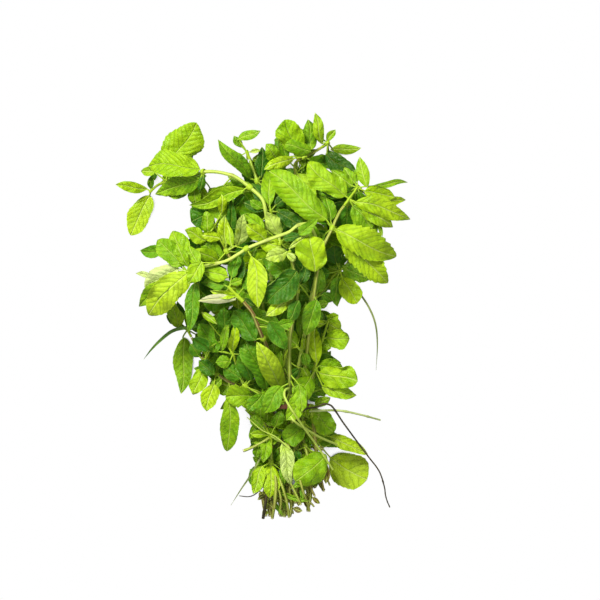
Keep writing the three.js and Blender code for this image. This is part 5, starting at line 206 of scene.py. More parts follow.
        [1,0,46.2,121.8,28.25,45.5,122.85,28.17,51.45,131.25,31.05,5.6,0.6,0.208,0.02,3.2,0,1],
        [1,1,46.2,121.8,28.25,48.3,118.3,0.0,70.0,119.35,0.0,7.35,0.0,0.0,0.0,3.4,0,1],
        [0,0,46.2,121.8,28.25,44.8,114.45,28.66,66.5,98.35,38.64,14.0,1.44,-0.099,-0.22,0.5,0,1],
        [0,0,46.2,121.8,28.25,46.25,116.87,26.85,50.74,102.92,22.05,7.77,0.46,-0.248,0.42,0.77,0,0],
        [1,0,46.2,121.8,28.25,41.04,126.3,24.59,17.91,132.23,20.61,8.16,1.24,0.156,0.6,3.57,0,0],
    ],
    "sprig_06_top": [
        [1,0,-16.8,14.35,72.17,-17.85,11.9,72.42,-44.1,10.85,67.81,6.65,2.59,-0.221,-0.21,5.4,1,1],
        [1,0,-16.8,14.35,72.17,-17.5,14.35,72.24,-35.7,17.85,70.27,7.0,1.17,-0.097,0.0,3.9,0,1],
        [0,0,-22.4,19.95,67.93,-25.2,22.05,67.82,-42.0,23.45,61.26,9.1,0.09,0.119,0.39,1.7,0,1],
        [1,0,-22.4,19.95,67.93,-21.7,22.75,68.04,-13.3,26.25,68.76,5.6,0.68,0.014,0.1,2.4,0,1],
        [3,0,-16.8,14.35,72.17,-13.34,19.45,68.63,3.75,32.25,54.81,12.9,1.14,-0.374,-0.53,1.71,0,0],
        [0,0,-22.4,19.95,67.93,-20.8,23.4,66.44,-14.41,42.46,52.88,12.29,2.04,-0.402,0.12,0.68,0,0],
        [0,0,-22.4,19.95,67.93,-20.83,26.94,67.59,-16.21,43.05,62.26,9.2,0.5,-0.035,0.23,1.8,0,0],
        [0,0,-22.4,19.95,67.93,-17.92,19.83,64.86,0.29,11.66,61.5,10.83,1.06,-0.125,0.36,2.29,0,0],
        [0,0,-22.4,19.95,67.93,-27.79,14.26,65.65,-35.53,9.65,62.32,5.15,0.11,-0.245,0.31,0.87,0,0],
        [0,0,-16.8,14.35,72.17,-12.2,12.65,69.28,-4.37,6.97,69.96,4.3,0.18,-0.036,0.23,0.48,0,0],
    ],
    "sprig_06_side_c": [
        [0,0,0.85,-14.94,62.58,-4.2,-16.45,61.51,-19.6,4.2,57.0,17.5,-1.4,-0.415,-0.81,1.4,0,1],
    ],
    "sprig_07_top": [
        [0,1,-52.5,-9.45,25.9,-55.3,-15.05,0.0,-57.75,-54.95,0.0,14.0,0.0,0.0,0.0,2.9,0,1],
        [1,0,-52.5,-9.45,25.9,-52.5,-7.35,25.82,-49.0,17.85,33.0,9.8,1.65,-0.21,2.96,2.6,0,1],
        [0,0,-52.5,-9.45,25.9,-58.8,-8.05,26.52,-64.4,13.65,33.86,12.6,1.99,-0.205,0.58,3.2,0,1],
        [0,0,-52.5,-9.45,25.9,-60.9,-5.25,26.03,-67.2,1.05,29.17,6.3,0.3,0.026,-0.33,1.6,0,1],
        [0,0,-52.5,-9.45,25.9,-47.04,-12.3,21.73,-30.33,-27.55,4.17,9.85,1.04,-0.385,0.1,0.97,0,0],
        [0,0,-52.5,-9.45,25.9,-48.99,-6.03,22.45,-36.05,6.68,11.32,9.39,1.56,-0.014,0.14,1.16,0,0],
        [3,0,-52.5,-9.45,25.9,-49.37,-9.1,26.34,-22.47,-4.57,8.75,11.72,0.95,0.47,-0.16,1.57,0,0],
        [3,0,-52.5,-9.45,25.9,-54.59,-1.32,20.76,-59.75,10.67,22.58,5.5,0.18,-0.24,0.24,1.13,0,0],
        [2,0,-52.5,-9.45,25.9,-47.87,-0.75,25.78,-44.08,20.86,24.17,15.0,1.71,0.004,-0.14,2.82,0,0],
        [1,0,-52.5,-9.45,25.9,-54.67,-7.31,23.85,-64.38,-2.46,20.62,4.2,0.77,0.111,-0.21,3.15,0,0],
    ],
    "sprig_07_side_b": [
        [0,0,-40.6,-31.85,26.72,-41.3,-36.75,26.74,-48.65,-54.95,32.09,13.3,0.8,0.033,-0.25,3.3,0,1],
        [0,0,-40.6,-31.85,26.72,-44.1,-28.35,28.0,-50.4,-19.25,31.18,8.4,0.91,-0.12,0.15,1.6,0,1],
        [3,0,-40.6,-31.85,26.72,-37.73,-33.42,25.17,-22.54,-39.2,21.17,7.21,0.37,0.386,-0.38,1.98,0,0],
        [0,0,-40.6,-31.85,26.72,-37.35,-24.77,29.73,-18.25,-2.64,21.31,14.6,1.97,0.042,0.87,2.14,0,0],
        [0,0,-40.6,-31.85,26.72,-36.97,-30.5,25.87,-10.49,-15.19,1.91,17.17,-0.13,0.401,-0.1,2.04,0,0],
        [3,0,-40.6,-31.85,26.72,-39.31,-25.27,28.01,-26.19,-0.67,19.51,12.35,0.96,-0.065,-0.47,1.72,0,0],
        [0,0,-40.6,-31.85,26.72,-33.76,-41.03,33.54,-44.41,-30.86,33.28,10.58,-0.12,-0.053,0.78,1.3,0,1],
    ],
    "sprig_07_side_c": [
        [0,0,-32.24,-40.1,27.16,-33.6,-47.25,28.88,-38.85,-66.5,35.13,12.6,1.49,-0.156,0.67,3.9,0,1],
        [0,0,-32.24,-40.1,27.16,-28.7,-43.75,28.0,-35.7,-50.75,28.72,7.0,-0.55,-0.177,-0.29,2.7,0,1],
        [0,0,-32.24,-40.1,27.16,-29.06,-32.66,27.3,-8.7,-12.06,20.22,13.74,2.56,-0.333,0.46,1.19,0,0],
        [3,0,-32.24,-40.1,27.16,-38.18,-37.84,22.56,-48.26,-36.68,22.02,4.61,0.76,-0.198,0.15,2.01,0,0],
        [0,0,-32.24,-40.1,27.16,-31.67,-35.3,29.45,-31.46,-23.89,32.96,5.9,0.1,-0.097,0.09,2.0,0,0],
    ],
    "sprig_08_side_a": [
        [0,0,12.6,51.45,61.15,13.3,48.65,62.27,-2.8,53.55,61.49,11.2,0.26,0.089,1.32,3.7,0,1],
        [3,0,12.6,51.45,61.15,13.3,57.05,62.58,3.5,72.45,68.89,11.2,1.17,0.114,0.79,4.2,0,1],
        [0,0,12.6,51.45,61.15,2.8,52.85,64.82,-10.5,64.05,71.68,11.2,1.84,-0.07,0.51,3.8,0,1],
        [0,0,12.6,51.45,61.15,1.4,59.85,67.27,-11.9,71.4,60.73,9.8,-0.69,-0.224,-1.0,2.7,0,1],
        [0,0,12.6,51.45,61.15,14.7,53.55,61.13,28.7,56.35,65.47,7.0,0.36,-0.188,0.54,0.8,0,1],
        [3,0,12.6,51.45,61.15,13.36,55.65,58.05,25.49,84.8,31.37,19.48,-0.52,-0.287,0.21,0.8,0,0],
        [0,0,12.6,51.45,61.15,13.41,45.53,56.68,14.32,26.9,42.48,9.24,1.68,0.156,-0.34,2.34,0,0],
        [0,0,12.6,51.45,61.15,17.87,47.38,61.63,30.46,28.17,48.53,12.43,0.16,0.253,-0.35,0.61,0,0],
        [0,0,12.6,51.45,61.15,20.55,48.0,56.34,28.71,44.02,56.39,4.21,0.12,0.521,-0.34,0.57,0,0],
    ],
    "sprig_08_top": [
        [1,0,6.3,73.15,61.81,5.6,77.35,62.68,4.2,105.35,45.3,11.2,2.93,0.159,0.89,3.0,0,1],
        [1,0,6.3,73.15,61.81,10.5,73.15,62.02,30.8,59.85,62.9,10.5,0.09,-0.123,0.22,0.5,0,1],
        [0,0,6.3,73.15,61.81,2.8,74.55,61.6,-12.6,79.45,59.36,9.1,-0.17,0.267,0.07,0.5,0,1],
        [0,0,6.3,73.15,61.81,4.2,78.05,61.65,-7.0,92.75,56.15,9.1,0.14,0.243,-0.05,0.6,0,1],
        [3,0,6.3,73.15,61.81,0.7,75.25,62.42,-8.05,80.85,64.54,6.3,0.12,0.043,0.36,2.2,0,1],
        [0,0,6.3,73.15,61.81,9.1,77.35,61.42,19.6,84.35,59.89,8.4,-0.4,0.046,-0.69,0.6,0,1],
        [3,0,6.3,73.15,61.81,9.89,73.02,60.38,25.27,68.03,55.2,9.27,0.54,-0.071,0.28,1.76,0,0],
        [0,0,6.3,73.15,61.81,0.25,67.05,57.62,-13.2,52.44,43.53,11.62,2.01,0.502,0.33,2.24,0,0],
    ],
    "sprig_09_side_a": [
        [0,0,-24.71,45.59,44.79,-27.3,40.25,44.22,-43.4,53.55,47.68,11.2,0.45,0.046,0.27,2.6,0,1],
        [0,0,-24.71,45.59,44.79,-25.2,49.35,46.22,-25.9,70.35,51.5,10.5,-0.22,0.048,-0.01,4.3,0,1],
        [1,0,-24.71,45.59,44.79,-28.7,54.25,49.6,-42.0,57.05,52.86,7.7,0.59,0.033,0.23,4.1,0,1],
        [0,0,-24.71,45.59,44.79,-17.5,49.35,46.12,-12.6,71.05,63.17,9.8,4.02,-0.11,0.37,4.3,0,1],
        [1,0,-24.71,45.59,44.79,-18.9,50.75,44.21,-21.7,82.25,51.43,7.7,0.93,0.077,-0.15,1.0,0,1],
        [0,0,-24.71,45.59,44.79,-30.1,38.15,46.21,-48.3,45.85,58.49,9.8,1.71,0.208,-0.09,3.1,0,1],
        [3,0,-24.71,45.59,44.79,-21.91,47.22,42.27,-4.03,49.62,28.38,7.74,0.71,0.49,0.55,0.48,0,0],
        [0,0,-24.71,45.59,44.79,-18.99,39.55,39.06,-8.35,12.73,22.44,15.16,-0.48,-0.494,1.12,1.13,0,0],
        [0,0,-24.71,45.59,44.79,-18.6,45.02,45.05,-1.46,50.29,41.69,10.89,0.32,-0.388,-0.79,0.86,0,0],
        [0,0,-24.71,45.59,44.79,-24.17,51.22,40.71,-25.37,71.96,29.59,10.77,0.32,-0.47,0.48,1.47,0,0],
        [0,0,-24.71,45.59,44.79,-31.0,31.32,33.97,-47.71,21.6,31.9,11.57,0.17,-0.011,-0.09,3.49,0,0],
    ],
    "sprig_09_top": [
        [0,0,-32.9,63.35,47.41,-37.1,57.75,47.15,-39.2,73.85,52.29,9.8,0.8,-0.122,-0.09,3.0,0,1],
        [0,0,-32.9,63.35,47.41,-33.6,73.15,46.57,-49.35,66.15,50.57,19.6,-0.02,-0.176,-1.3,1.2,0,1],
        [0,0,-32.9,63.35,47.41,-26.6,68.25,47.17,-37.1,83.65,50.94,13.3,0.24,-0.093,0.05,2.9,0,1],
        [0,0,-32.9,63.35,47.41,-39.2,52.85,49.43,-53.55,60.55,54.46,10.5,0.53,0.018,-0.33,3.4,0,1],
        [1,0,-32.9,63.35,47.41,-28.0,71.75,49.84,-28.0,85.05,58.31,7.0,1.36,0.028,0.21,3.8,0,1],
        [3,0,-32.9,63.35,47.41,-29.33,68.47,42.56,-9.12,83.86,24.77,14.27,1.12,0.28,-0.97,1.96,0,0],
        [3,0,-32.9,63.35,47.41,-37.84,57.32,45.07,-55.21,35.59,29.58,14.68,1.91,0.059,-0.47,0.73,0,0],
        [0,0,-32.9,63.35,47.41,-29.35,64.17,45.12,-7.18,67.55,34.75,12.49,1.17,-0.2,0.59,0.88,0,0],
        [0,0,-32.9,63.35,47.41,-34.11,56.25,42.26,-41.79,32.57,26.42,11.96,0.76,0.161,0.79,1.28,0,0],
    ],
    "sprig_10_side_a": [
        [0,0,24.5,17.85,66.02,23.1,21.35,67.29,-1.4,12.25,67.54,18.2,1.51,-0.048,-2.02,2.3,0,1],
        [1,0,24.5,17.85,66.02,21.7,14.35,66.68,2.8,0.35,77.15,9.8,2.82,0.125,0.35,4.1,0,1],
        [0,0,24.5,17.85,66.02,26.6,22.75,68.16,32.9,38.15,67.42,8.4,0.36,-0.174,0.32,0.8,0,1],
        [0,0,24.5,17.85,66.02,21.83,12.01,62.34,11.96,-2.54,48.3,9.03,0.56,-0.469,0.55,1.77,0,0],
        [3,0,24.5,17.85,66.02,19.9,18.13,63.29,2.02,19.45,63.5,8.56,0.01,-0.24,-0.55,1.19,0,0],
        [0,0,24.5,17.85,66.02,24.24,31.73,77.5,3.81,9.76,78.0,21.15,-1.36,-0.008,0.29,1.1,0,1],
    ],
    "sprig_10_top": [
        [3,0,19.6,44.45,69.86,17.5,45.15,69.93,2.8,40.25,74.74,10.5,0.46,-0.142,-0.03,4.2,0,1],
        [2,0,19.6,44.45,69.86,17.5,43.75,69.93,23.45,38.85,72.34,5.6,0.57,-0.158,0.04,4.4,0,1],
        [1,0,19.6,44.45,69.86,18.9,47.25,69.98,33.25,57.05,75.1,4.2,0.88,0.182,-0.1,4.2,0,1],
        [0,0,19.6,44.45,69.86,27.99,41.35,67.45,39.03,31.91,55.71,6.83,-0.04,-0.199,-0.03,2.37,0,0],
    ],
    "sprig_11_top": [
        [2,0,54.74,32.15,29.83,56.0,26.95,30.56,66.5,9.1,37.49,14.7,1.65,0.014,1.2,3.7,0,1],
        [0,0,54.74,32.15,29.83,52.5,27.65,29.69,52.85,7.0,35.63,9.8,0.2,-0.167,-0.74,2.0,0,1],
        [3,0,54.74,32.15,29.83,56.7,35.35,29.6,76.3,25.9,34.76,12.6,0.49,0.02,-0.41,2.4,0,1],
        [0,0,54.74,32.15,29.83,52.5,36.75,29.85,50.4,50.05,33.97,14.0,0.91,0.02,-0.81,0.5,0,1],
        [0,0,37.9,13.31,28.86,42.0,15.75,30.45,49.7,10.85,32.46,7.7,-0.08,0.043,-0.37,1.8,0,1],
        [1,0,37.9,13.31,28.86,37.8,8.05,29.27,46.55,9.45,32.73,6.3,0.58,-0.137,0.11,2.5,0,1],
        [0,0,37.9,13.31,28.86,35.0,17.15,28.97,37.8,28.35,32.53,7.0,0.92,0.202,-0.3,1.0,0,1],
        [0,1,54.74,32.15,29.83,60.9,34.65,0.0,85.4,46.55,0.0,15.4,0.0,0.0,0.0,1.5,0,0],
        [0,0,37.9,13.31,28.86,32.7,13.83,25.29,9.63,23.59,17.67,15.49,1.86,-0.082,0.19,1.8,0,0],
        [0,0,54.74,32.15,29.83,47.48,30.46,31.97,20.84,29.4,13.17,14.72,2.39,-0.29,-0.42,1.02,0,0],
        [0,0,54.74,32.15,29.83,47.3,33.35,25.5,23.92,38.94,16.53,13.61,1.06,-0.125,0.41,0.71,0,0],
        [0,0,54.74,32.15,29.83,54.33,37.43,27.59,43.51,63.53,5.77,16.54,1.83,-0.234,-1.23,1.92,0,0],
        [0,0,37.9,13.31,28.86,35.66,10.99,27.21,17.13,-3.44,10.25,10.12,-0.24,0.449,0.47,1.98,0,0],
        [0,0,37.9,13.31,28.86,38.4,16.28,30.36,41.97,33.13,34.98,9.24,0.91,0.388,-0.54,2.21,0,0],
        [0,0,54.74,32.15,29.83,60.21,39.13,26.27,75.97,49.84,24.06,10.41,0.83,-0.548,0.49,0.92,0,0],
        [3,0,37.9,13.31,28.86,33.09,17.48,26.97,22.42,27.18,33.06,8.61,-0.25,-0.122,0.54,2.36,0,0],
    ],
    "sprig_12_top": [
        [0,0,42.32,-16.39,39.66,44.8,-14.35,40.94,61.25,-15.75,46.32,16.1,1.54,0.081,0.71,3.2,0,1],
        [2,0,42.32,-16.39,39.66,41.3,-18.55,39.62,48.3,-22.05,41.94,7.0,0.42,-0.007,-0.43,2.6,0,1],
        [3,0,46.2,-3.85,37.59,45.85,-2.1,37.63,53.55,1.05,40.22,7.7,0.25,0.101,-0.35,3.0,0,1],
        [0,0,46.2,-3.85,37.59,42.0,-3.15,37.79,35.7,3.85,40.74,7.7,0.12,0.043,-0.12,1.4,0,1],
        [1,0,46.2,-3.85,37.59,44.1,-5.25,37.72,34.3,-3.85,41.11,5.6,0.79,0.178,0.24,3.3,0,1],
        [0,0,42.32,-16.39,39.66,36.47,-11.09,33.42,12.74,-2.67,14.89,12.4,1.21,-0.326,-1.03,0.42,0,0],
        [3,0,42.32,-16.39,39.66,33.98,-17.77,33.19,8.49,-13.8,23.09,11.07,1.04,-0.317,0.9,0.56,0,0],
        [0,0,46.2,-3.85,37.59,38.66,-7.35,37.75,20.05,-23.0,30.68,13.14,1.66,0.239,0.92,2.0,0,0],
        [0,0,42.32,-16.39,39.66,41.68,-12.69,36.97,44.2,1.69,28.76,8.73,1.3,-0.044,-0.57,0.63,0,0],
        [3,0,46.2,-3.85,37.59,44.76,-9.89,32.71,41.16,-20.39,25.58,5.58,0.69,0.422,-0.1,1.43,0,0],
    ],
    "sprig_12_side_c": [
        [1,0,37.1,-36.75,36.45,38.5,-33.25,38.48,37.1,-7.0,44.54,9.8,1.92,-0.245,0.58,3.9,0,1],
        [0,0,37.1,-36.75,36.45,39.9,-33.95,36.5,56.35,-35.35,39.53,12.6,1.04,0.222,0.83,2.7,0,1],
        [2,0,37.1,-36.75,36.45,39.9,-39.55,36.97,66.85,-45.15,45.57,17.5,1.7,0.085,1.15,3.4,0,1],
        [0,0,37.1,-36.75,36.45,42.0,-49.35,36.33,66.15,-55.3,36.02,11.2,1.07,0.041,0.64,3.4,0,1],
        [2,0,37.1,-36.75,36.45,34.3,-42.35,37.86,23.8,-57.75,48.34,15.4,2.75,-0.178,1.05,2.8,0,1],
        [0,0,37.1,-36.75,36.45,38.54,-41.27,32.69,42.58,-50.14,26.27,5.52,0.74,-0.105,-0.28,2.19,0,0],
        [0,0,37.1,-36.75,36.45,41.73,-40.46,35.13,56.4,-50.82,26.99,9.48,0.56,0.488,-0.18,1.28,0,0],
    ],
    "sprig_13_top": [
        [2,0,24.5,-21.35,42.38,24.5,-19.95,42.3,14.7,-12.25,45.77,13.3,1.02,0.004,-1.74,2.9,0,1],
        [1,0,24.5,-21.35,42.38,28.7,-23.45,42.22,30.45,-13.65,47.03,4.9,0.02,0.219,-0.68,3.6,0,1],
        [0,0,24.5,-21.35,42.38,28.7,-25.55,45.32,32.2,-34.65,48.63,7.0,1.55,0.144,0.47,2.2,0,1],
        [1,0,24.5,-21.35,42.38,26.6,-15.05,39.32,30.8,10.15,47.6,7.7,1.48,0.031,0.08,2.9,0,1],
        [1,0,14.58,-33.85,33.89,12.6,-38.15,34.31,13.3,-24.15,39.87,6.3,1.28,0.062,0.32,2.6,0,1],
        [0,0,14.58,-33.85,33.89,17.5,-42.35,35.0,25.9,-36.75,38.38,7.0,0.4,0.155,0.02,1.2,0,1],
        [3,0,24.5,-21.35,42.38,21.25,-13.0,38.66,17.67,15.6,36.04,16.35,-0.23,-0.379,-1.05,1.2,0,0],
    ],
    "sprig_14_side_a": [
        [3,0,-11.9,-48.65,37.92,-7.0,-55.65,38.52,-25.55,-56.35,43.24,16.8,3.0,-0.21,0.9,2.9,0,1],
        [4,0,-11.9,-48.65,37.92,-23.1,-59.15,39.89,-24.85,-94.85,24.28,13.3,2.5,0.085,1.02,2.85,0,1],
        [0,0,-11.9,-48.65,37.92,-14.7,-43.75,41.34,-26.6,-33.95,42.88,11.9,0.44,0.123,-0.87,1.6,0,1],
        [0,0,-11.9,-48.65,37.92,-7.7,-45.15,38.57,-15.4,-24.85,46.59,12.6,2.41,0.112,-0.51,1.2,0,1],
        [0,0,-11.9,-48.65,37.92,-10.76,-44.8,35.94,-2.25,-30.34,33.75,7.98,0.15,-0.123,-0.19,2.29,0,0],
        [0,0,-11.9,-48.65,37.92,-6.46,-47.06,34.49,12.77,-49.02,18.2,8.58,0.59,0.528,0.06,0.76,0,0],
        [0,0,-11.9,-48.65,37.92,0.13,-54.46,44.18,-9.42,-66.18,44.98,10.81,0.74,-0.044,0.19,2.1,0,1],
    ],
    "sprig_14_top": [
        [1,0,-20.3,-26.25,42.58,-20.3,-24.85,42.91,-18.55,-5.6,57.47,8.4,5.1,-0.323,0.62,3.7,0,1],
        [1,0,-20.3,-26.25,42.58,-28.7,-24.85,43.25,-23.1,-3.85,46.99,6.3,1.03,-0.384,-0.21,2.8,0,1],
        [0,0,-20.3,-26.25,42.58,-30.8,-24.85,46.58,-44.1,-5.25,43.72,14.7,-0.68,-0.05,0.48,2.0,0,1],
        [3,0,-20.3,-26.25,42.58,-21.7,-31.85,43.44,-32.2,-31.85,46.46,9.1,0.59,0.042,0.28,2.3,0,1],
        [0,0,-26.6,-16.45,42.5,-27.3,-12.25,42.31,-26.6,6.65,47.49,10.5,1.23,0.112,0.65,1.4,0,1],
        [1,0,-26.6,-16.45,42.5,-42.0,3.15,55.94,-31.15,-5.25,59.64,4.9,0.85,0.11,-0.21,3.4,0,1],
        [0,0,-26.6,-16.45,42.5,-25.59,-20.84,39.5,-20.16,-45.49,28.02,14.47,1.32,0.044,0.65,1.14,0,0],
        [0,0,-26.6,-16.45,42.5,-24.7,-13.51,39.85,-11.75,13.71,21.24,14.62,2.2,-0.181,-1.2,1.7,0,0],
        [0,0,-20.3,-26.25,42.58,-12.49,-26.53,43.48,1.87,-27.77,40.86,8.42,0.5,0.496,-0.26,1.17,0,0],
        [0,0,-26.6,-16.45,42.5,-37.0,-23.47,52.26,-48.33,-14.99,53.46,10.74,-0.25,0.025,0.02,1.0,0,1],
    ],
    "sprig_15_top": [
        [1,0,16.63,-59.28,27.39,14.35,-55.3,28.33,-3.5,-17.15,64.93,15.4,4.93,0.139,-1.03,4.0,0,1],
        [0,0,16.63,-59.28,27.39,2.8,-50.75,34.95,-13.3,-13.65,53.46,17.5,5.07,0.004,0.47,1.9,0,1],
        [0,0,16.63,-59.28,27.39,9.8,-61.95,34.04,0.0,-50.75,34.8,11.2,-3.12,0.337,-1.0,2.4,0,1],
        [1,0,16.63,-59.28,27.39,19.6,-53.55,26.83,15.4,-44.45,30.91,6.3,0.52,0.02,0.04,2.2,0,1],
    ],
    "sprig_16_side_a": [
        [2,1,28.76,-75.26,17.41,48.3,-100.45,0.0,74.2,-115.85,0.0,25.9,0.0,0.0,0.0,4.0,0,1],
        [0,0,28.76,-75.26,17.41,48.3,-84.7,14.63,74.55,-97.65,13.75,10.5,0.76,-0.159,-0.82,3.98,0,1],
        [2,0,28.76,-75.26,17.41,29.4,-77.35,18.02,15.05,-87.15,26.15,16.1,2.5,-0.126,0.65,2.4,0,1],
        [3,0,28.76,-75.26,17.41,28.18,-71.41,20.62,27.81,-61.31,23.71,6.39,0.8,0.495,0.09,1.84,0,0],
    ],
    "sprig_16_side_b": [
        [2,0,30.01,-91.57,19.51,45.1,-97.55,23.0,23.1,-115.85,30.23,21.0,3.07,-0.018,-1.94,2.9,0,1],
        [0,0,30.01,-91.57,19.51,23.8,-94.15,23.17,26.6,-104.65,22.46,7.0,0.44,0.064,0.19,1.0,0,1],
        [1,0,30.01,-91.57,19.51,45.5,-104.65,21.51,44.8,-117.95,22.16,5.6,0.46,-0.105,-0.28,6.0,0,1],
    ],
    "sprig_16_top": [
        [1,0,21.0,-55.65,38.53,21.7,-61.25,37.17,17.5,-71.75,38.95,7.0,0.57,0.065,-0.22,2.6,0,1],
    ],
    "sprig_17_top": [
        [1,0,5.6,-84.35,23.17,2.8,-83.65,22.93,-8.4,-82.25,26.18,5.6,0.44,-0.058,0.42,3.4,0,1],
        [0,0,5.6,-84.35,23.17,3.5,-86.45,23.34,0.7,-102.55,28.8,9.8,1.97,0.134,0.4,2.8,0,1],
        [0,0,5.6,-84.35,23.17,0.0,-78.05,27.66,-8.4,-69.65,30.73,8.4,0.41,-0.199,0.15,2.7,0,1],
        [0,0,5.6,-84.35,23.17,14.7,-88.55,23.89,20.65,-119.35,28.69,11.2,1.08,-0.115,-0.78,4.4,0,1],
        [0,0,5.6,-84.35,23.17,9.1,-78.05,23.35,13.3,-66.15,27.28,9.1,0.88,-0.003,0.41,2.4,0,1],
        [0,0,5.6,-84.35,23.17,-2.1,-89.25,23.59,-4.2,-99.75,23.7,7.0,0.73,-0.159,-0.04,2.3,0,1],
        [0,0,0.7,-75.25,22.91,-0.7,-72.45,23.45,-2.1,-61.25,29.68,8.4,2.66,-0.134,0.34,2.4,0,1],
        [0,0,0.7,-75.25,22.91,-3.5,-75.95,23.05,-8.75,-86.45,23.49,6.3,0.78,0.09,-0.39,2.6,0,1],
    ],
    "sprig_17_side_b": [
        [0,0,6.28,-102.59,21.71,6.3,-104.65,21.82,4.9,-127.75,28.65,13.3,1.77,0.176,-0.82,3.7,0,1],
        [0,0,6.28,-102.59,21.71,0.0,-105.35,22.53,-6.3,-124.6,29.93,10.5,1.4,0.106,0.21,3.6,0,1],
        [0,0,6.28,-102.59,21.71,13.3,-107.45,22.12,15.4,-118.65,22.88,6.3,0.85,-0.192,0.03,2.2,0,1],
    ],
    "sprig_18_top": [
        [2,0,35.0,-70.35,28.04,36.4,-66.85,27.14,50.4,-81.9,20.92,15.4,0.51,-0.172,0.43,2.7,0,1],
        [0,0,35.0,-70.35,28.04,33.85,-61.25,34.46,39.2,-72.45,28.09,7.0,-5.09,0.053,0.22,4.2,0,1],
        [0,0,35.0,-70.35,28.04,37.1,-63.0,26.21,47.95,-57.05,29.15,7.0,0.11,0.089,-0.7,3.1,0,1],
        [0,0,35.0,-70.35,28.04,27.75,-61.05,30.62,32.2,-71.05,42.6,6.3,-0.8,-0.332,-2.56,3.4,0,1],
    ],
    "sprig_04_stem": [
        [3,0,1.15,-2.34,22.83,2.07,-7.56,19.51,13.3,-28.51,5.9,14.1,-0.36,0.013,-0.06,2.59,0,0],
        [3,0,7.26,-107.4,3.55,14.98,-112.41,2.79,22.32,-135.03,3.47,5.5,0.9,0.036,-0.79,2.79,0,0],
        [0,0,1.72,-10.19,21.36,-1.69,-1.44,18.5,-3.42,16.95,18.97,10.99,1.19,0.086,0.51,1.98,0,0],
        [3,0,-0.35,67.94,38.15,1.5,60.68,32.65,3.19,32.47,14.17,14.78,0.1,-0.037,0.62,2.32,0,0],
        [2,0,1.72,-10.19,21.36,-2.06,-4.63,16.91,0.88,22.44,8.87,17.29,0.51,-0.219,0.9,3.26,0,0],
        [3,0,6.12,-131.37,3.14,7.88,-134.54,1.4,15.66,-140.6,0.9,2.6,0.08,0.059,0.18,2.14,0,0],
        [1,0,-0.01,44.64,32.45,-9.5,39.61,28.59,-33.22,38.97,28.47,8.25,2.0,0.03,-0.1,2.17,0,0],
        [0,0,4.6,-40.84,12.81,2.04,-47.22,18.24,-6.58,-58.78,19.47,9.12,1.36,-0.228,0.25,2.5,0,0],
        [3,0,0.04,52.43,34.25,3.81,62.67,41.76,8.1,76.39,41.34,7.53,-0.1,0.08,0.06,2.07,0,0],
        [0,0,-0.99,79.52,41.26,-4.86,85.79,43.88,-27.07,91.99,43.73,13.38,0.78,-0.03,0.67,3.2,0,0],
        [2,0,-0.15,29.03,28.96,-11.03,34.04,24.88,-34.44,55.16,22.53,22.59,0.57,0.036,-1.05,3.01,0,0],
        [0,0,-0.06,21.21,27.28,1.4,25.67,25.46,15.84,49.88,27.38,16.92,0.26,0.141,-0.2,1.9,0,0],
        [2,0,2.34,-17.99,19.71,-6.36,-9.55,25.97,-20.31,7.9,21.53,14.78,1.04,0.231,1.14,2.79,0,0],
        [1,0,5.46,-48.33,10.13,4.84,-50.8,11.62,-0.94,-62.63,14.61,4.27,1.21,0.149,0.05,2.77,0,0],
        [2,0,-0.09,60.21,36.14,-15.54,56.96,30.16,-43.39,54.49,26.54,18.02,-0.05,-0.068,-0.42,2.46,0,0],
        [2,0,-0.0,56.32,35.19,-2.67,64.84,42.94,-12.58,86.69,52.27,17.74,0.09,-0.413,-1.03,1.97,0,0],
        [2,0,4.6,-40.84,12.81,-9.78,-46.36,6.1,-27.98,-53.35,7.22,13.18,-0.19,0.094,-0.06,1.65,0,0],
    ],
    "sprig_05_stem": [
        [0,0,26.3,-84.71,2.07,30.1,-82.58,1.4,58.48,-88.52,0.9,14.65,1.76,0.01,-0.63,2.06,0,0],
        [2,0,24.2,-53.18,4.78,25.83,-48.97,2.96,28.29,-25.6,0.9,15.41,0.79,0.116,0.81,2.33,0,0],
        [1,0,25.21,92.94,22.37,27.25,101.36,23.78,30.34,109.67,23.9,2.89,0.15,-0.217,-0.19,2.63,0,0],
        [2,0,29.9,37.62,15.37,24.13,35.15,12.41,0.15,30.86,11.79,19.17,-0.37,-0.356,-0.2,1.96,0,0],
        [2,0,26.06,-29.94,10.45,20.27,-22.65,6.22,-7.26,-8.11,2.64,23.23,-0.4,0.01,-1.74,2.88,0,0],
        [2,0,24.2,-53.18,4.78,28.36,-54.09,3.72,44.85,-50.24,2.77,10.83,0.23,0.116,-0.09,3.29,0,0],
        [3,0,25.78,89.04,21.69,28.94,96.57,21.07,35.6,110.05,21.08,8.38,0.49,0.107,-0.16,2.85,0,0],
        [2,0,26.8,81.2,20.51,26.65,92.35,17.38,35.12,105.26,17.24,12.52,0.79,-0.118,-0.89,2.28,0,0],
        [0,0,28.24,-6.19,12.75,31.88,-3.78,13.1,54.04,-2.38,14.91,11.26,0.76,0.014,-0.4,2.18,0,0],
        [1,0,28.63,61.43,18.15,32.2,53.57,13.01,52.75,31.6,6.34,11.82,0.52,-0.391,-0.1,2.58,0,0],
        [2,0,27.26,77.26,19.99,21.66,86.8,17.22,6.21,105.01,17.87,18.41,2.11,-0.02,0.26,3.08,0,0],
        [0,0,25.21,92.94,22.37,27.0,90.55,24.13,48.61,80.55,23.51,13.86,0.4,-0.172,0.92,2.12,0,0],
        [0,0,28.24,-6.19,12.75,36.54,3.92,10.1,36.78,15.07,10.73,6.14,0.03,-0.14,-0.21,2.46,0,0],
        [0,0,30.25,-104.32,2.23,25.56,-103.8,1.4,9.36,-96.72,0.9,10.4,1.21,-0.008,-0.05,3.17,0,0],
        [2,0,30.04,17.72,13.5,35.52,19.69,13.72,47.32,22.73,13.85,10.22,0.69,-0.069,-0.48,2.32,0,0],
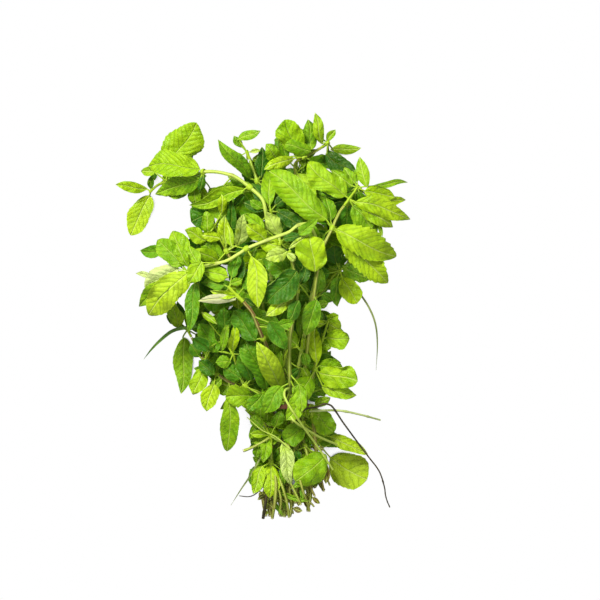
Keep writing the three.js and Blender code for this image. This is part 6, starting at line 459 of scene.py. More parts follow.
        [0,0,29.55,45.56,16.28,22.89,49.91,17.0,0.45,67.05,17.42,17.4,1.82,-0.007,1.26,2.75,0,0],
        [3,0,24.45,-49.31,5.75,30.28,-49.79,5.73,60.5,-40.87,0.9,18.29,1.61,0.068,0.39,2.23,0,0],
        [0,0,30.01,33.65,14.94,38.44,31.99,15.52,57.9,29.12,17.19,9.98,0.4,-0.29,-0.72,2.81,0,0],
        [1,0,23.77,100.6,24.13,28.56,104.5,26.19,32.71,118.87,24.67,5.37,0.58,0.283,-0.08,2.95,0,0],
        [1,0,24.95,-76.83,1.86,23.71,-81.39,1.4,8.04,-94.75,0.9,7.01,1.79,-0.014,0.12,3.01,0,0],
        [0,0,26.06,-29.94,10.45,24.35,-35.07,11.37,1.22,-50.37,0.9,17.85,1.47,0.313,-0.72,2.63,0,0],
        [0,0,28.24,-6.19,12.75,14.82,-0.35,7.47,-9.58,0.43,6.97,16.05,1.69,0.015,0.01,3.0,0,0],
        [2,0,27.45,-14.14,12.42,31.57,-15.6,11.92,45.0,-29.24,12.13,13.72,1.5,0.086,-0.37,3.11,0,0],
        [0,0,30.14,25.69,14.15,40.56,21.77,9.12,64.08,29.06,7.97,13.52,1.6,-0.007,-0.2,3.14,0,0],
        [0,0,30.11,29.67,14.52,31.2,24.07,10.34,29.95,-5.09,4.28,17.86,1.72,-0.352,-0.94,2.2,0,0],
        [1,0,23.53,104.35,25.52,17.7,108.99,28.47,13.46,132.47,27.03,7.92,1.04,0.175,0.03,2.16,0,0],
        [2,0,29.9,13.73,13.24,41.58,4.16,18.35,51.79,-12.53,17.58,12.27,1.57,0.095,-0.5,2.25,0,0],
        [2,0,23.53,104.35,25.52,24.19,100.42,27.93,33.04,78.15,28.0,18.08,1.85,0.202,-1.17,3.39,0,0],
        [3,0,23.77,100.6,24.13,25.97,107.3,19.26,38.52,117.78,19.61,7.38,0.6,0.093,-0.2,3.26,0,0],
        [1,0,28.34,65.39,18.61,40.09,60.1,19.53,70.3,61.96,23.37,9.34,2.28,-0.149,-0.68,3.1,0,0],
        [2,0,25.78,89.04,21.69,39.37,90.93,21.66,71.07,87.45,16.45,20.01,0.2,-0.039,-1.19,1.89,0,0],
        [3,0,29.73,41.6,15.82,42.7,38.81,16.93,60.97,41.05,17.54,9.95,0.29,-0.008,-0.0,1.66,0,0],
        [2,0,25.21,92.94,22.37,12.5,100.47,23.05,-6.77,111.34,24.63,15.56,0.31,-0.085,-0.59,3.2,0,0],
        [3,0,24.45,96.78,23.21,24.45,110.53,13.55,36.67,130.74,12.44,13.51,-0.36,-0.145,0.64,2.91,0,0],
        [1,0,23.53,104.35,25.52,16.23,111.14,18.78,8.92,123.35,18.95,5.95,0.73,0.273,0.44,2.55,0,0],
        [0,0,26.8,81.2,20.51,23.96,79.99,20.8,-3.57,69.57,21.72,15.93,2.54,-0.165,0.22,1.9,0,0],
        [2,0,26.8,81.2,20.51,27.41,91.05,14.57,40.68,111.33,14.56,18.84,-0.3,-0.215,-0.35,3.33,0,0],
        [2,0,28.04,69.35,19.06,35.34,73.14,14.61,66.86,70.13,13.8,22.75,0.16,-0.138,0.07,1.59,0,0],
        [2,0,27.26,77.26,19.99,26.91,83.92,16.22,16.51,104.53,3.16,18.58,0.48,0.22,-1.31,2.05,0,0],
        [3,0,29.12,53.5,17.22,29.93,57.77,20.77,37.21,77.82,24.84,10.64,1.13,0.248,-0.16,2.3,0,0],
        [0,0,29.55,45.56,16.28,41.42,51.56,24.94,63.31,56.81,25.81,13.81,1.74,0.152,0.17,2.39,0,0],
        [2,0,30.15,21.71,13.78,31.57,30.81,7.05,38.39,52.74,6.06,17.38,0.93,0.306,-0.26,3.05,0,0],
        [0,0,30.14,25.69,14.15,40.65,26.21,6.68,58.4,38.1,0.9,11.02,0.59,-0.338,0.4,1.92,0,0],
    ],
    "sprig_13_stem": [
        [0,0,18.1,-85.18,12.11,13.79,-83.28,16.22,-7.41,-88.91,19.2,13.67,1.4,0.07,0.79,2.92,0,0],
        [0,0,19.0,-101.16,11.85,12.53,-113.32,18.56,15.27,-136.73,20.17,4.5,-0.31,0.305,0.92,2.2,0,0],
        [0,0,15.44,-49.43,24.52,7.13,-37.46,27.75,9.03,-17.48,37.41,12.12,1.18,0.326,-0.37,2.71,0,0],
        [3,0,18.36,-89.18,12.06,18.87,-82.61,15.83,21.42,-74.93,13.25,4.63,0.35,0.326,0.27,1.96,0,0],
    ],
    "sprig_07_stem": [
        [2,0,-9.37,-52.4,20.23,-15.48,-48.51,18.56,-37.22,-47.44,18.79,13.87,1.73,0.286,-0.64,3.17,0,0],
        [0,0,-16.47,-49.31,22.25,-15.82,-56.93,23.03,-5.75,-67.91,22.26,8.39,-0.18,-0.062,0.39,2.85,0,0],
        [2,0,-1.96,-57.44,12.29,-3.18,-54.81,11.78,-23.31,-45.35,12.76,17.98,0.53,-0.175,-0.33,2.45,0,0],
        [0,0,-44.81,-24.12,24.7,-41.86,-24.8,22.84,-29.11,-40.0,9.05,10.84,1.6,0.034,0.19,2.78,0,0],
        [2,0,7.64,-126.67,6.96,-1.84,-120.4,6.12,-6.17,-106.37,8.23,10.61,-0.18,-0.004,-0.15,1.63,0,0],
        [1,0,-9.37,-52.4,20.23,-15.01,-55.94,20.39,-29.55,-65.3,22.15,7.04,0.91,-0.062,0.05,2.57,0,0],
        [1,0,3.3,-82.91,8.08,2.13,-78.01,5.31,-10.19,-67.51,5.76,5.66,0.9,-0.158,0.12,2.79,0,0],
        [0,0,-23.75,-46.17,23.3,-29.23,-42.63,21.04,-40.87,-39.34,20.21,6.36,-0.07,0.467,-0.37,2.38,0,0],
        [3,0,-23.75,-46.17,23.3,-20.64,-55.5,25.14,-25.9,-68.02,24.18,8.78,-0.02,-0.028,0.66,3.23,0,0],
        [2,0,3.96,-90.88,7.81,-1.61,-100.58,4.8,-2.8,-109.33,4.75,6.5,-0.09,-0.117,-0.38,3.54,0,0],
        [2,0,4.78,-98.83,7.57,3.49,-95.54,9.83,-7.02,-86.21,16.57,9.94,0.55,-0.327,-0.14,1.58,0,0],
        [3,0,4.37,-94.86,7.69,5.31,-88.49,10.66,13.62,-81.0,3.17,5.83,0.28,0.426,0.24,2.58,0,0],
        [3,0,-16.47,-49.31,22.25,-11.67,-41.34,28.29,-8.16,-18.12,31.87,14.13,0.89,0.196,0.21,2.12,0,0],
    ],
    "sprig_01_stem": [
        [2,0,-46.02,99.18,42.75,-46.75,91.69,42.93,-46.48,78.35,41.68,9.23,1.05,0.191,-0.48,2.89,0,0],
        [0,0,14.4,-108.84,6.6,11.97,-107.92,5.45,-6.79,-99.23,16.9,11.86,1.32,0.336,0.39,2.43,0,0],
        [2,0,4.86,47.18,56.39,16.74,55.25,46.11,45.42,58.87,34.0,23.1,0.13,-0.029,-0.76,3.04,0,0],
        [0,0,10.45,-15.91,31.7,12.23,-11.53,30.96,8.04,1.94,29.84,8.93,0.65,-0.1,-0.32,1.64,0,0],
        [1,0,-47.32,98.73,38.99,-45.27,94.93,39.54,-38.67,76.1,39.48,7.78,0.94,-0.034,0.22,3.39,0,0],
        [1,0,-20.36,97.71,60.11,-26.44,91.33,54.95,-41.32,75.39,42.24,8.33,-0.18,-0.334,0.57,2.89,0,0],
        [0,0,-46.02,99.18,42.75,-37.14,89.76,33.18,-18.72,71.69,31.21,15.78,0.99,-0.317,-1.18,3.18,0,0],
        [3,0,-50.12,97.81,31.56,-58.4,90.45,31.82,-70.49,85.29,31.21,8.46,0.99,-0.007,-0.26,3.05,0,0],
        [3,0,-48.65,98.28,35.25,-46.01,87.9,32.93,-39.81,66.52,31.73,11.27,1.44,-0.101,-0.84,1.65,0,0],
        [3,0,12.92,-128.79,6.63,9.14,-132.34,9.36,3.09,-140.27,9.46,2.6,0.13,0.032,-0.2,2.85,0,0],
        [0,0,-46.02,99.18,42.75,-51.13,90.09,37.47,-65.4,84.17,36.71,8.78,-0.04,0.102,-0.61,2.47,0,0],
    ],
    "sprig_09_stem": [
        [2,0,-12.45,13.57,36.91,-14.91,14.13,36.52,-42.66,13.53,37.71,21.46,0.96,0.023,1.55,1.89,0,0],
        [2,0,-11.51,9.86,35.75,-22.21,9.73,33.53,-36.93,5.12,33.17,10.47,0.71,0.194,-0.47,3.4,0,0],
        [1,0,-1.92,-34.68,20.94,-15.51,-37.04,12.02,-37.12,-45.1,0.9,9.24,0.61,0.126,0.36,2.59,0,0],
        [2,0,0.83,-47.92,12.42,-5.05,-55.67,7.17,-9.46,-64.28,7.46,6.28,-0.02,0.08,0.13,1.73,0,0],
        [0,0,-16.79,28.18,41.78,-30.12,25.18,36.49,-51.28,35.18,36.16,13.68,0.27,-0.237,0.06,2.95,0,0],
        [0,0,-8.9,-1.4,32.53,-16.28,5.39,39.48,-18.48,27.88,47.22,13.7,0.47,-0.016,0.42,3.58,0,0],
        [0,0,1.74,-128.79,3.17,-4.53,-121.03,2.94,-8.13,-108.99,1.8,7.3,1.16,-0.111,-0.15,1.68,0,0],
        [0,0,-6.47,-12.7,29.32,-1.36,-17.68,33.0,18.49,-19.23,32.46,11.4,1.48,0.412,-0.62,2.69,0,0],
        [0,0,-9.74,2.37,33.58,-18.51,0.5,36.57,-34.36,0.1,38.36,9.02,0.87,0.332,0.45,1.83,0,0],
        [1,0,4.29,-80.9,2.55,-0.73,-88.41,3.08,-9.14,-92.34,3.11,3.05,0.85,-0.135,0.06,2.6,0,0],
        [3,0,-13.44,17.26,38.1,-20.89,15.51,32.65,-49.56,12.24,15.07,15.91,0.9,-0.109,-0.63,1.55,0,0],
    ],
    "sprig_16_stem": [
        [0,0,32.37,-104.72,21.22,27.36,-111.22,21.36,27.92,-131.42,24.89,4.0,0.24,0.003,0.32,1.9,0,0],
        [1,0,33.14,-120.58,19.44,36.11,-119.13,19.31,44.34,-112.3,18.66,3.88,0.17,0.003,-0.03,2.1,0,0],
    ],
    "sprig_08_stem": [
        [0,0,19.82,-76.19,5.14,13.18,-66.56,9.48,13.5,-49.84,16.71,10.59,-0.21,0.101,0.4,2.04,0,0],
        [3,0,18.6,-50.73,14.46,28.2,-55.88,11.77,40.6,-58.74,6.59,6.76,-0.14,0.358,-0.15,1.6,0,0],
        [3,0,18.22,-132.06,6.89,21.63,-129.96,7.06,32.12,-120.39,6.64,3.6,-0.02,-0.098,0.13,1.64,0,0],
        [2,0,13.21,41.84,59.52,8.94,42.74,59.16,-13.51,36.43,43.82,16.52,2.1,-0.331,0.05,3.16,0,0],
        [3,0,16.49,-28.14,30.87,28.75,-35.71,41.36,33.0,-45.57,34.64,5.89,-0.11,-0.077,-0.03,3.26,0,0],
    ],
    "sprig_11_stem": [
        [2,0,31.8,-15.76,21.85,31.73,-19.81,23.1,16.56,-42.55,14.7,22.33,-0.3,-0.224,1.61,2.47,0,0],
        [0,0,32.29,-4.49,25.92,37.81,2.55,21.01,37.39,31.74,19.01,14.39,-0.28,-0.271,-0.43,1.8,0,0],
        [1,0,29.92,-84.5,4.8,28.44,-81.68,7.15,27.34,-70.49,5.89,3.7,0.09,-0.226,0.13,3.08,0,0],
        [2,0,32.28,-0.66,27.08,38.82,-1.99,26.33,55.11,-10.52,23.97,14.09,0.92,-0.092,-0.89,3.39,0,0],
        [0,0,30.83,-92.43,5.23,33.24,-90.25,5.14,45.78,-83.03,6.49,6.94,0.04,0.389,-0.01,3.22,0,0],
        [0,0,29.96,-41.8,11.73,26.52,-47.59,10.15,6.8,-55.12,1.72,13.56,-0.02,-0.077,-0.12,2.8,0,0],
        [0,0,32.17,-8.27,24.63,36.21,-10.49,23.79,58.18,-11.49,18.24,12.03,1.27,-0.004,0.87,1.8,0,0],
    ],
    "sprig_15_stem": [
        [3,0,23.76,-80.52,16.67,18.73,-78.23,18.37,-0.81,-71.01,19.48,10.17,1.09,0.236,-0.35,2.97,0,0],
    ],
    "sprig_02_stem": [
        [0,0,26.0,-34.34,31.71,30.58,-32.83,30.39,55.25,-32.51,29.71,13.93,0.12,0.036,0.92,1.94,0,0],
        [0,0,23.8,-86.37,10.18,28.6,-96.09,16.33,45.61,-111.99,6.2,15.14,2.01,-0.439,0.83,3.03,0,0],
        [0,0,24.58,-43.69,24.34,24.15,-50.15,24.06,20.18,-61.64,16.94,6.99,0.37,0.35,-0.44,1.88,0,0],
        [1,0,4.53,53.13,75.7,-3.32,48.18,69.52,-8.51,38.8,67.1,4.05,0.72,-0.421,-0.28,2.63,0,0],
        [3,0,34.3,11.51,54.49,26.12,23.3,54.75,0.02,40.6,61.09,16.04,2.89,-0.078,-0.23,2.11,0,0],
        [0,0,38.64,48.44,68.39,39.41,51.37,66.9,31.22,65.55,68.92,8.88,0.4,-0.447,0.68,2.3,0,1],
        [0,0,25.94,63.16,73.43,25.83,56.51,77.5,38.65,67.47,78.0,9.53,0.19,-0.127,-0.41,2.3,0,1],
        [0,0,-31.04,36.89,69.61,-41.33,38.25,71.42,-50.99,23.0,71.9,11.53,0.76,0.09,0.74,3.3,0,1],
    ],
    "sprig_12_stem": [
        [0,0,34.44,-100.89,9.23,29.15,-95.01,7.69,18.84,-91.05,0.9,5.31,0.2,-0.088,0.05,1.76,0,0],
        [1,0,35.16,-104.81,9.49,37.79,-111.64,5.33,37.59,-121.9,3.31,3.6,0.55,-0.05,0.09,1.89,0,0],
        [0,0,35.93,-108.73,9.75,31.76,-106.86,9.25,17.68,-110.44,0.9,7.7,1.29,0.127,0.02,3.58,0,0],
        [0,0,31.76,-54.9,19.91,43.95,-49.49,19.13,62.37,-54.73,16.73,9.8,-0.14,0.024,-0.42,2.12,0,0],
        [1,0,31.12,-73.18,7.46,31.49,-83.69,13.63,33.59,-93.83,14.1,4.28,0.35,-0.056,-0.01,2.35,0,0],
        [3,0,33.1,-93.02,8.72,42.13,-87.93,11.67,47.19,-77.72,11.53,7.45,0.19,0.31,0.33,2.59,0,0],
    ],
    "sprig_03_stem": [
        [3,0,27.39,-69.93,11.3,28.66,-73.33,13.43,36.5,-78.52,10.77,4.26,0.89,0.309,0.08,2.11,0,0],
        [2,0,28.44,-49.96,23.83,30.15,-56.39,23.28,26.48,-67.06,15.89,7.57,0.19,-0.262,-0.1,1.65,0,0],
        [3,0,27.39,-69.93,11.3,30.08,-69.0,11.32,43.73,-74.88,10.45,9.01,0.25,0.109,-0.46,2.78,0,0],
        [2,0,27.94,-77.82,10.69,26.09,-75.57,13.1,20.07,-68.85,10.17,5.68,0.74,-0.19,0.17,3.27,0,0],
        [1,0,27.83,-55.99,18.63,34.6,-46.74,18.13,48.39,-24.29,22.21,10.26,1.54,-0.043,0.72,2.26,0,0],
        [2,0,39.82,37.69,67.86,36.95,31.15,72.36,33.23,55.59,76.43,23.03,2.45,-0.013,-0.68,3.7,0,1],
        [0,0,36.39,14.94,61.06,38.14,11.65,61.61,30.56,-13.12,60.03,13.21,2.2,-0.412,0.21,2.4,0,1],
    ],
    "sprig_06_stem": [
        [2,0,7.9,-54.75,22.32,4.9,-60.97,21.78,3.55,-73.32,22.29,8.07,0.12,0.009,-0.44,2.88,0,0],
        [0,0,7.21,-84.15,14.98,13.92,-77.8,14.26,16.57,-64.06,15.64,8.91,0.57,-0.097,0.12,2.2,0,0],
        [0,0,7.94,-52.09,25.31,7.84,-56.29,25.7,14.38,-69.57,22.1,8.82,-0.11,-0.01,-0.05,2.04,0,0],
        [1,0,7.33,-80.18,14.51,1.78,-72.39,14.48,-12.46,-65.91,15.19,5.02,0.65,-0.213,0.15,3.36,0,0],
        [0,0,-2.45,-6.77,67.82,10.31,-6.56,76.0,22.44,-3.62,76.28,8.0,0.25,0.04,0.2,1.95,0,0],
        [1,0,5.98,-108.11,14.74,9.16,-105.97,17.13,21.41,-93.14,21.87,6.16,1.23,0.227,0.31,2.73,0,0],
        [0,0,-5.36,0.11,70.66,5.12,-3.56,77.5,16.79,-22.85,78.0,13.05,-0.52,0.321,-1.13,1.2,0,1],
    ],
    "sprig_10_stem": [
        [2,0,22.15,-83.48,20.36,10.81,-92.75,16.58,5.37,-101.18,17.81,7.25,0.68,-0.209,0.1,1.77,0,0],
        [2,0,23.98,-115.33,18.29,31.78,-116.93,16.7,40.15,-115.21,12.08,6.39,0.54,0.123,0.15,3.37,0,0],
        [2,0,20.52,-9.58,62.89,13.24,-8.56,60.32,-17.75,-1.65,53.77,21.02,-0.42,-0.39,-1.05,2.21,0,0],
        [0,0,19.64,-46.38,49.01,14.28,-48.64,49.06,1.79,-67.52,48.31,13.6,2.16,0.074,0.28,2.3,0,1],
        [0,0,19.58,-43.51,51.71,28.61,-54.78,51.05,17.04,-72.27,52.88,12.34,1.53,0.043,0.2,3.1,0,1],
        [0,0,19.5,-40.06,53.72,26.03,-46.81,56.21,27.94,-66.08,57.19,11.64,-0.36,-0.015,-0.21,2.7,0,1],
        [0,0,23.3,5.35,67.91,25.89,11.15,73.8,18.15,-3.3,74.05,9.45,0.41,-0.384,-0.01,1.3,0,1],
    ],
    "sprig_14_stem": [
        [0,0,13.73,-124.78,10.78,8.09,-120.72,10.61,-8.81,-108.03,11.49,10.45,0.52,0.059,-0.64,2.24,0,0],
        [3,0,8.66,-73.11,9.89,3.09,-78.99,10.77,-7.67,-91.55,10.84,10.62,-0.14,0.295,-0.19,2.76,0,0],
    ],
    "sprig_17_stem": [
        [0,0,4.85,-114.83,18.89,8.51,-129.52,25.28,14.47,-140.93,24.63,2.6,0.53,-0.13,0.28,1.97,0,0],
        [0,0,3.61,-122.73,18.57,6.54,-124.7,20.05,18.43,-131.68,23.66,3.0,0.23,-0.188,0.1,6.0,0,0],
        [0,0,5.3,-110.96,19.78,8.23,-114.62,21.58,8.39,-132.71,28.05,3.6,1.54,0.291,0.47,1.7,0,0],
        [0,0,3.61,-122.73,18.57,11.93,-124.22,24.63,32.93,-129.44,32.21,3.4,-0.26,0.338,0.56,2.4,0,0],
    ],
    "sprig_18_stem": [
        [0,0,37.71,-94.5,17.22,47.82,-90.65,11.96,57.18,-88.51,11.21,6.16,0.07,0.038,-0.16,1.94,0,0],
        [3,0,37.93,-98.45,16.6,34.43,-111.9,25.42,19.99,-121.51,26.54,4.6,0.69,0.231,-0.07,2.31,0,0],
    ],
}
# piece: stem, centre
COLLARS = {
    "sprig_01_side_a": ("01", [-8.4,89.95,61.1], [-0.7688,0.6037,-0.2111], 1.45),
    "sprig_01_side_b": ("01", [-40.6,100.8,56.69], [-0.4966,-0.1016,-0.862], 1.45),
    "sprig_02_side_a": ("02", [-10.42,46.92,74.93], [-0.8763,-0.4733,-0.0893], 1.45),
    "sprig_03_side_a": ("03", [49.0,61.25,70.74], [0.4047,0.8726,-0.2735], 1.2),
    "sprig_04_side_a": ("04", [-3.5,94.85,44.16], [-0.2861,0.9571,-0.0456], 1.25),
    "sprig_05_side_a": ("05", [29.42,111.88,31.21], [0.9529,0.2516,-0.1691], 1.35),
    "sprig_06_side_c": ("06", [0.85,-14.94,62.58], [-0.2736,0.6175,0.7375], 1.5),
    "sprig_07_side_b": ("07", [-40.6,-31.85,26.72], [-0.5674,0.8062,-0.1674], 1.1),
    "sprig_07_side_c": ("07", [-32.24,-40.1,27.16], [-0.7556,0.6315,0.1742], 1.1),
    "sprig_08_side_a": ("08", [12.6,51.45,61.15], [-0.1798,0.9828,-0.0427], 1.3),
    "sprig_09_side_a": ("09", [-24.71,45.59,44.79], [-0.5034,0.8587,-0.0962], 1.3),
    "sprig_10_side_a": ("10", [24.5,17.85,66.02], [-0.0674,0.9623,-0.2636], 1.35),
    "sprig_12_side_c": ("12", [37.1,-36.75,36.45], [0.2709,0.9321,0.2406], 1.25),
    "sprig_14_side_a": ("14", [-11.9,-48.65,37.92], [-0.6876,0.7221,0.0759], 1.25),
    "sprig_16_side_a": ("16", [28.76,-75.26,17.41], [-0.1164,0.9434,0.3104], 1.2),
    "sprig_16_side_b": ("16", [30.01,-91.57,19.51], [-0.2914,0.8372,-0.4629], 1.2),
    "sprig_17_side_b": ("17", [6.28,-102.59,21.71], [0.0306,0.9885,0.1483], 1.15),
}
BLADES = {
    "grass_blade_right": (1.82, [[58.1,25.55,29.86],[61.64,23.05,32.28],[65.19,19.9,33.54],[68.45,16.17,33.27],[71.32,12.24,32.36],[73.95,8.23,31.09],[76.18,4.07,29.55],[78.05,-0.19,27.83],[79.44,-4.49,25.79],[80.33,-8.72,23.35],[80.84,-12.85,20.65],[81.1,-16.97,17.9],[81.21,-21.17,15.25],[81.13,-25.4,12.67],[80.94,-29.65,10.11],[80.7,-33.9,7.56],[80.5,-38.15,5.0]]),
    "grass_blade_left": (3.22, [[-46.2,-6.65,30.34],[-51.03,-7.41,30.62],[-55.82,-8.28,30.34],[-60.5,-9.2,29.28],[-64.49,-11.0,27.15],[-67.75,-13.36,24.38],[-70.78,-15.91,21.5],[-73.76,-18.61,18.71],[-76.59,-21.47,15.93],[-79.24,-24.41,13.05],[-81.65,-27.42,10.04],[-84.0,-30.45,7.0]]),
    "grass_blade_low": (1.68, [[0.0,-96.95,21.95],[-2.26,-101.13,21.06],[-4.51,-105.21,19.77],[-6.71,-109.14,18.0],[-8.89,-112.94,15.95],[-11.09,-116.46,13.48],[-13.27,-119.66,10.58],[-15.5,-123.0,7.9],[-17.79,-126.63,5.65],[-20.09,-130.34,3.58],[-22.4,-134.05,1.5]]),
}
DRY = {
    "dry_stem": (0.75, [[24.5,-71.05,34.56],[27.24,-67.98,37.41],[30.39,-65.0,39.83],[34.65,-63.95,38.04],[39.14,-63.26,36.35],[43.64,-61.26,37.18],[48.21,-62.31,36.72],[51.28,-65.94,35.19],[53.86,-69.86,33.43],[56.31,-73.69,31.34],[58.76,-77.12,28.65],[60.95,-80.15,25.32],[63.04,-83.08,21.84],[65.29,-86.19,18.63],[68.0,-89.88,16.72],[71.0,-93.87,16.8],[74.0,-97.84,17.33],[77.03,-101.77,16.68],[80.05,-105.58,15.51],[82.6,-109.55,13.86],[84.31,-113.69,11.63],[85.53,-117.84,9.1],[86.6,-122.08,6.68],[87.16,-126.65,4.71],[88.44,-131.13,2.91],[90.3,-135.45,1.2]]),
    "bent_stalk": (1.0, [[21.7,-70.35,28.08],[25.89,-68.56,29.9],[30.29,-66.97,31.28],[35.01,-66.3,30.38],[39.72,-66.17,29.09],[44.56,-66.01,29.69],[49.3,-65.92,30.95],[54.15,-66.11,31.54],[58.93,-66.77,30.77],[63.49,-67.72,29.22],[67.82,-68.76,27.18],[71.92,-69.82,24.71],[75.76,-70.92,21.87],[79.51,-72.04,18.91],[83.3,-73.15,16.0]]),
}


def srgb(r, g, b):
    def one(v):
        v /= 255.0
        return v / 12.92 if v <= 0.04045 else ((v + 0.055) / 1.055) ** 2.4
    return (one(r), one(g), one(b), 1.0)


# ------------------------------------------------------------------ meshes
class Build:
    """Collects vertices, faces and two point attributes for one piece."""

    def __init__(self):
        self.v, self.f, self.a, self.b, self.m = [], [], [], [], []
        self.n = 0
        self.which = 0

    def add(self, verts, faces, a, b):
        self.v.append(verts)
        self.a.append(a)
        self.b.append(b)
        self.f.extend([tuple(i + self.n for i in q) for q in faces])
        self.m.extend([self.which] * len(faces))
        self.n += len(verts)

    def object(self, name, material, sharp=55):
        v = np.concatenate(self.v).astype(float)
        v[:, 1] -= CENTRE_Y
        me = bpy.data.meshes.new(name)
        me.from_pydata((v / 1000.0).tolist(), [], self.f)
        a = me.attributes.new("leaf_place", "FLOAT_VECTOR", "POINT")
        a.data.foreach_set("vector", np.concatenate(self.a).astype(np.float32).ravel())
        b = me.attributes.new("leaf_kind", "FLOAT_COLOR", "POINT")
        b.data.foreach_set("color", np.concatenate(self.b).astype(np.float32).ravel())
        me.polygons.foreach_set("use_smooth", [True] * len(me.polygons))
        me.update()
        me.set_sharp_from_angle(angle=math.radians(sharp))
        for one in material if isinstance(material, list) else [material]:
            me.materials.append(one)
        me.polygons.foreach_set("material_index", self.m)
        ob = bpy.data.objects.new(name, me)
        bpy.context.scene.collection.objects.link(ob)
        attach(ob, "root")
        return ob


def smooth(x, lo, hi):
    x = np.clip((x - lo) / (hi - lo), 0, 1)
    return x * x * (3 - 2 * x)


def outline(t, kind):
    a, b = OUTLINES[kind]
    m = a / (a + b)
    t = np.clip(t, 1e-5, 1 - 1e-5)
    return (t / m) ** a * ((1 - t) / (1 - m)) ** b


def grid_faces(nr, nc, off=0, flip=False, wrap=False):
    out = []
    for i in range(nr - 1):
        for j in range(nc if wrap else nc - 1):
            k = (j + 1) % nc
            q = (off + i * nc + j, off + i * nc + k, off + (i + 1) * nc + k, off + (i + 1) * nc + j)
            out.append(q[::-1] if flip else q)
    return out


def tube(build, pts, radii, sides, section, a_fun, b_val, caps=True):
    """A tube through pts (n,3) with a radius each. section(angle) scales the radius."""
    pts = np.asarray(pts, float)
    n = len(pts)
    d = np.gradient(pts, axis=0)
    d /= np.linalg.norm(d, axis=1)[:, None] + 1e-12
    up = np.array([0, 0, 1.0])
    if abs(d[0] @ up) > 0.9:
        up = np.array([0, 1.0, 0])
    x = np.cross(d[0], up)
    x /= np.linalg.norm(x)
    th = np.arange(sides) * 2 * math.pi / sides
    sec = section(th)
    V, A, B = [], [], []
    along = 0.0
    for i in range(n):
        if i:
            along += np.linalg.norm(pts[i] - pts[i - 1])
            x = x - d[i] * (x @ d[i])
            x /= np.linalg.norm(x) + 1e-12
        y = np.cross(d[i], x)
        ring = pts[i] + radii[i] * sec[:, None] * (np.cos(th)[:, None] * x + np.sin(th)[:, None] * y)
        V.append(ring)
        A.append(np.stack([np.full(sides, along), th, np.full(sides, a_fun(i, along))], 1))
        B.append(np.tile(b_val(i, along), (sides, 1)))
    F = grid_faces(n, sides, wrap=True)
    V = np.concatenate(V)
    A = np.concatenate(A)
    B = np.concatenate(B)
    if caps:
        c0, c1 = len(V), len(V) + 1
        V = np.concatenate([V, [pts[0]], [pts[-1]]])
        A = np.concatenate([A, [[0, 0, a_fun(0, 0)]], [[along, 0, a_fun(n - 1, along)]]])
        e0 = np.array(b_val(0, 0.0), float)
        e1 = np.array(b_val(n - 1, along), float)
        B = np.concatenate([B, [e0], [e1]])
        for j in range(sides):
            k = (j + 1) % sides
            F.append((c0, k, j))
            F.append((c1, (n - 1) * sides + j, (n - 1) * sides + k))
    build.add(V, F, A, B)


def round_section(th):
    return np.ones_like(th)


def square_section(th):
    # a mint stem is square with rounded corners and a shallow groove on each face
    c = np.abs(np.cos(2 * th))
    return 0.80 + 0.17 * c**1.6 - 0.02 * (1 - c) ** 3


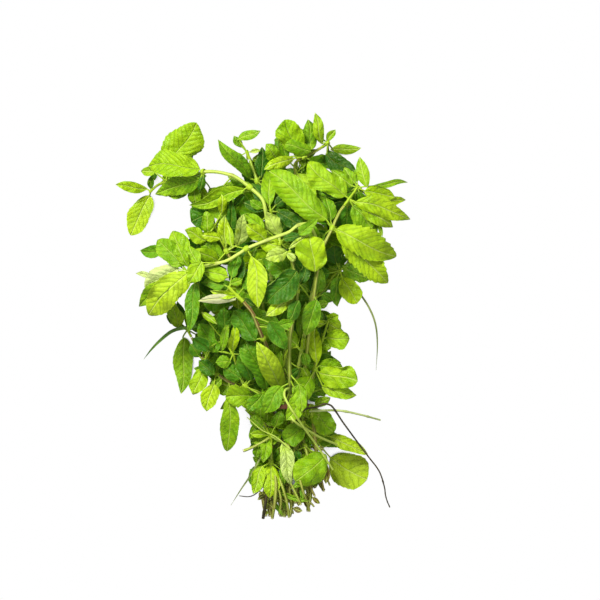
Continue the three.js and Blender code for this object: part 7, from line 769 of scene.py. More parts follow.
def leaf(build, row, seed, away=1.0, fine=1.0):
    kind, flat, kx, ky, kz, bx, by, bz, tx, ty, tz, width, arch, slope, lift, tone, under, seen = row
    kind = int(kind)
    r = random.Random(seed)
    B, T, K = np.array([bx, by, bz]), np.array([tx, ty, tz]), np.array([kx, ky, kz])
    run = math.hypot(tx - bx, ty - by)
    L = float(np.linalg.norm(T - B))
    nx, ny = -(ty - by) / run, (tx - bx) / run
    u = np.array([tx - bx, ty - by, 0]) / run
    fine = 0.8 if seen else 1.25
    nt = int(np.clip(L / fine, 10, 60))
    half_n = int(np.clip(width / 2 / fine + 2.5, 4, 12))
    s1 = np.linspace(0, 1, half_n + 1)
    s1 = np.concatenate([[0], [0.045], s1[1:]]) if width > 10 and seen else s1
    s = np.concatenate([-s1[:0:-1], s1])
    t = np.linspace(0, 1, nt + 1)
    t = t + 0.03 * np.sin(2 * math.pi * t) * 0.5
    TT, SS = np.meshgrid(t, s, indexing="ij")
    full = outline(TT, kind)
    if kind in (0, 3) and width > 14 and seen:
        # the big leaves end in a blunter tip
        full = 0.45 * full + 0.55 * outline(TT, 2) * (1 - 0.25 * smooth(TT, 0.0, 0.3) * (1 - smooth(TT, 0.3, 0.6)))
    half = np.maximum(width / 2 * full, 0.45 * (1 - smooth(TT, 0.0, 0.12)))
    a_s = np.abs(SS)
    # teeth point forward
    teeth = max(5, int(L / (4.5 if kind == 3 else 3.7)))
    ph = r.random() * 0.5 + 0.25 * (SS > 0)
    saw = (TT**0.92 * teeth + ph) % 1.0
    env = smooth(TT, 0.1, 0.28) * (1 - smooth(TT, 0.92, 1.0))
    tooth = TEETH[kind] * (saw - 0.45) * env
    if width < 6:
        tooth = tooth * 0.6
    big = 1 + tooth * a_s**3 + (0.07 if kind != 1 else 0.04) * np.sin(TT * r.uniform(6, 11) + r.random() * 6 + 2.5 * (SS > 0)) * a_s**2
    D = SS * half * big
    fwd = 0.20 * half * a_s**2 * (1 - smooth(TT, 0.75, 1.0))
    curve = r.uniform(-0.045, 0.045) * L * 4 * TT * (1 - TT) + r.uniform(-0.03, 0.03) * L * np.sin(2 * math.pi * TT)
    X = bx + (tx - bx) * TT + nx * (D + curve) + u[0] * fwd
    Y = by + (ty - by) * TT + ny * (D + curve) + u[1] * fwd
    # each margin may roll up or down over part of the length
    turn = np.full_like(D, r.uniform(-0.16, 0.46) * (0.3 if flat else 1.0))
    for sgn in (-1, 1):
        if r.random() < ROLLED[kind] and width > 6:
            top_ = r.uniform(0.7, 2.1) * (1 if r.random() < 0.72 else -0.6) * (0.35 if flat else 1.0)
            c_, w_ = r.uniform(0.25, 0.85), r.uniform(0.16, 0.42)
            s0_ = r.uniform(0.35, 0.65)
            turn = turn + np.where(SS * sgn > 0, top_ * np.exp(-(((TT - c_) / w_) ** 2)) * smooth(a_s, s0_, 1.0), 0)
    ds = np.abs(np.diff(D, axis=1))
    tm = 0.5 * (turn[:, 1:] + turn[:, :-1])
    mid_ = len(s) // 2
    flatD, roll = np.zeros_like(D), np.zeros_like(D)
    for j in range(mid_, len(s) - 1):
        flatD[:, j + 1] = flatD[:, j] + ds[:, j] * np.cos(tm[:, j])
        roll[:, j + 1] = roll[:, j] + ds[:, j] * np.sin(tm[:, j])
    for j in range(mid_, 0, -1):
        flatD[:, j - 1] = flatD[:, j] - ds[:, j - 1] * np.cos(tm[:, j - 1])
        roll[:, j - 1] = roll[:, j] + ds[:, j - 1] * np.sin(tm[:, j - 1])
    X = X + nx * (flatD - D)
    Y = Y + ny * (flatD - D)
    # lateral veins run out and forward, never quite evenly
    N = int(np.clip(round(L / 4.6), 4, 10)) if kind != 2 else int(np.clip(round(L / 8.5), 3, 5))
    hm = width / 2
    adv = (0.70 * np.abs(D) + 0.34 * D**2 / max(hm, 1)) / L
    w1, w2, w3, w4 = (r.uniform(0, 6.28) for _ in range(4))
    uneven = 0.16 * np.sin(TT * 9.0 + w1 + 1.2 * SS) + 0.10 * np.sin(TT * 17.0 + w2 - 2.0 * SS)
    phi = N * (TT - adv) + 0.35 * (SS > 0) + r.random() + uneven
    q = np.abs(np.sin(math.pi * phi)) ** 0.6
    envq = np.minimum(1, a_s * 3.2) * (1 - a_s**5) * smooth(TT, 0.02, 0.15) * (1 - 0.6 * smooth(TT, 0.85, 1.0))
    crink = r.uniform(0.35, 1.25)
    Aq = min(0.9, 0.027 * width + 0.18) * crink * (0.4 if kind == 2 else 1.0)
    # smaller cells between the laterals
    cell = np.sin(2 * math.pi * np.abs(D) / 2.6 + phi * 3.0 + w4) * np.sin(math.pi * phi)
    blister = np.sin(TT * L / 1.15 + w1 + 1.3 * np.sin(D / 1.7 + w2)) * np.sin(D / 1.05 + w3 + 0.9 * np.sin(TT * L / 2.3 + w4))
    dent = np.sin(TT * L / 5.2 + w4 + 1.4 * np.sin(D / 5.0 + w1)) * np.sin(D / 4.2 + w2 + 1.2 * np.sin(TT * L / 7.5 + w3))
    kink = np.abs(((TT * r.uniform(1.2, 2.6) + 0.35 * SS * r.uniform(-1, 1) + r.random()) % 1.0) - 0.5) * 4 - 1
    lump = np.sin(TT * L / 2.9 + w2 + 1.1 * np.sin(D / 3.1 + w3)) * np.cos(D / 2.6 + w1 + 0.8 * np.sin(TT * L / 4.1 + w4))
    groove = np.exp(-((D / 0.6) ** 2)) * (1 - 0.8 * TT)
    ruffle = (0.045 * width + 0.1) * r.uniform(0.5, 1.8) * a_s**2.0 * np.sin(2 * math.pi * (r.uniform(1.3, 3.1) * TT + r.random()) + 2.1 * (SS > 0)) * smooth(TT, 0.03, 0.25)
    rim = r.uniform(-0.07, 0.04) * width * a_s**3.2
    twist = r.uniform(-0.42, 0.42) * D * (TT - 0.45)
    wave = r.uniform(0.0, 0.034) * L * np.sin(2 * math.pi * (r.uniform(0.7, 1.4) * TT + r.random())) * smooth(TT, 0.05, 0.35)
    curl = -r.uniform(-0.5, 1.5) * L * np.clip(TT - 0.68, 0, 1) ** 2
    small = min(1.0, width / 12)
    rough_ = r.uniform(0.4, 1.5)
    detail = Aq * (q - 0.5) * envq + (0.11 * cell + 0.17 * blister + 0.36 * lump) * envq * small + rough_ * (0.038 * width * dent + 0.026 * width * kink) * smooth(TT, 0.03, 0.2) - 0.18 * groove + ruffle + roll + rim + twist + wave + curl
    if flat:
        Z = 0.26 + np.maximum(0, 0.35 + 0.5 * (detail - curl - wave))
        Z = Z * smooth(TT, -0.02, 0.05) + 0.3
    else:
        Z = bz + (tz - bz) * TT + arch * 4 * TT * (1 - TT) + slope * D + lift * full * SS**2 + detail
        # nothing dips under the surface it lies on
        Z = np.where(Z < 1.2, 0.35 + 0.85 / (1 + np.maximum(0, 1.2 - Z)), Z)
    P = np.stack([X, Y, Z], -1)
    du = np.gradient(P, axis=0)
    dv = np.gradient(P, axis=1)
    Nn = np.cross(du, dv)
    Nn /= np.linalg.norm(Nn, axis=2)[..., None] + 1e-9
    Nn *= np.sign(Nn[nt // 2, len(s) // 2, 2] or 1)
    th = SHEET * (1 - 0.55 * a_s**4)[..., None]
    top, bot = P + Nn * th, P - Nn * th
    if flat:
        top[..., 2] = np.maximum(top[..., 2], 0.2)
        bot[..., 2] = np.maximum(bot[..., 2], 0.03)
    top[..., 2] = np.maximum(top[..., 2], 0.12)
    bot[..., 2] = np.maximum(bot[..., 2], 0.02)
    nr, nc = P.shape[:2]
    ori = np.cross(P[1, nc // 2] - P[0, nc // 2], P[0, -1] - P[0, 0])[2] > 0
    V = np.concatenate([top.reshape(-1, 3), bot.reshape(-1, 3)])
    M = nr * nc
    F = grid_faces(nr, nc, 0, flip=ori) + grid_faces(nr, nc, M, flip=not ori)

    def strip(ids, flip):
        for a, b in zip(ids, ids[1:]):
            qd = (a, b, b + M, a + M)
            F.append(qd[::-1] if flip else qd)

    left = [i * nc for i in range(nr)]
    right = [i * nc + nc - 1 for i in range(nr)]
    strip(left, ori)
    strip(right, not ori)
    strip(list(range(nc)), not ori)
    strip([(nr - 1) * nc + j for j in range(nc)], ori)
    along = (TT * L).ravel()
    A = np.stack([along, D.ravel(), phi.ravel() + 10], 1)
    A = np.concatenate([A, A])
    tn = tone / 6.0
    rnd = r.random()
    col = np.stack([np.full(M, tn), np.full(M, rnd), np.zeros(M), (a_s**2).ravel()], 1)
    up_code, dn_code = (1.0, 0.0) if under else (0.0, 1.0)
    c1, c2 = col.copy(), col.copy()
    c1[:, 2] = up_code
    c2[:, 2] = dn_code
    build.add(V, F, A, np.concatenate([c1, c2]))
    # stalk, running on under the midrib
    mid = len(s) // 2
    i1 = max(1, int(nt * 0.22))
    into = [bot[i, mid] - Nn[i, mid] * 0.02 for i in (1, max(2, i1 // 2), i1)]
    if flat:
        into = [np.array([p[0], p[1], max(p[2], 0.32)]) for p in into]
    start = K + (B - K) / (np.linalg.norm(B - K) + 1e-9) * min(away, 0.3 * np.linalg.norm(B - K))
    span = np.linalg.norm(into[0] - start)
    bow = np.array([0, 0, 0.06 * span])
    if span > 14:
        # a long stalk hangs in a curve, not on a straight line
        sway = r.uniform(-0.09, 0.09)
        bow = np.array([nx * sway * span + u[0] * 0.07 * span, ny * sway * span + u[1] * 0.07 * span, 0.0])
    n = max(4, int(span / 1.3))
    path = []
    for i in range(n):
        f = i / n
        p = start + (into[0] - start) * f + bow * 4 * f * (1 - f)
        path.append(p)
    path += into
    rad = [0.62 - 0.14 * min(1, i / n) for i in range(n)] + [0.44, 0.34, 0.12]
    if width < 7:
        rad = [v * 0.75 for v in rad]
    tube(build, path, rad, 7, round_section, lambda i, q_: 0.0, lambda i, q_: (tn, rnd, 0.5, 0.0))


def spline(points, step):
    """Catmull-Rom through points, sampled about every step."""
    p = np.asarray(points, float)
    ext = np.concatenate([[2 * p[0] - p[1]], p, [2 * p[-1] - p[-2]]])
    out = []
    for i in range(1, len(ext) - 2):
        a, b, c, d = ext[i - 1 : i + 3]
        n = max(1, int(round(np.linalg.norm(c - b) / step)))
        for k in range(n):
            f = k / n
            out.append(0.5 * (2 * b + (c - a) * f + (2 * a - 5 * b + 4 * c - d) * f * f + (3 * b - a - 3 * c + d) * f**3))
    out.append(p[-1])
    return np.array(out)


def stem(build, points, r, look, seed, base=0.0, nodes=(), cut=True, thin=1.0):
    rr = random.Random(seed)
    pts = spline(points, 1.6)
    seg = np.concatenate([[0], np.cumsum(np.linalg.norm(np.diff(pts, axis=0), axis=1))])
    near = [min(np.linalg.norm(pts - np.asarray(k), axis=1).argmin(), len(pts) - 1) for k in nodes]
    rings = [seg[i] for i in near]
    if cut:
        q = 22.0 + rr.uniform(-6, 6)
        while q < 95:
            if all(abs(q - s0) > 14 for s0 in rings):
                rings.append(q)
            q += rr.uniform(26, 38)
    wob = rr.uniform(0, 6.28)
    radii, marks = [], []
    for s0 in seg:
        k = max([math.exp(-(((s0 - n0) / 1.7) ** 2)) for n0 in rings] or [0])
        taper = 1.03 - 0.16 * thin * (s0 + base) / 330.0
        radii.append(r * 0.97 * taper * (1 + 0.26 * k + 0.03 * math.sin(s0 * 0.35 + wob)))
        marks.append(k)
    rnd = rr.random()
    if cut:
        # the low end is never quite straight
        w1, w2 = rr.uniform(0, 6.28), rr.uniform(0, 6.28)
        away = 1.5 * np.clip(1 - seg / 46.0, 0, 1)[:, None] * np.stack([np.sin(seg * 0.21 + w1), 0 * seg, 0.6 * np.cos(seg * 0.27 + w2)], 1)
        pts = pts + away
        radii = [q_ * (1 + 0.16 * max(0, 1 - s0 / 7.0) * math.sin(s0 * 2.1 + w1)) for q_, s0 in zip(radii, seg)]
    tube(build, pts, radii, 16, square_section, lambda i, s0: base + s0, lambda i, s0: (look / 6.0, rnd, marks[i], 1.0 if (cut and i == 0) else 0.0))
    if cut:
        # stubs where low shoots were stripped off, pointing down and out
        for q in np.arange(rr.uniform(3.0, 7.0), 46.0, 7.5):
            q += rr.uniform(-2.0, 2.5)
            i = int(np.searchsorted(seg, q))
            if not 1 <= i < len(pts) - 1:
                continue
            ax = pts[i - 1] - pts[i + 1]
            ax /= np.linalg.norm(ax)
            an = rr.uniform(0, 6.28)
            e1 = np.cross(ax, (0.3, 0.2, 1.0))
            e1 /= np.linalg.norm(e1)
            out = e1 * math.cos(an) + np.cross(ax, e1) * math.sin(an)
            long = rr.uniform(1.4, 4.6)
            p0 = pts[i] + out * r * 0.5
            tip = p0 + out * long * rr.uniform(0.5, 0.9) + ax * long * rr.uniform(0.3, 0.9)
            if min(p0[2], tip[2]) < 1.0:
                continue
            mid_ = (p0 + tip) / 2 + out * 0.3
            w = rr.uniform(0.42, 0.8)
            tube(build, [p0, mid_, tip], [w * 1.1, w, w * rr.uniform(0.5, 0.95)], 7, round_section, lambda i_, s0: base + q, lambda i_, s0: (look / 6.0, rr.random(), 0.7, 0.0))
        # the cut face: a pale pith set in a darker rim
        d = pts[0] - pts[1]
        d /= np.linalg.norm(d)
        tube(build, [pts[0] - d * 0.3, pts[0] + d * 0.12], [r * 0.62, r * 0.5], 12, round_section, lambda i, s0: 0.0, lambda i, s0: (look / 6.0, rnd, 0.0, 0.6))


# ------------------------------------------------------------------ materials
class Nodes:
    def __init__(self, name):
        self.m = bpy.data.materials.new(name)
        self.m.use_nodes = True
        self.t = self.m.node_tree
        self.t.nodes.clear()
        self.out = self.t.nodes.new("ShaderNodeOutputMaterial")
        self.b = self.t.nodes.new("ShaderNodeBsdfPrincipled")
        self.t.links.new(self.b.outputs[0], self.out.inputs[0])

    def n(self, kind, **kw):
        x = self.t.nodes.new(kind)
        for k, v in kw.items():
            setattr(x, k, v)
        return x

    def link(self, a, b):
        self.t.links.new(a, b)

    def put(self, sock, v):
        if isinstance(v, (int, float)):
            sock.default_value = v
        elif isinstance(v, tuple):
            sock.default_value = v
        else:
            self.link(v, sock)

    def math(self, op, a, b=None, c=None, clamp=False):
        x = self.n("ShaderNodeMath", operation=op, use_clamp=clamp)
        self.put(x.inputs[0], a)
        if b is not None:
            self.put(x.inputs[1], b)
        if c is not None:
            self.put(x.inputs[2], c)
        return x.outputs[0]

    def mix(self, f, a, b, blend="MIX"):
        x = self.n("ShaderNodeMix", data_type="RGBA", blend_type=blend)
        self.put(x.inputs[0], f)
        self.put(x.inputs[6], a)
        self.put(x.inputs[7], b)
        return x.outputs[2]

    def step(self, v, lo, hi, a=0.0, b=1.0):
        x = self.n("ShaderNodeMapRange", interpolation_type="SMOOTHSTEP")
        self.put(x.inputs[0], v)
        for i, w in enumerate((lo, hi, a, b)):
            x.inputs[i + 1].default_value = w
        return x.outputs[0]

    def attr(self, name):
        return self.n("ShaderNodeAttribute", attribute_type="GEOMETRY", attribute_name=name)

    def noise(self, scale, detail=3.0, rough=0.55, vec=None):
        x = self.n("ShaderNodeTexNoise")
        x.inputs["Scale"].default_value = scale
        x.inputs["Detail"].default_value = detail
        x.inputs["Roughness"].default_value = rough
        if vec is not None:
            self.link(vec, x.inputs["Vector"])
        return x.outputs[0]

    def ramp(self, f, stops):
        x = self.n("ShaderNodeValToRGB")
        e = x.color_ramp.elements
        e[0].position, e[0].color = stops[0]
        e[1].position, e[1].color = stops[-1]
        for p, c in stops[1:-1]:
            k = e.new(p)
            k.color = c
        self.put(x.inputs[0], f)
        return x.outputs[0]


def leaf_material():
    k = Nodes("mint_leaf")
    place, kind = k.attr("leaf_place"), k.attr("leaf_kind")
    sp = k.n("ShaderNodeSeparateXYZ")
    k.link(place.outputs["Vector"], sp.inputs[0])
    along, dist, phi = sp.outputs
    sc = k.n("ShaderNodeSeparateColor")
    k.link(kind.outputs["Color"], sc.inputs[0])
    tone, rnd, side = sc.outputs
    edge = kind.outputs["Alpha"]
    obj = k.n("ShaderNodeTexCoord").outputs["Object"]
    soft = k.noise(70.0, 3.0, 0.6, obj)
    fine = k.noise(900.0, 2.0, 0.6, obj)
    # each leaf's tone moves a little over the blade
    t2 = k.math("MULTIPLY_ADD", k.math("SUBTRACT", soft, 0.5), 0.30, tone)
    t2 = k.math("MULTIPLY_ADD", k.math("SUBTRACT", rnd, 0.5), 0.05, t2)
    t2 = k.math("MINIMUM", t2, k.math("MAXIMUM", tone, 0.672))
    stops = [(0.0, srgb(*TONES[0]))] + [((i) / 6.0, srgb(*TONES[i])) for i in range(1, 6)] + [(1.0, srgb(*TONES[6]))]
    base = k.ramp(t2, stops)
    brown = k.ramp(tone, stops)
    is_brown = k.step(tone, 0.9, 0.97)
    base = k.mix(is_brown, base, brown)
    # veins
    ad = k.math("ABSOLUTE", dist)
    mid = k.step(ad, 0.12, 0.60, 1.0, 0.0)
    fr = k.math("FRACT", phi)
    off = k.math("MINIMUM", fr, k.math("SUBTRACT", 1.0, fr))
    lat = k.math("MULTIPLY", k.step(off, 0.012, 0.062, 1.0, 0.0), k.step(edge, 0.55, 1.0, 1.0, 0.35))
    comb = k.n("ShaderNodeCombineXYZ")
    k.link(along, comb.inputs[0])
    k.link(dist, comb.inputs[1])
    k.link(rnd, comb.inputs[2])
    vor = k.n("ShaderNodeTexVoronoi", feature="DISTANCE_TO_EDGE")
    vor.inputs["Scale"].default_value = 0.62
    k.link(comb.outputs[0], vor.inputs["Vector"])
    net = k.step(vor.outputs["Distance"], 0.0, 0.12, 1.0, 0.0)
    veins = k.math("MAXIMUM", mid, k.math("MULTIPLY", lat, 0.58))
    veins = k.math("MAXIMUM", veins, k.math("MULTIPLY", net, 0.18))
    # painted shade: a dark band beside each lateral vein, where the creases of the quilted blade lie in shade
    crease_shade = k.math("MULTIPLY", k.step(off, 0.05, 0.16, 1.0, 0.0), k.step(off, 0.02, 0.07))
    is_stalk = k.math("MULTIPLY", k.step(side, 0.3, 0.45), k.step(side, 0.55, 0.7, 1.0, 0.0))
    is_under = k.step(side, 0.75, 0.95)
    light = k.mix(0.5, base, srgb(*VEIN), "MIX")
    # painted light and shade of the quilted relief: darker beside the lateral veins, lighter on the raised pillows
    # between them
    pillow_shading = k.step(off, 0.08, 0.40, 0.86, 1.07)
    shade = k.mix(1.0, base, k.ramp(pillow_shading, [(0.0, (0, 0, 0, 1)), (1.0, (1, 1, 1, 1))]), "MULTIPLY")
    top = k.mix(0.55, base, shade)
    top = k.mix(k.math("MULTIPLY", crease_shade, 0.30), top, srgb(*CREASE_SHADE))
    # painted highlights: the patch noise also raises the bump map, so its raised spots are painted pale, less on dark
    # leaves
    patch = k.noise(230.0, 2.0, 0.6, obj)
    highlight_by_tone = k.step(tone, 0.12, 0.50, 0.30, 1.0)
    top = k.mix(k.math("MULTIPLY", highlight_by_tone, k.step(patch, 0.50, 0.68, 0.0, 0.26)), top, srgb(*SPECK_HIGHLIGHT))
    # painted shade: the sunken spots of the same bump noise are darkened toward the crease colour
    top = k.mix(k.step(patch, 0.50, 0.34, 0.0, 0.24), top, srgb(*CREASE_SHADE))
    top = k.mix(k.math("MULTIPLY", veins, k.step(tone, 0.1, 0.6, 0.30, 0.76)), top, light)
    top = k.mix(k.math("MULTIPLY", mid, k.step(tone, 0.30, 0.70, 0.04, 0.55)), top, srgb(*MIDRIB))
    # fine pale specks, painted highlights on the raised fine bumps
    top = k.mix(k.math("MULTIPLY", k.math("MULTIPLY", k.math("SUBTRACT", fine, 0.42), 0.7, clamp=True), highlight_by_tone), top, srgb(*SPECK_HIGHLIGHT), "MIX")
    # painted highlight: the leaf margins are painted paler, as a rim catching the light
    rim = k.step(edge, 0.82, 1.0, 0.0, 0.35)
    top = k.mix(rim, top, light)
    under = k.mix(k.step(tone, 0.805, 0.832, 0.55, 0.12), base, srgb(*UNDER))
    under = k.mix(k.math("MULTIPLY", veins, 0.8), under, srgb(*UNDER_VEIN))
    col = k.mix(is_under, top, under)
    stalk = k.mix(0.62, base, srgb(*STALK))
    col = k.mix(is_stalk, col, stalk)
    k.link(col, k.b.inputs["Base Color"])
    k.link(k.math("MULTIPLY_ADD", fine, 0.22, k.step(soft, 0.35, 0.65, 0.26, 0.46)), k.b.inputs["Roughness"])
    k.b.inputs["Specular IOR Level"].default_value = 0.42
    k.b.inputs["Specular Tint"].default_value = (0.96, 1.0, 0.66, 1)
    h = k.math("MULTIPLY_ADD", veins, -0.55, k.math("MULTIPLY_ADD", patch, 0.8, k.math("MULTIPLY", fine, 0.45)))
    bump = k.n("ShaderNodeBump")
    bump.inputs["Strength"].default_value = 0.75
    bump.inputs["Distance"].default_value = 0.0012
    k.link(h, bump.inputs["Height"])
    k.link(bump.outputs[0], k.b.inputs["Normal"])
    return k.m


def stem_material(name="mint_stem"):
    k = Nodes(name)
    place, kind = k.attr("leaf_place"), k.attr("leaf_kind")
    sp = k.n("ShaderNodeSeparateXYZ")
    k.link(place.outputs["Vector"], sp.inputs[0])
    along, ang, far = sp.outputs
    sc = k.n("ShaderNodeSeparateColor")
    k.link(kind.outputs["Color"], sc.inputs[0])
    look, rnd, node = sc.outputs
    cut = kind.outputs["Alpha"]
    obj = k.n("ShaderNodeTexCoord").outputs["Object"]
    soft, fine = k.noise(110.0, 3.0, 0.6, obj), k.noise(1400.0, 2.0, 0.6, obj)
    stops = [(i / 6.0, srgb(*c)) for i, c in enumerate(STEM_LOOKS)]
    base = k.ramp(look, stops)
    low = k.step(far, 10.0, 95.0, 0.34, 0.0)
    base = k.mix(low, base, srgb(*STEM_LOW))
    worn = k.math("MULTIPLY", k.step(far, 6.0, 46.0, 1.0, 0.0), k.step(k.noise(160.0, 4.0, 0.65, obj), 0.42, 0.62, 0.18, 0.85))
    base = k.mix(worn, base, srgb(*STEM_WORN))
    base = k.mix(k.math("MULTIPLY", k.math("SUBTRACT", soft, 0.45), 1.3, clamp=True), base, srgb(*STEM_PATCH))
    base = k.mix(k.math("MULTIPLY", node, 0.5), base, srgb(*STEM_NODE))
    # painted highlight: the four rounded corners of the stem are painted paler, as if catching the light
    ridge_highlight = k.math("ABSOLUTE", k.math("COSINE", k.math("MULTIPLY", ang, 2.0)))
    base = k.mix(k.step(ridge_highlight, 0.55, 1.0, 0.0, 0.45), base, srgb(*STEM_RIDGE_HIGHLIGHT))
    end = k.step(cut, 0.45, 0.55)
    pith = k.mix(k.step(cut, 0.7, 0.9), srgb(*PITH), srgb(*CUT_RIM))
    base = k.mix(end, base, pith)
    k.link(base, k.b.inputs["Base Color"])
    k.link(k.math("MULTIPLY_ADD", fine, 0.25, 0.34), k.b.inputs["Roughness"])
    k.b.inputs["Specular IOR Level"].default_value = 0.45
    k.b.inputs["Specular Tint"].default_value = (0.97, 1.0, 0.72, 1)
    bump = k.n("ShaderNodeBump")
    bump.inputs["Strength"].default_value = 0.3
    bump.inputs["Distance"].default_value = 0.0004
    k.link(k.math("MULTIPLY_ADD", fine, 0.6, k.math("MULTIPLY", soft, 0.8)), bump.inputs["Height"])
    k.link(bump.outputs[0], k.b.inputs["Normal"])
    return k.m


def plain_material(name, low, high, dark, rough, scale=300.0, stripes=0.0, bump_by=0.4):
    k = Nodes(name)
    place, kind = k.attr("leaf_place"), k.attr("leaf_kind")
    sp = k.n("ShaderNodeSeparateXYZ")
    k.link(place.outputs["Vector"], sp.inputs[0])
    along, across, far = sp.outputs
    obj = k.n("ShaderNodeTexCoord").outputs["Object"]
    soft, fine = k.noise(90.0, 4.0, 0.6, obj), k.noise(scale * 4, 2.0, 0.6, obj)
    base = k.mix(k.step(soft, 0.35, 0.65), srgb(*low), srgb(*high))
    base = k.mix(k.step(fine, 0.55, 0.8, 0.0, 0.5), base, srgb(*dark))
    h = fine
    if stripes:
        wave = k.math("ABSOLUTE", k.math("SINE", k.math("MULTIPLY", across, stripes)))
        base = k.mix(k.step(wave, 0.0, 0.45, 0.55, 0.0), base, srgb(*dark))
        h = k.math("ADD", wave, k.math("MULTIPLY", fine, 0.4))
    k.link(base, k.b.inputs["Base Color"])
    k.link(k.math("MULTIPLY_ADD", fine, 0.2, rough - 0.1), k.b.inputs["Roughness"])
    bump = k.n("ShaderNodeBump")
    bump.inputs["Strength"].default_value = bump_by
    bump.inputs["Distance"].default_value = 0.0004
    k.link(h, bump.inputs["Height"])
    k.link(bump.outputs[0], k.b.inputs["Normal"])
    return k.m


TONES = [(8, 64, 0), (37, 106, 0), (85, 149, 0), (134, 184, 0), (178, 212, 6), (230, 237, 192), (112, 84, 30)]
VEIN = (196, 218, 74)
# pale colour of painted highlights on the raised bumps of the leaves
SPECK_HIGHLIGHT = (176, 206, 26)
# painted shade colour, used in the creases and on the sunken spots of the leaves
CREASE_SHADE = (44, 100, 0)
MIDRIB = (212, 230, 130)
UNDER = (184, 206, 92)
UNDER_VEIN = (214, 228, 136)
STALK = (178, 204, 58)
STEM_LOOKS = [(154, 184, 44), (190, 216, 84), (176, 148, 78), (120, 84, 46), (128, 108, 70), (148, 158, 50), (128, 148, 36)]
STEM_LOW = (148, 154, 40)
STEM_PATCH = (148, 170, 48)
STEM_WORN = (108, 98, 28)
STEM_NODE = (128, 112, 56)
# pale colour of the painted highlights on the stem corners
STEM_RIDGE_HIGHLIGHT = (212, 228, 120)
PITH = (226, 228, 176)
CUT_RIM = (132, 112, 58)

WORLD, KEY, FILL = 0.33, 27.5, 3.2
SHOOT_TONE = {}
LEAF = leaf_material()
STEM = stem_material()
GRASS = plain_material("grass", (132, 152, 76), (166, 180, 104), (104, 126, 58), 0.6, stripes=5.0)
GRASS_DARK = plain_material("grass_dark", (74, 118, 30), (108, 148, 48), (52, 92, 20), 0.55, stripes=5.0)
DRYM = plain_material("dry_stalk", (44, 42, 18), (72, 62, 30), (26, 24, 10), 0.7)
PALE = plain_material("pale_stalk", (176, 196, 104), (204, 218, 140), (140, 160, 70), 0.5)
TIEM = plain_material("band", (104, 62, 36), (134, 84, 54), (66, 40, 24), 0.7, bump_by=0.6)

# ------------------------------------------------------------------ pieces
seed = 11
for name, (r, look, low, ks) in STEMS.items():
    b = Build()
    low_leaves = LEAVES.get("sprig_" + name + "_stem", [])
    # small leaves also grow on the stem itself
    marks = list(ks)
    for row in low_leaves:
        if all(math.dist(row[2:5], m_) > 6 for m_ in marks):
            marks.append(row[2:5])
    stem(b, low, r, look, seed, 0.0, marks, cut=True)
    # bare side stalks, and short ends where side stalks were cut
    for tint, r0, r1, end, way in SIDE.get(name, ()):
        b.which = 2 if tint == 9 else 0
        q = spline(way, 1.6)
        k_ = len(q) - 1
        rad = [(r0 + (r1 - r0) * i / k_) * (1 + 0.05 * math.sin(i * 1.3 + r0 * 40)) for i in range(k_ + 1)]
        tube(b, q, rad, 10, square_section, lambda i, s0: s0 + (0 if end and tint != 3 else 170), lambda i, s0: (tint / 6.0, 0.5, 0.0, 1.0 if (end and i == 0) else 0.0))
    b.which = 1
    for i, row in enumerate(low_leaves):
        leaf(b, row, seed * 1000 + i * 7, away=r * 0.5)
    # a few withered scraps hang on near the cut
    rr = random.Random(900 + seed)
    lp = spline(low, 1.6)
    for q in range(rr.choice((1, 2, 2, 3))):
        i = rr.randint(3, min(24, len(lp) - 3))
        p, dn = lp[i], lp[i - 2] - lp[i + 2]
        dn /= np.linalg.norm(dn)
        an = rr.uniform(-1.2, 1.2) * 1.2
        way = np.array([dn[0] * math.cos(an) - dn[1] * math.sin(an), dn[0] * math.sin(an) + dn[1] * math.cos(an), rr.uniform(-0.15, 0.5)])
        p1 = p + way * (r + 1.2)
        p2 = p1 + way * rr.uniform(3.5, 7.0)
        if min(p1[2], p2[2]) < 1.6 or p2[1] < -141.5:
            continue
        tone = rr.choice((6.0, 6.0, 6.0, 5.9, 6.0))
        leaf(b, [rr.choice((1, 3)), 0, *p, *p1, *p2, rr.uniform(2.4, 4.6), rr.uniform(-0.5, 1.2), rr.uniform(-0.5, 0.5), rr.uniform(-0.6, 0.8), tone, 0, 1], seed * 77 + q, away=r * 0.5)
    seed += 1
    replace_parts(b.object("sprig_" + name + "_stem_live", [STEM, LEAF, DRYM] if any(q[0] == 9 for q in SIDE.get(name, ())) else [STEM, LEAF]), "sprig_" + name + "_stem")

for key, rows in LEAVES.items():
    if key.endswith("_stem"):
        continue
    b = Build()
    name = key.split("_")[1]
    if key.endswith("_top"):
        r, look, up, ks = SHOOTS[name]
        rr = random.Random(seed)
        pts = spline(up, 1.5)
        seg = np.concatenate([[0], np.cumsum(np.linalg.norm(np.diff(pts, axis=0), axis=1))])
        rings = [seg[np.linalg.norm(pts - np.asarray(k_), axis=1).argmin()] for k_ in ks]
        radii = []
        for s0 in seg:
            kk = max([math.exp(-(((s0 - n0) / 1.6) ** 2)) for n0 in rings] or [0])
            radii.append(r * (0.86 - 0.28 * s0 / max(seg[-1], 20)) * (1 + 0.30 * kk))
        tube(b, pts, radii, 12, square_section, lambda i, s0: 0.0, lambda i, s0: (SHOOT_TONE.get(name, 3.6) / 6.0, 0.5, 0.5, 0.0))
    else:
        stem_no, centre, axis, r = COLLARS[key]
        c, ax = np.array(centre), np.array(axis)
        rr0 = r * 1.26 + 0.28
        path = [c + ax * q for q in (-2.0, -1.5, -0.8, 0.0, 0.8, 1.5, 2.0)]
        tube(b, path, [rr0 * 0.86, rr0 * 0.98, rr0 * 1.1, rr0 * 1.16, rr0 * 1.1, rr0 * 0.98, rr0 * 0.86], 14, square_section, lambda i, s0: 0.0, lambda i, s0: (3.4 / 6.0, 0.5, 0.5, 0.0), caps=False)
    for i, row in enumerate(rows):
        leaf(b, row, seed * 1000 + i * 7, away=1.0)
    seed += 1
    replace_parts(b.object(key + "_live", LEAF), key + "_leaves")

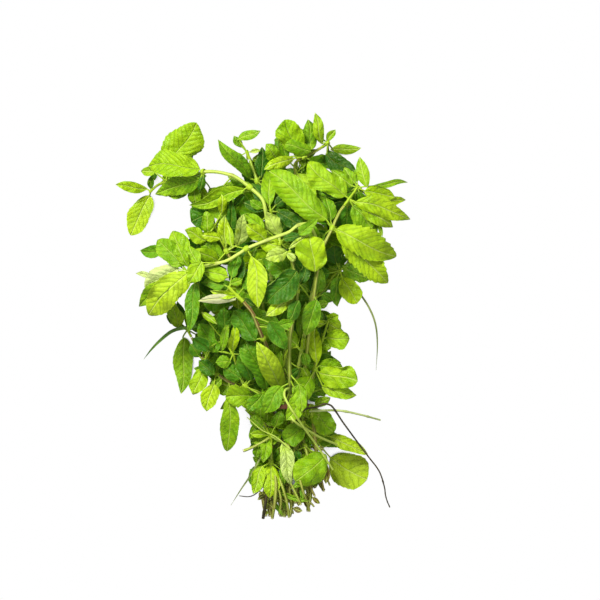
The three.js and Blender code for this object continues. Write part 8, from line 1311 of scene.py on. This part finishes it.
for name, (width, points) in BLADES.items():
    b = Build()
    pts = spline(points, 1.6)
    n = len(pts)
    d = np.gradient(pts, axis=0)
    d /= np.linalg.norm(d, axis=1)[:, None]
    side = np.stack([-d[:, 1], d[:, 0], np.zeros(n)], 1)
    side /= np.linalg.norm(side, axis=1)[:, None]
    up = np.cross(d, side)
    up *= np.sign(up[:, 2:3] + 1e-9)
    s = np.linspace(-1, 1, 9)
    uu = np.linspace(0, 1, n)
    half = np.maximum(0.12, width / 2 * np.clip(0.62 + 0.95 * uu - 1.55 * uu * uu, 0.06, 1))
    P = pts[:, None] + side[:, None] * (s[None, :, None] * half[:, None, None]) + up[:, None] * ((np.abs(s)[None, :, None] - 0.4) * 0.22 * half[:, None, None])
    top, bot = P + up[:, None] * 0.11, P - up[:, None] * 0.11
    nr, nc = P.shape[:2]
    M = nr * nc
    ori = np.cross(P[1, 4] - P[0, 4], P[0, -1] - P[0, 0])[2] > 0
    F = grid_faces(nr, nc, 0, flip=ori) + grid_faces(nr, nc, M, flip=not ori)
    for ids, flip in (([i * nc for i in range(nr)], ori), ([i * nc + nc - 1 for i in range(nr)], not ori), (list(range(nc)), not ori), ([(nr - 1) * nc + j for j in range(nc)], ori)):
        for a_, b_ in zip(ids, ids[1:]):
            qd = (a_, b_, b_ + M, a_ + M)
            F.append(qd[::-1] if flip else qd)
    along = np.repeat(uu * 100, nc)
    across = np.tile(s * width, nr)
    A = np.stack([along, across, np.zeros(M)], 1)
    K4 = np.tile((0.4, 0.5, 0.0, 0.0), (M, 1))
    b.add(np.concatenate([top.reshape(-1, 3), bot.reshape(-1, 3)]), F, np.concatenate([A, A]), np.concatenate([K4, K4]))
    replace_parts(b.object(name + "_live", GRASS_DARK if name == "grass_blade_left" else GRASS), name)

for name, (r, points) in DRY.items():
    b = Build()
    rr = random.Random(name)
    pts = spline(points, 1.2)
    seg = np.concatenate([[0], np.cumsum(np.linalg.norm(np.diff(pts, axis=0), axis=1))])
    radii = []
    for s0 in seg:
        k_ = max(math.exp(-(((s0 - q) / 1.2) ** 2)) for q in (seg[-1] * 0.28, seg[-1] * 0.57, seg[-1] * 0.83))
        radii.append(r * (0.95 - 0.35 * s0 / seg[-1]) * (1 + 0.4 * k_ + 0.07 * math.sin(s0 * 1.9)))
    tube(b, pts, radii, 10, round_section, lambda i, s0: s0, lambda i, s0: (0.4, 0.5, 0.0, 0.0))
    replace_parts(b.object(name + "_live", DRYM if name == "dry_stem" else PALE), name)

# the band
TIE = dict(x=15.4, y=-63.5, half=18.9, low=0.0, high=28.9, corner=7.5, wall=0.9, width=3.2)
b = Build()


def ring_points(inset):
    hw, lo, hi, c = TIE["half"] - inset, TIE["low"] + inset, TIE["high"] - inset, TIE["corner"] - inset
    out = []
    for cx, cz, a0 in ((TIE["x"] + hw - c, lo + c, -90), (TIE["x"] + hw - c, hi - c, 0), (TIE["x"] - hw + c, hi - c, 90), (TIE["x"] - hw + c, lo + c, 180)):
        for i in range(9):
            a_ = math.radians(a0 + i * 90 / 8)
            out.append((cx + c * math.cos(a_), cz + c * math.sin(a_)))
    return out


outer, inner = ring_points(0.02), ring_points(TIE["wall"])
n = len(outer)
prof = [(-1, 0.55), (-0.93, 0.12), (-0.6, 0.0), (-0.2, 0.05), (0.2, 0.05), (0.6, 0.0), (0.93, 0.12), (1, 0.55), (0.93, 1.0), (0, 0.93), (-0.93, 1.0)]
V, A = [], []
for i in range(n):
    (ox, oz), (ix, iz) = outer[i], inner[i]
    for j, (w_, f) in enumerate(prof):
        V.append((ox + (ix - ox) * f, TIE["y"] + w_ * TIE["width"] / 2, oz + (iz - oz) * f))
        A.append((i * 2.0, w_ * 3.0, 0.0))
F = []
m = len(prof)
for i in range(n):
    for j in range(m):
        k_, l_ = (i + 1) % n, (j + 1) % m
        F.append((i * m + j, k_ * m + j, k_ * m + l_, i * m + l_))
b.add(np.array(V), F, np.array(A), np.tile((0.3, 0.5, 0.0, 0.0), (len(V), 1)))
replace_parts(b.object("tie_band_live", TIEM), "tie_band")

# ------------------------------------------------------------------ light, floor, camera
scene = bpy.context.scene
scene.view_settings.view_transform = "Standard"
scene.view_settings.look = "None"

fl = bpy.data.meshes.new("floor")
fl.from_pydata([(-4, -4, -0.0006), (4, -4, -0.0006), (4, 4, -0.0006), (-4, 4, -0.0006)], [], [(0, 1, 2, 3)])
floor = bpy.data.objects.new("floor", fl)
scene.collection.objects.link(floor)
fm = bpy.data.materials.new("floor_white")
fm.use_nodes = True
nt_ = fm.node_tree
nt_.nodes.clear()
em = nt_.nodes.new("ShaderNodeEmission")
em.inputs[1].default_value = 1.0
# the floor is white in the open and falls into shade deep under the bunch
ao = nt_.nodes.new("ShaderNodeAmbientOcclusion")
ao.samples = 16
ao.inputs["Distance"].default_value = 0.12
fall = nt_.nodes.new("ShaderNodeMapRange")
fall.interpolation_type = "SMOOTHSTEP"
fall.inputs[1].default_value = 0.08
fall.inputs[2].default_value = 0.30
nt_.links.new(ao.outputs["AO"], fall.inputs[0])
tint = nt_.nodes.new("ShaderNodeMix")
tint.data_type = "RGBA"
tint.inputs[6].default_value = (0.012, 0.035, 0.003, 1)
tint.inputs[7].default_value = (1, 1, 1, 1)
nt_.links.new(fall.outputs[0], tint.inputs[0])
nt_.links.new(tint.outputs[2], em.inputs[0])
mo = nt_.nodes.new("ShaderNodeOutputMaterial")
nt_.links.new(em.outputs[0], mo.inputs[0])
fl.materials.append(fm)
floor.visible_diffuse = False
floor.visible_glossy = False
floor.visible_shadow = False

world = bpy.data.worlds.new("room")
scene.world = world
world.use_nodes = True
bg = world.node_tree.nodes["Background"]
bg.inputs[0].default_value = (1.0, 1.0, 0.95, 1)
bg.inputs[1].default_value = WORLD


def area(name, loc, size, power, colour=(1, 1, 1)):
    li = bpy.data.lights.new(name, "AREA")
    li.energy = power
    li.size = size
    li.color = colour
    ob = bpy.data.objects.new(name, li)
    ob.location = loc
    scene.collection.objects.link(ob)
    import mathutils
    ob.rotation_euler = (mathutils.Vector((0, 0, 0.03)) - mathutils.Vector(loc)).to_track_quat("-Z", "Y").to_euler()
    return ob


area("key", (-0.55, 0.75, 1.15), 0.45, KEY, (1.0, 0.99, 0.95))
area("fill", (0.9, -0.5, 1.0), 0.8, FILL, (0.97, 0.99, 1.0))

cam = bpy.data.cameras.new("camera")
cam.lens = 253.7
cam.clip_start = 0.1
cam.clip_end = 20
camera = bpy.data.objects.new("camera", cam)
camera.location = (0.0266, 0.01155 - CENTRE_Y / 1000, 3.0)
scene.collection.objects.link(camera)
scene.camera = camera
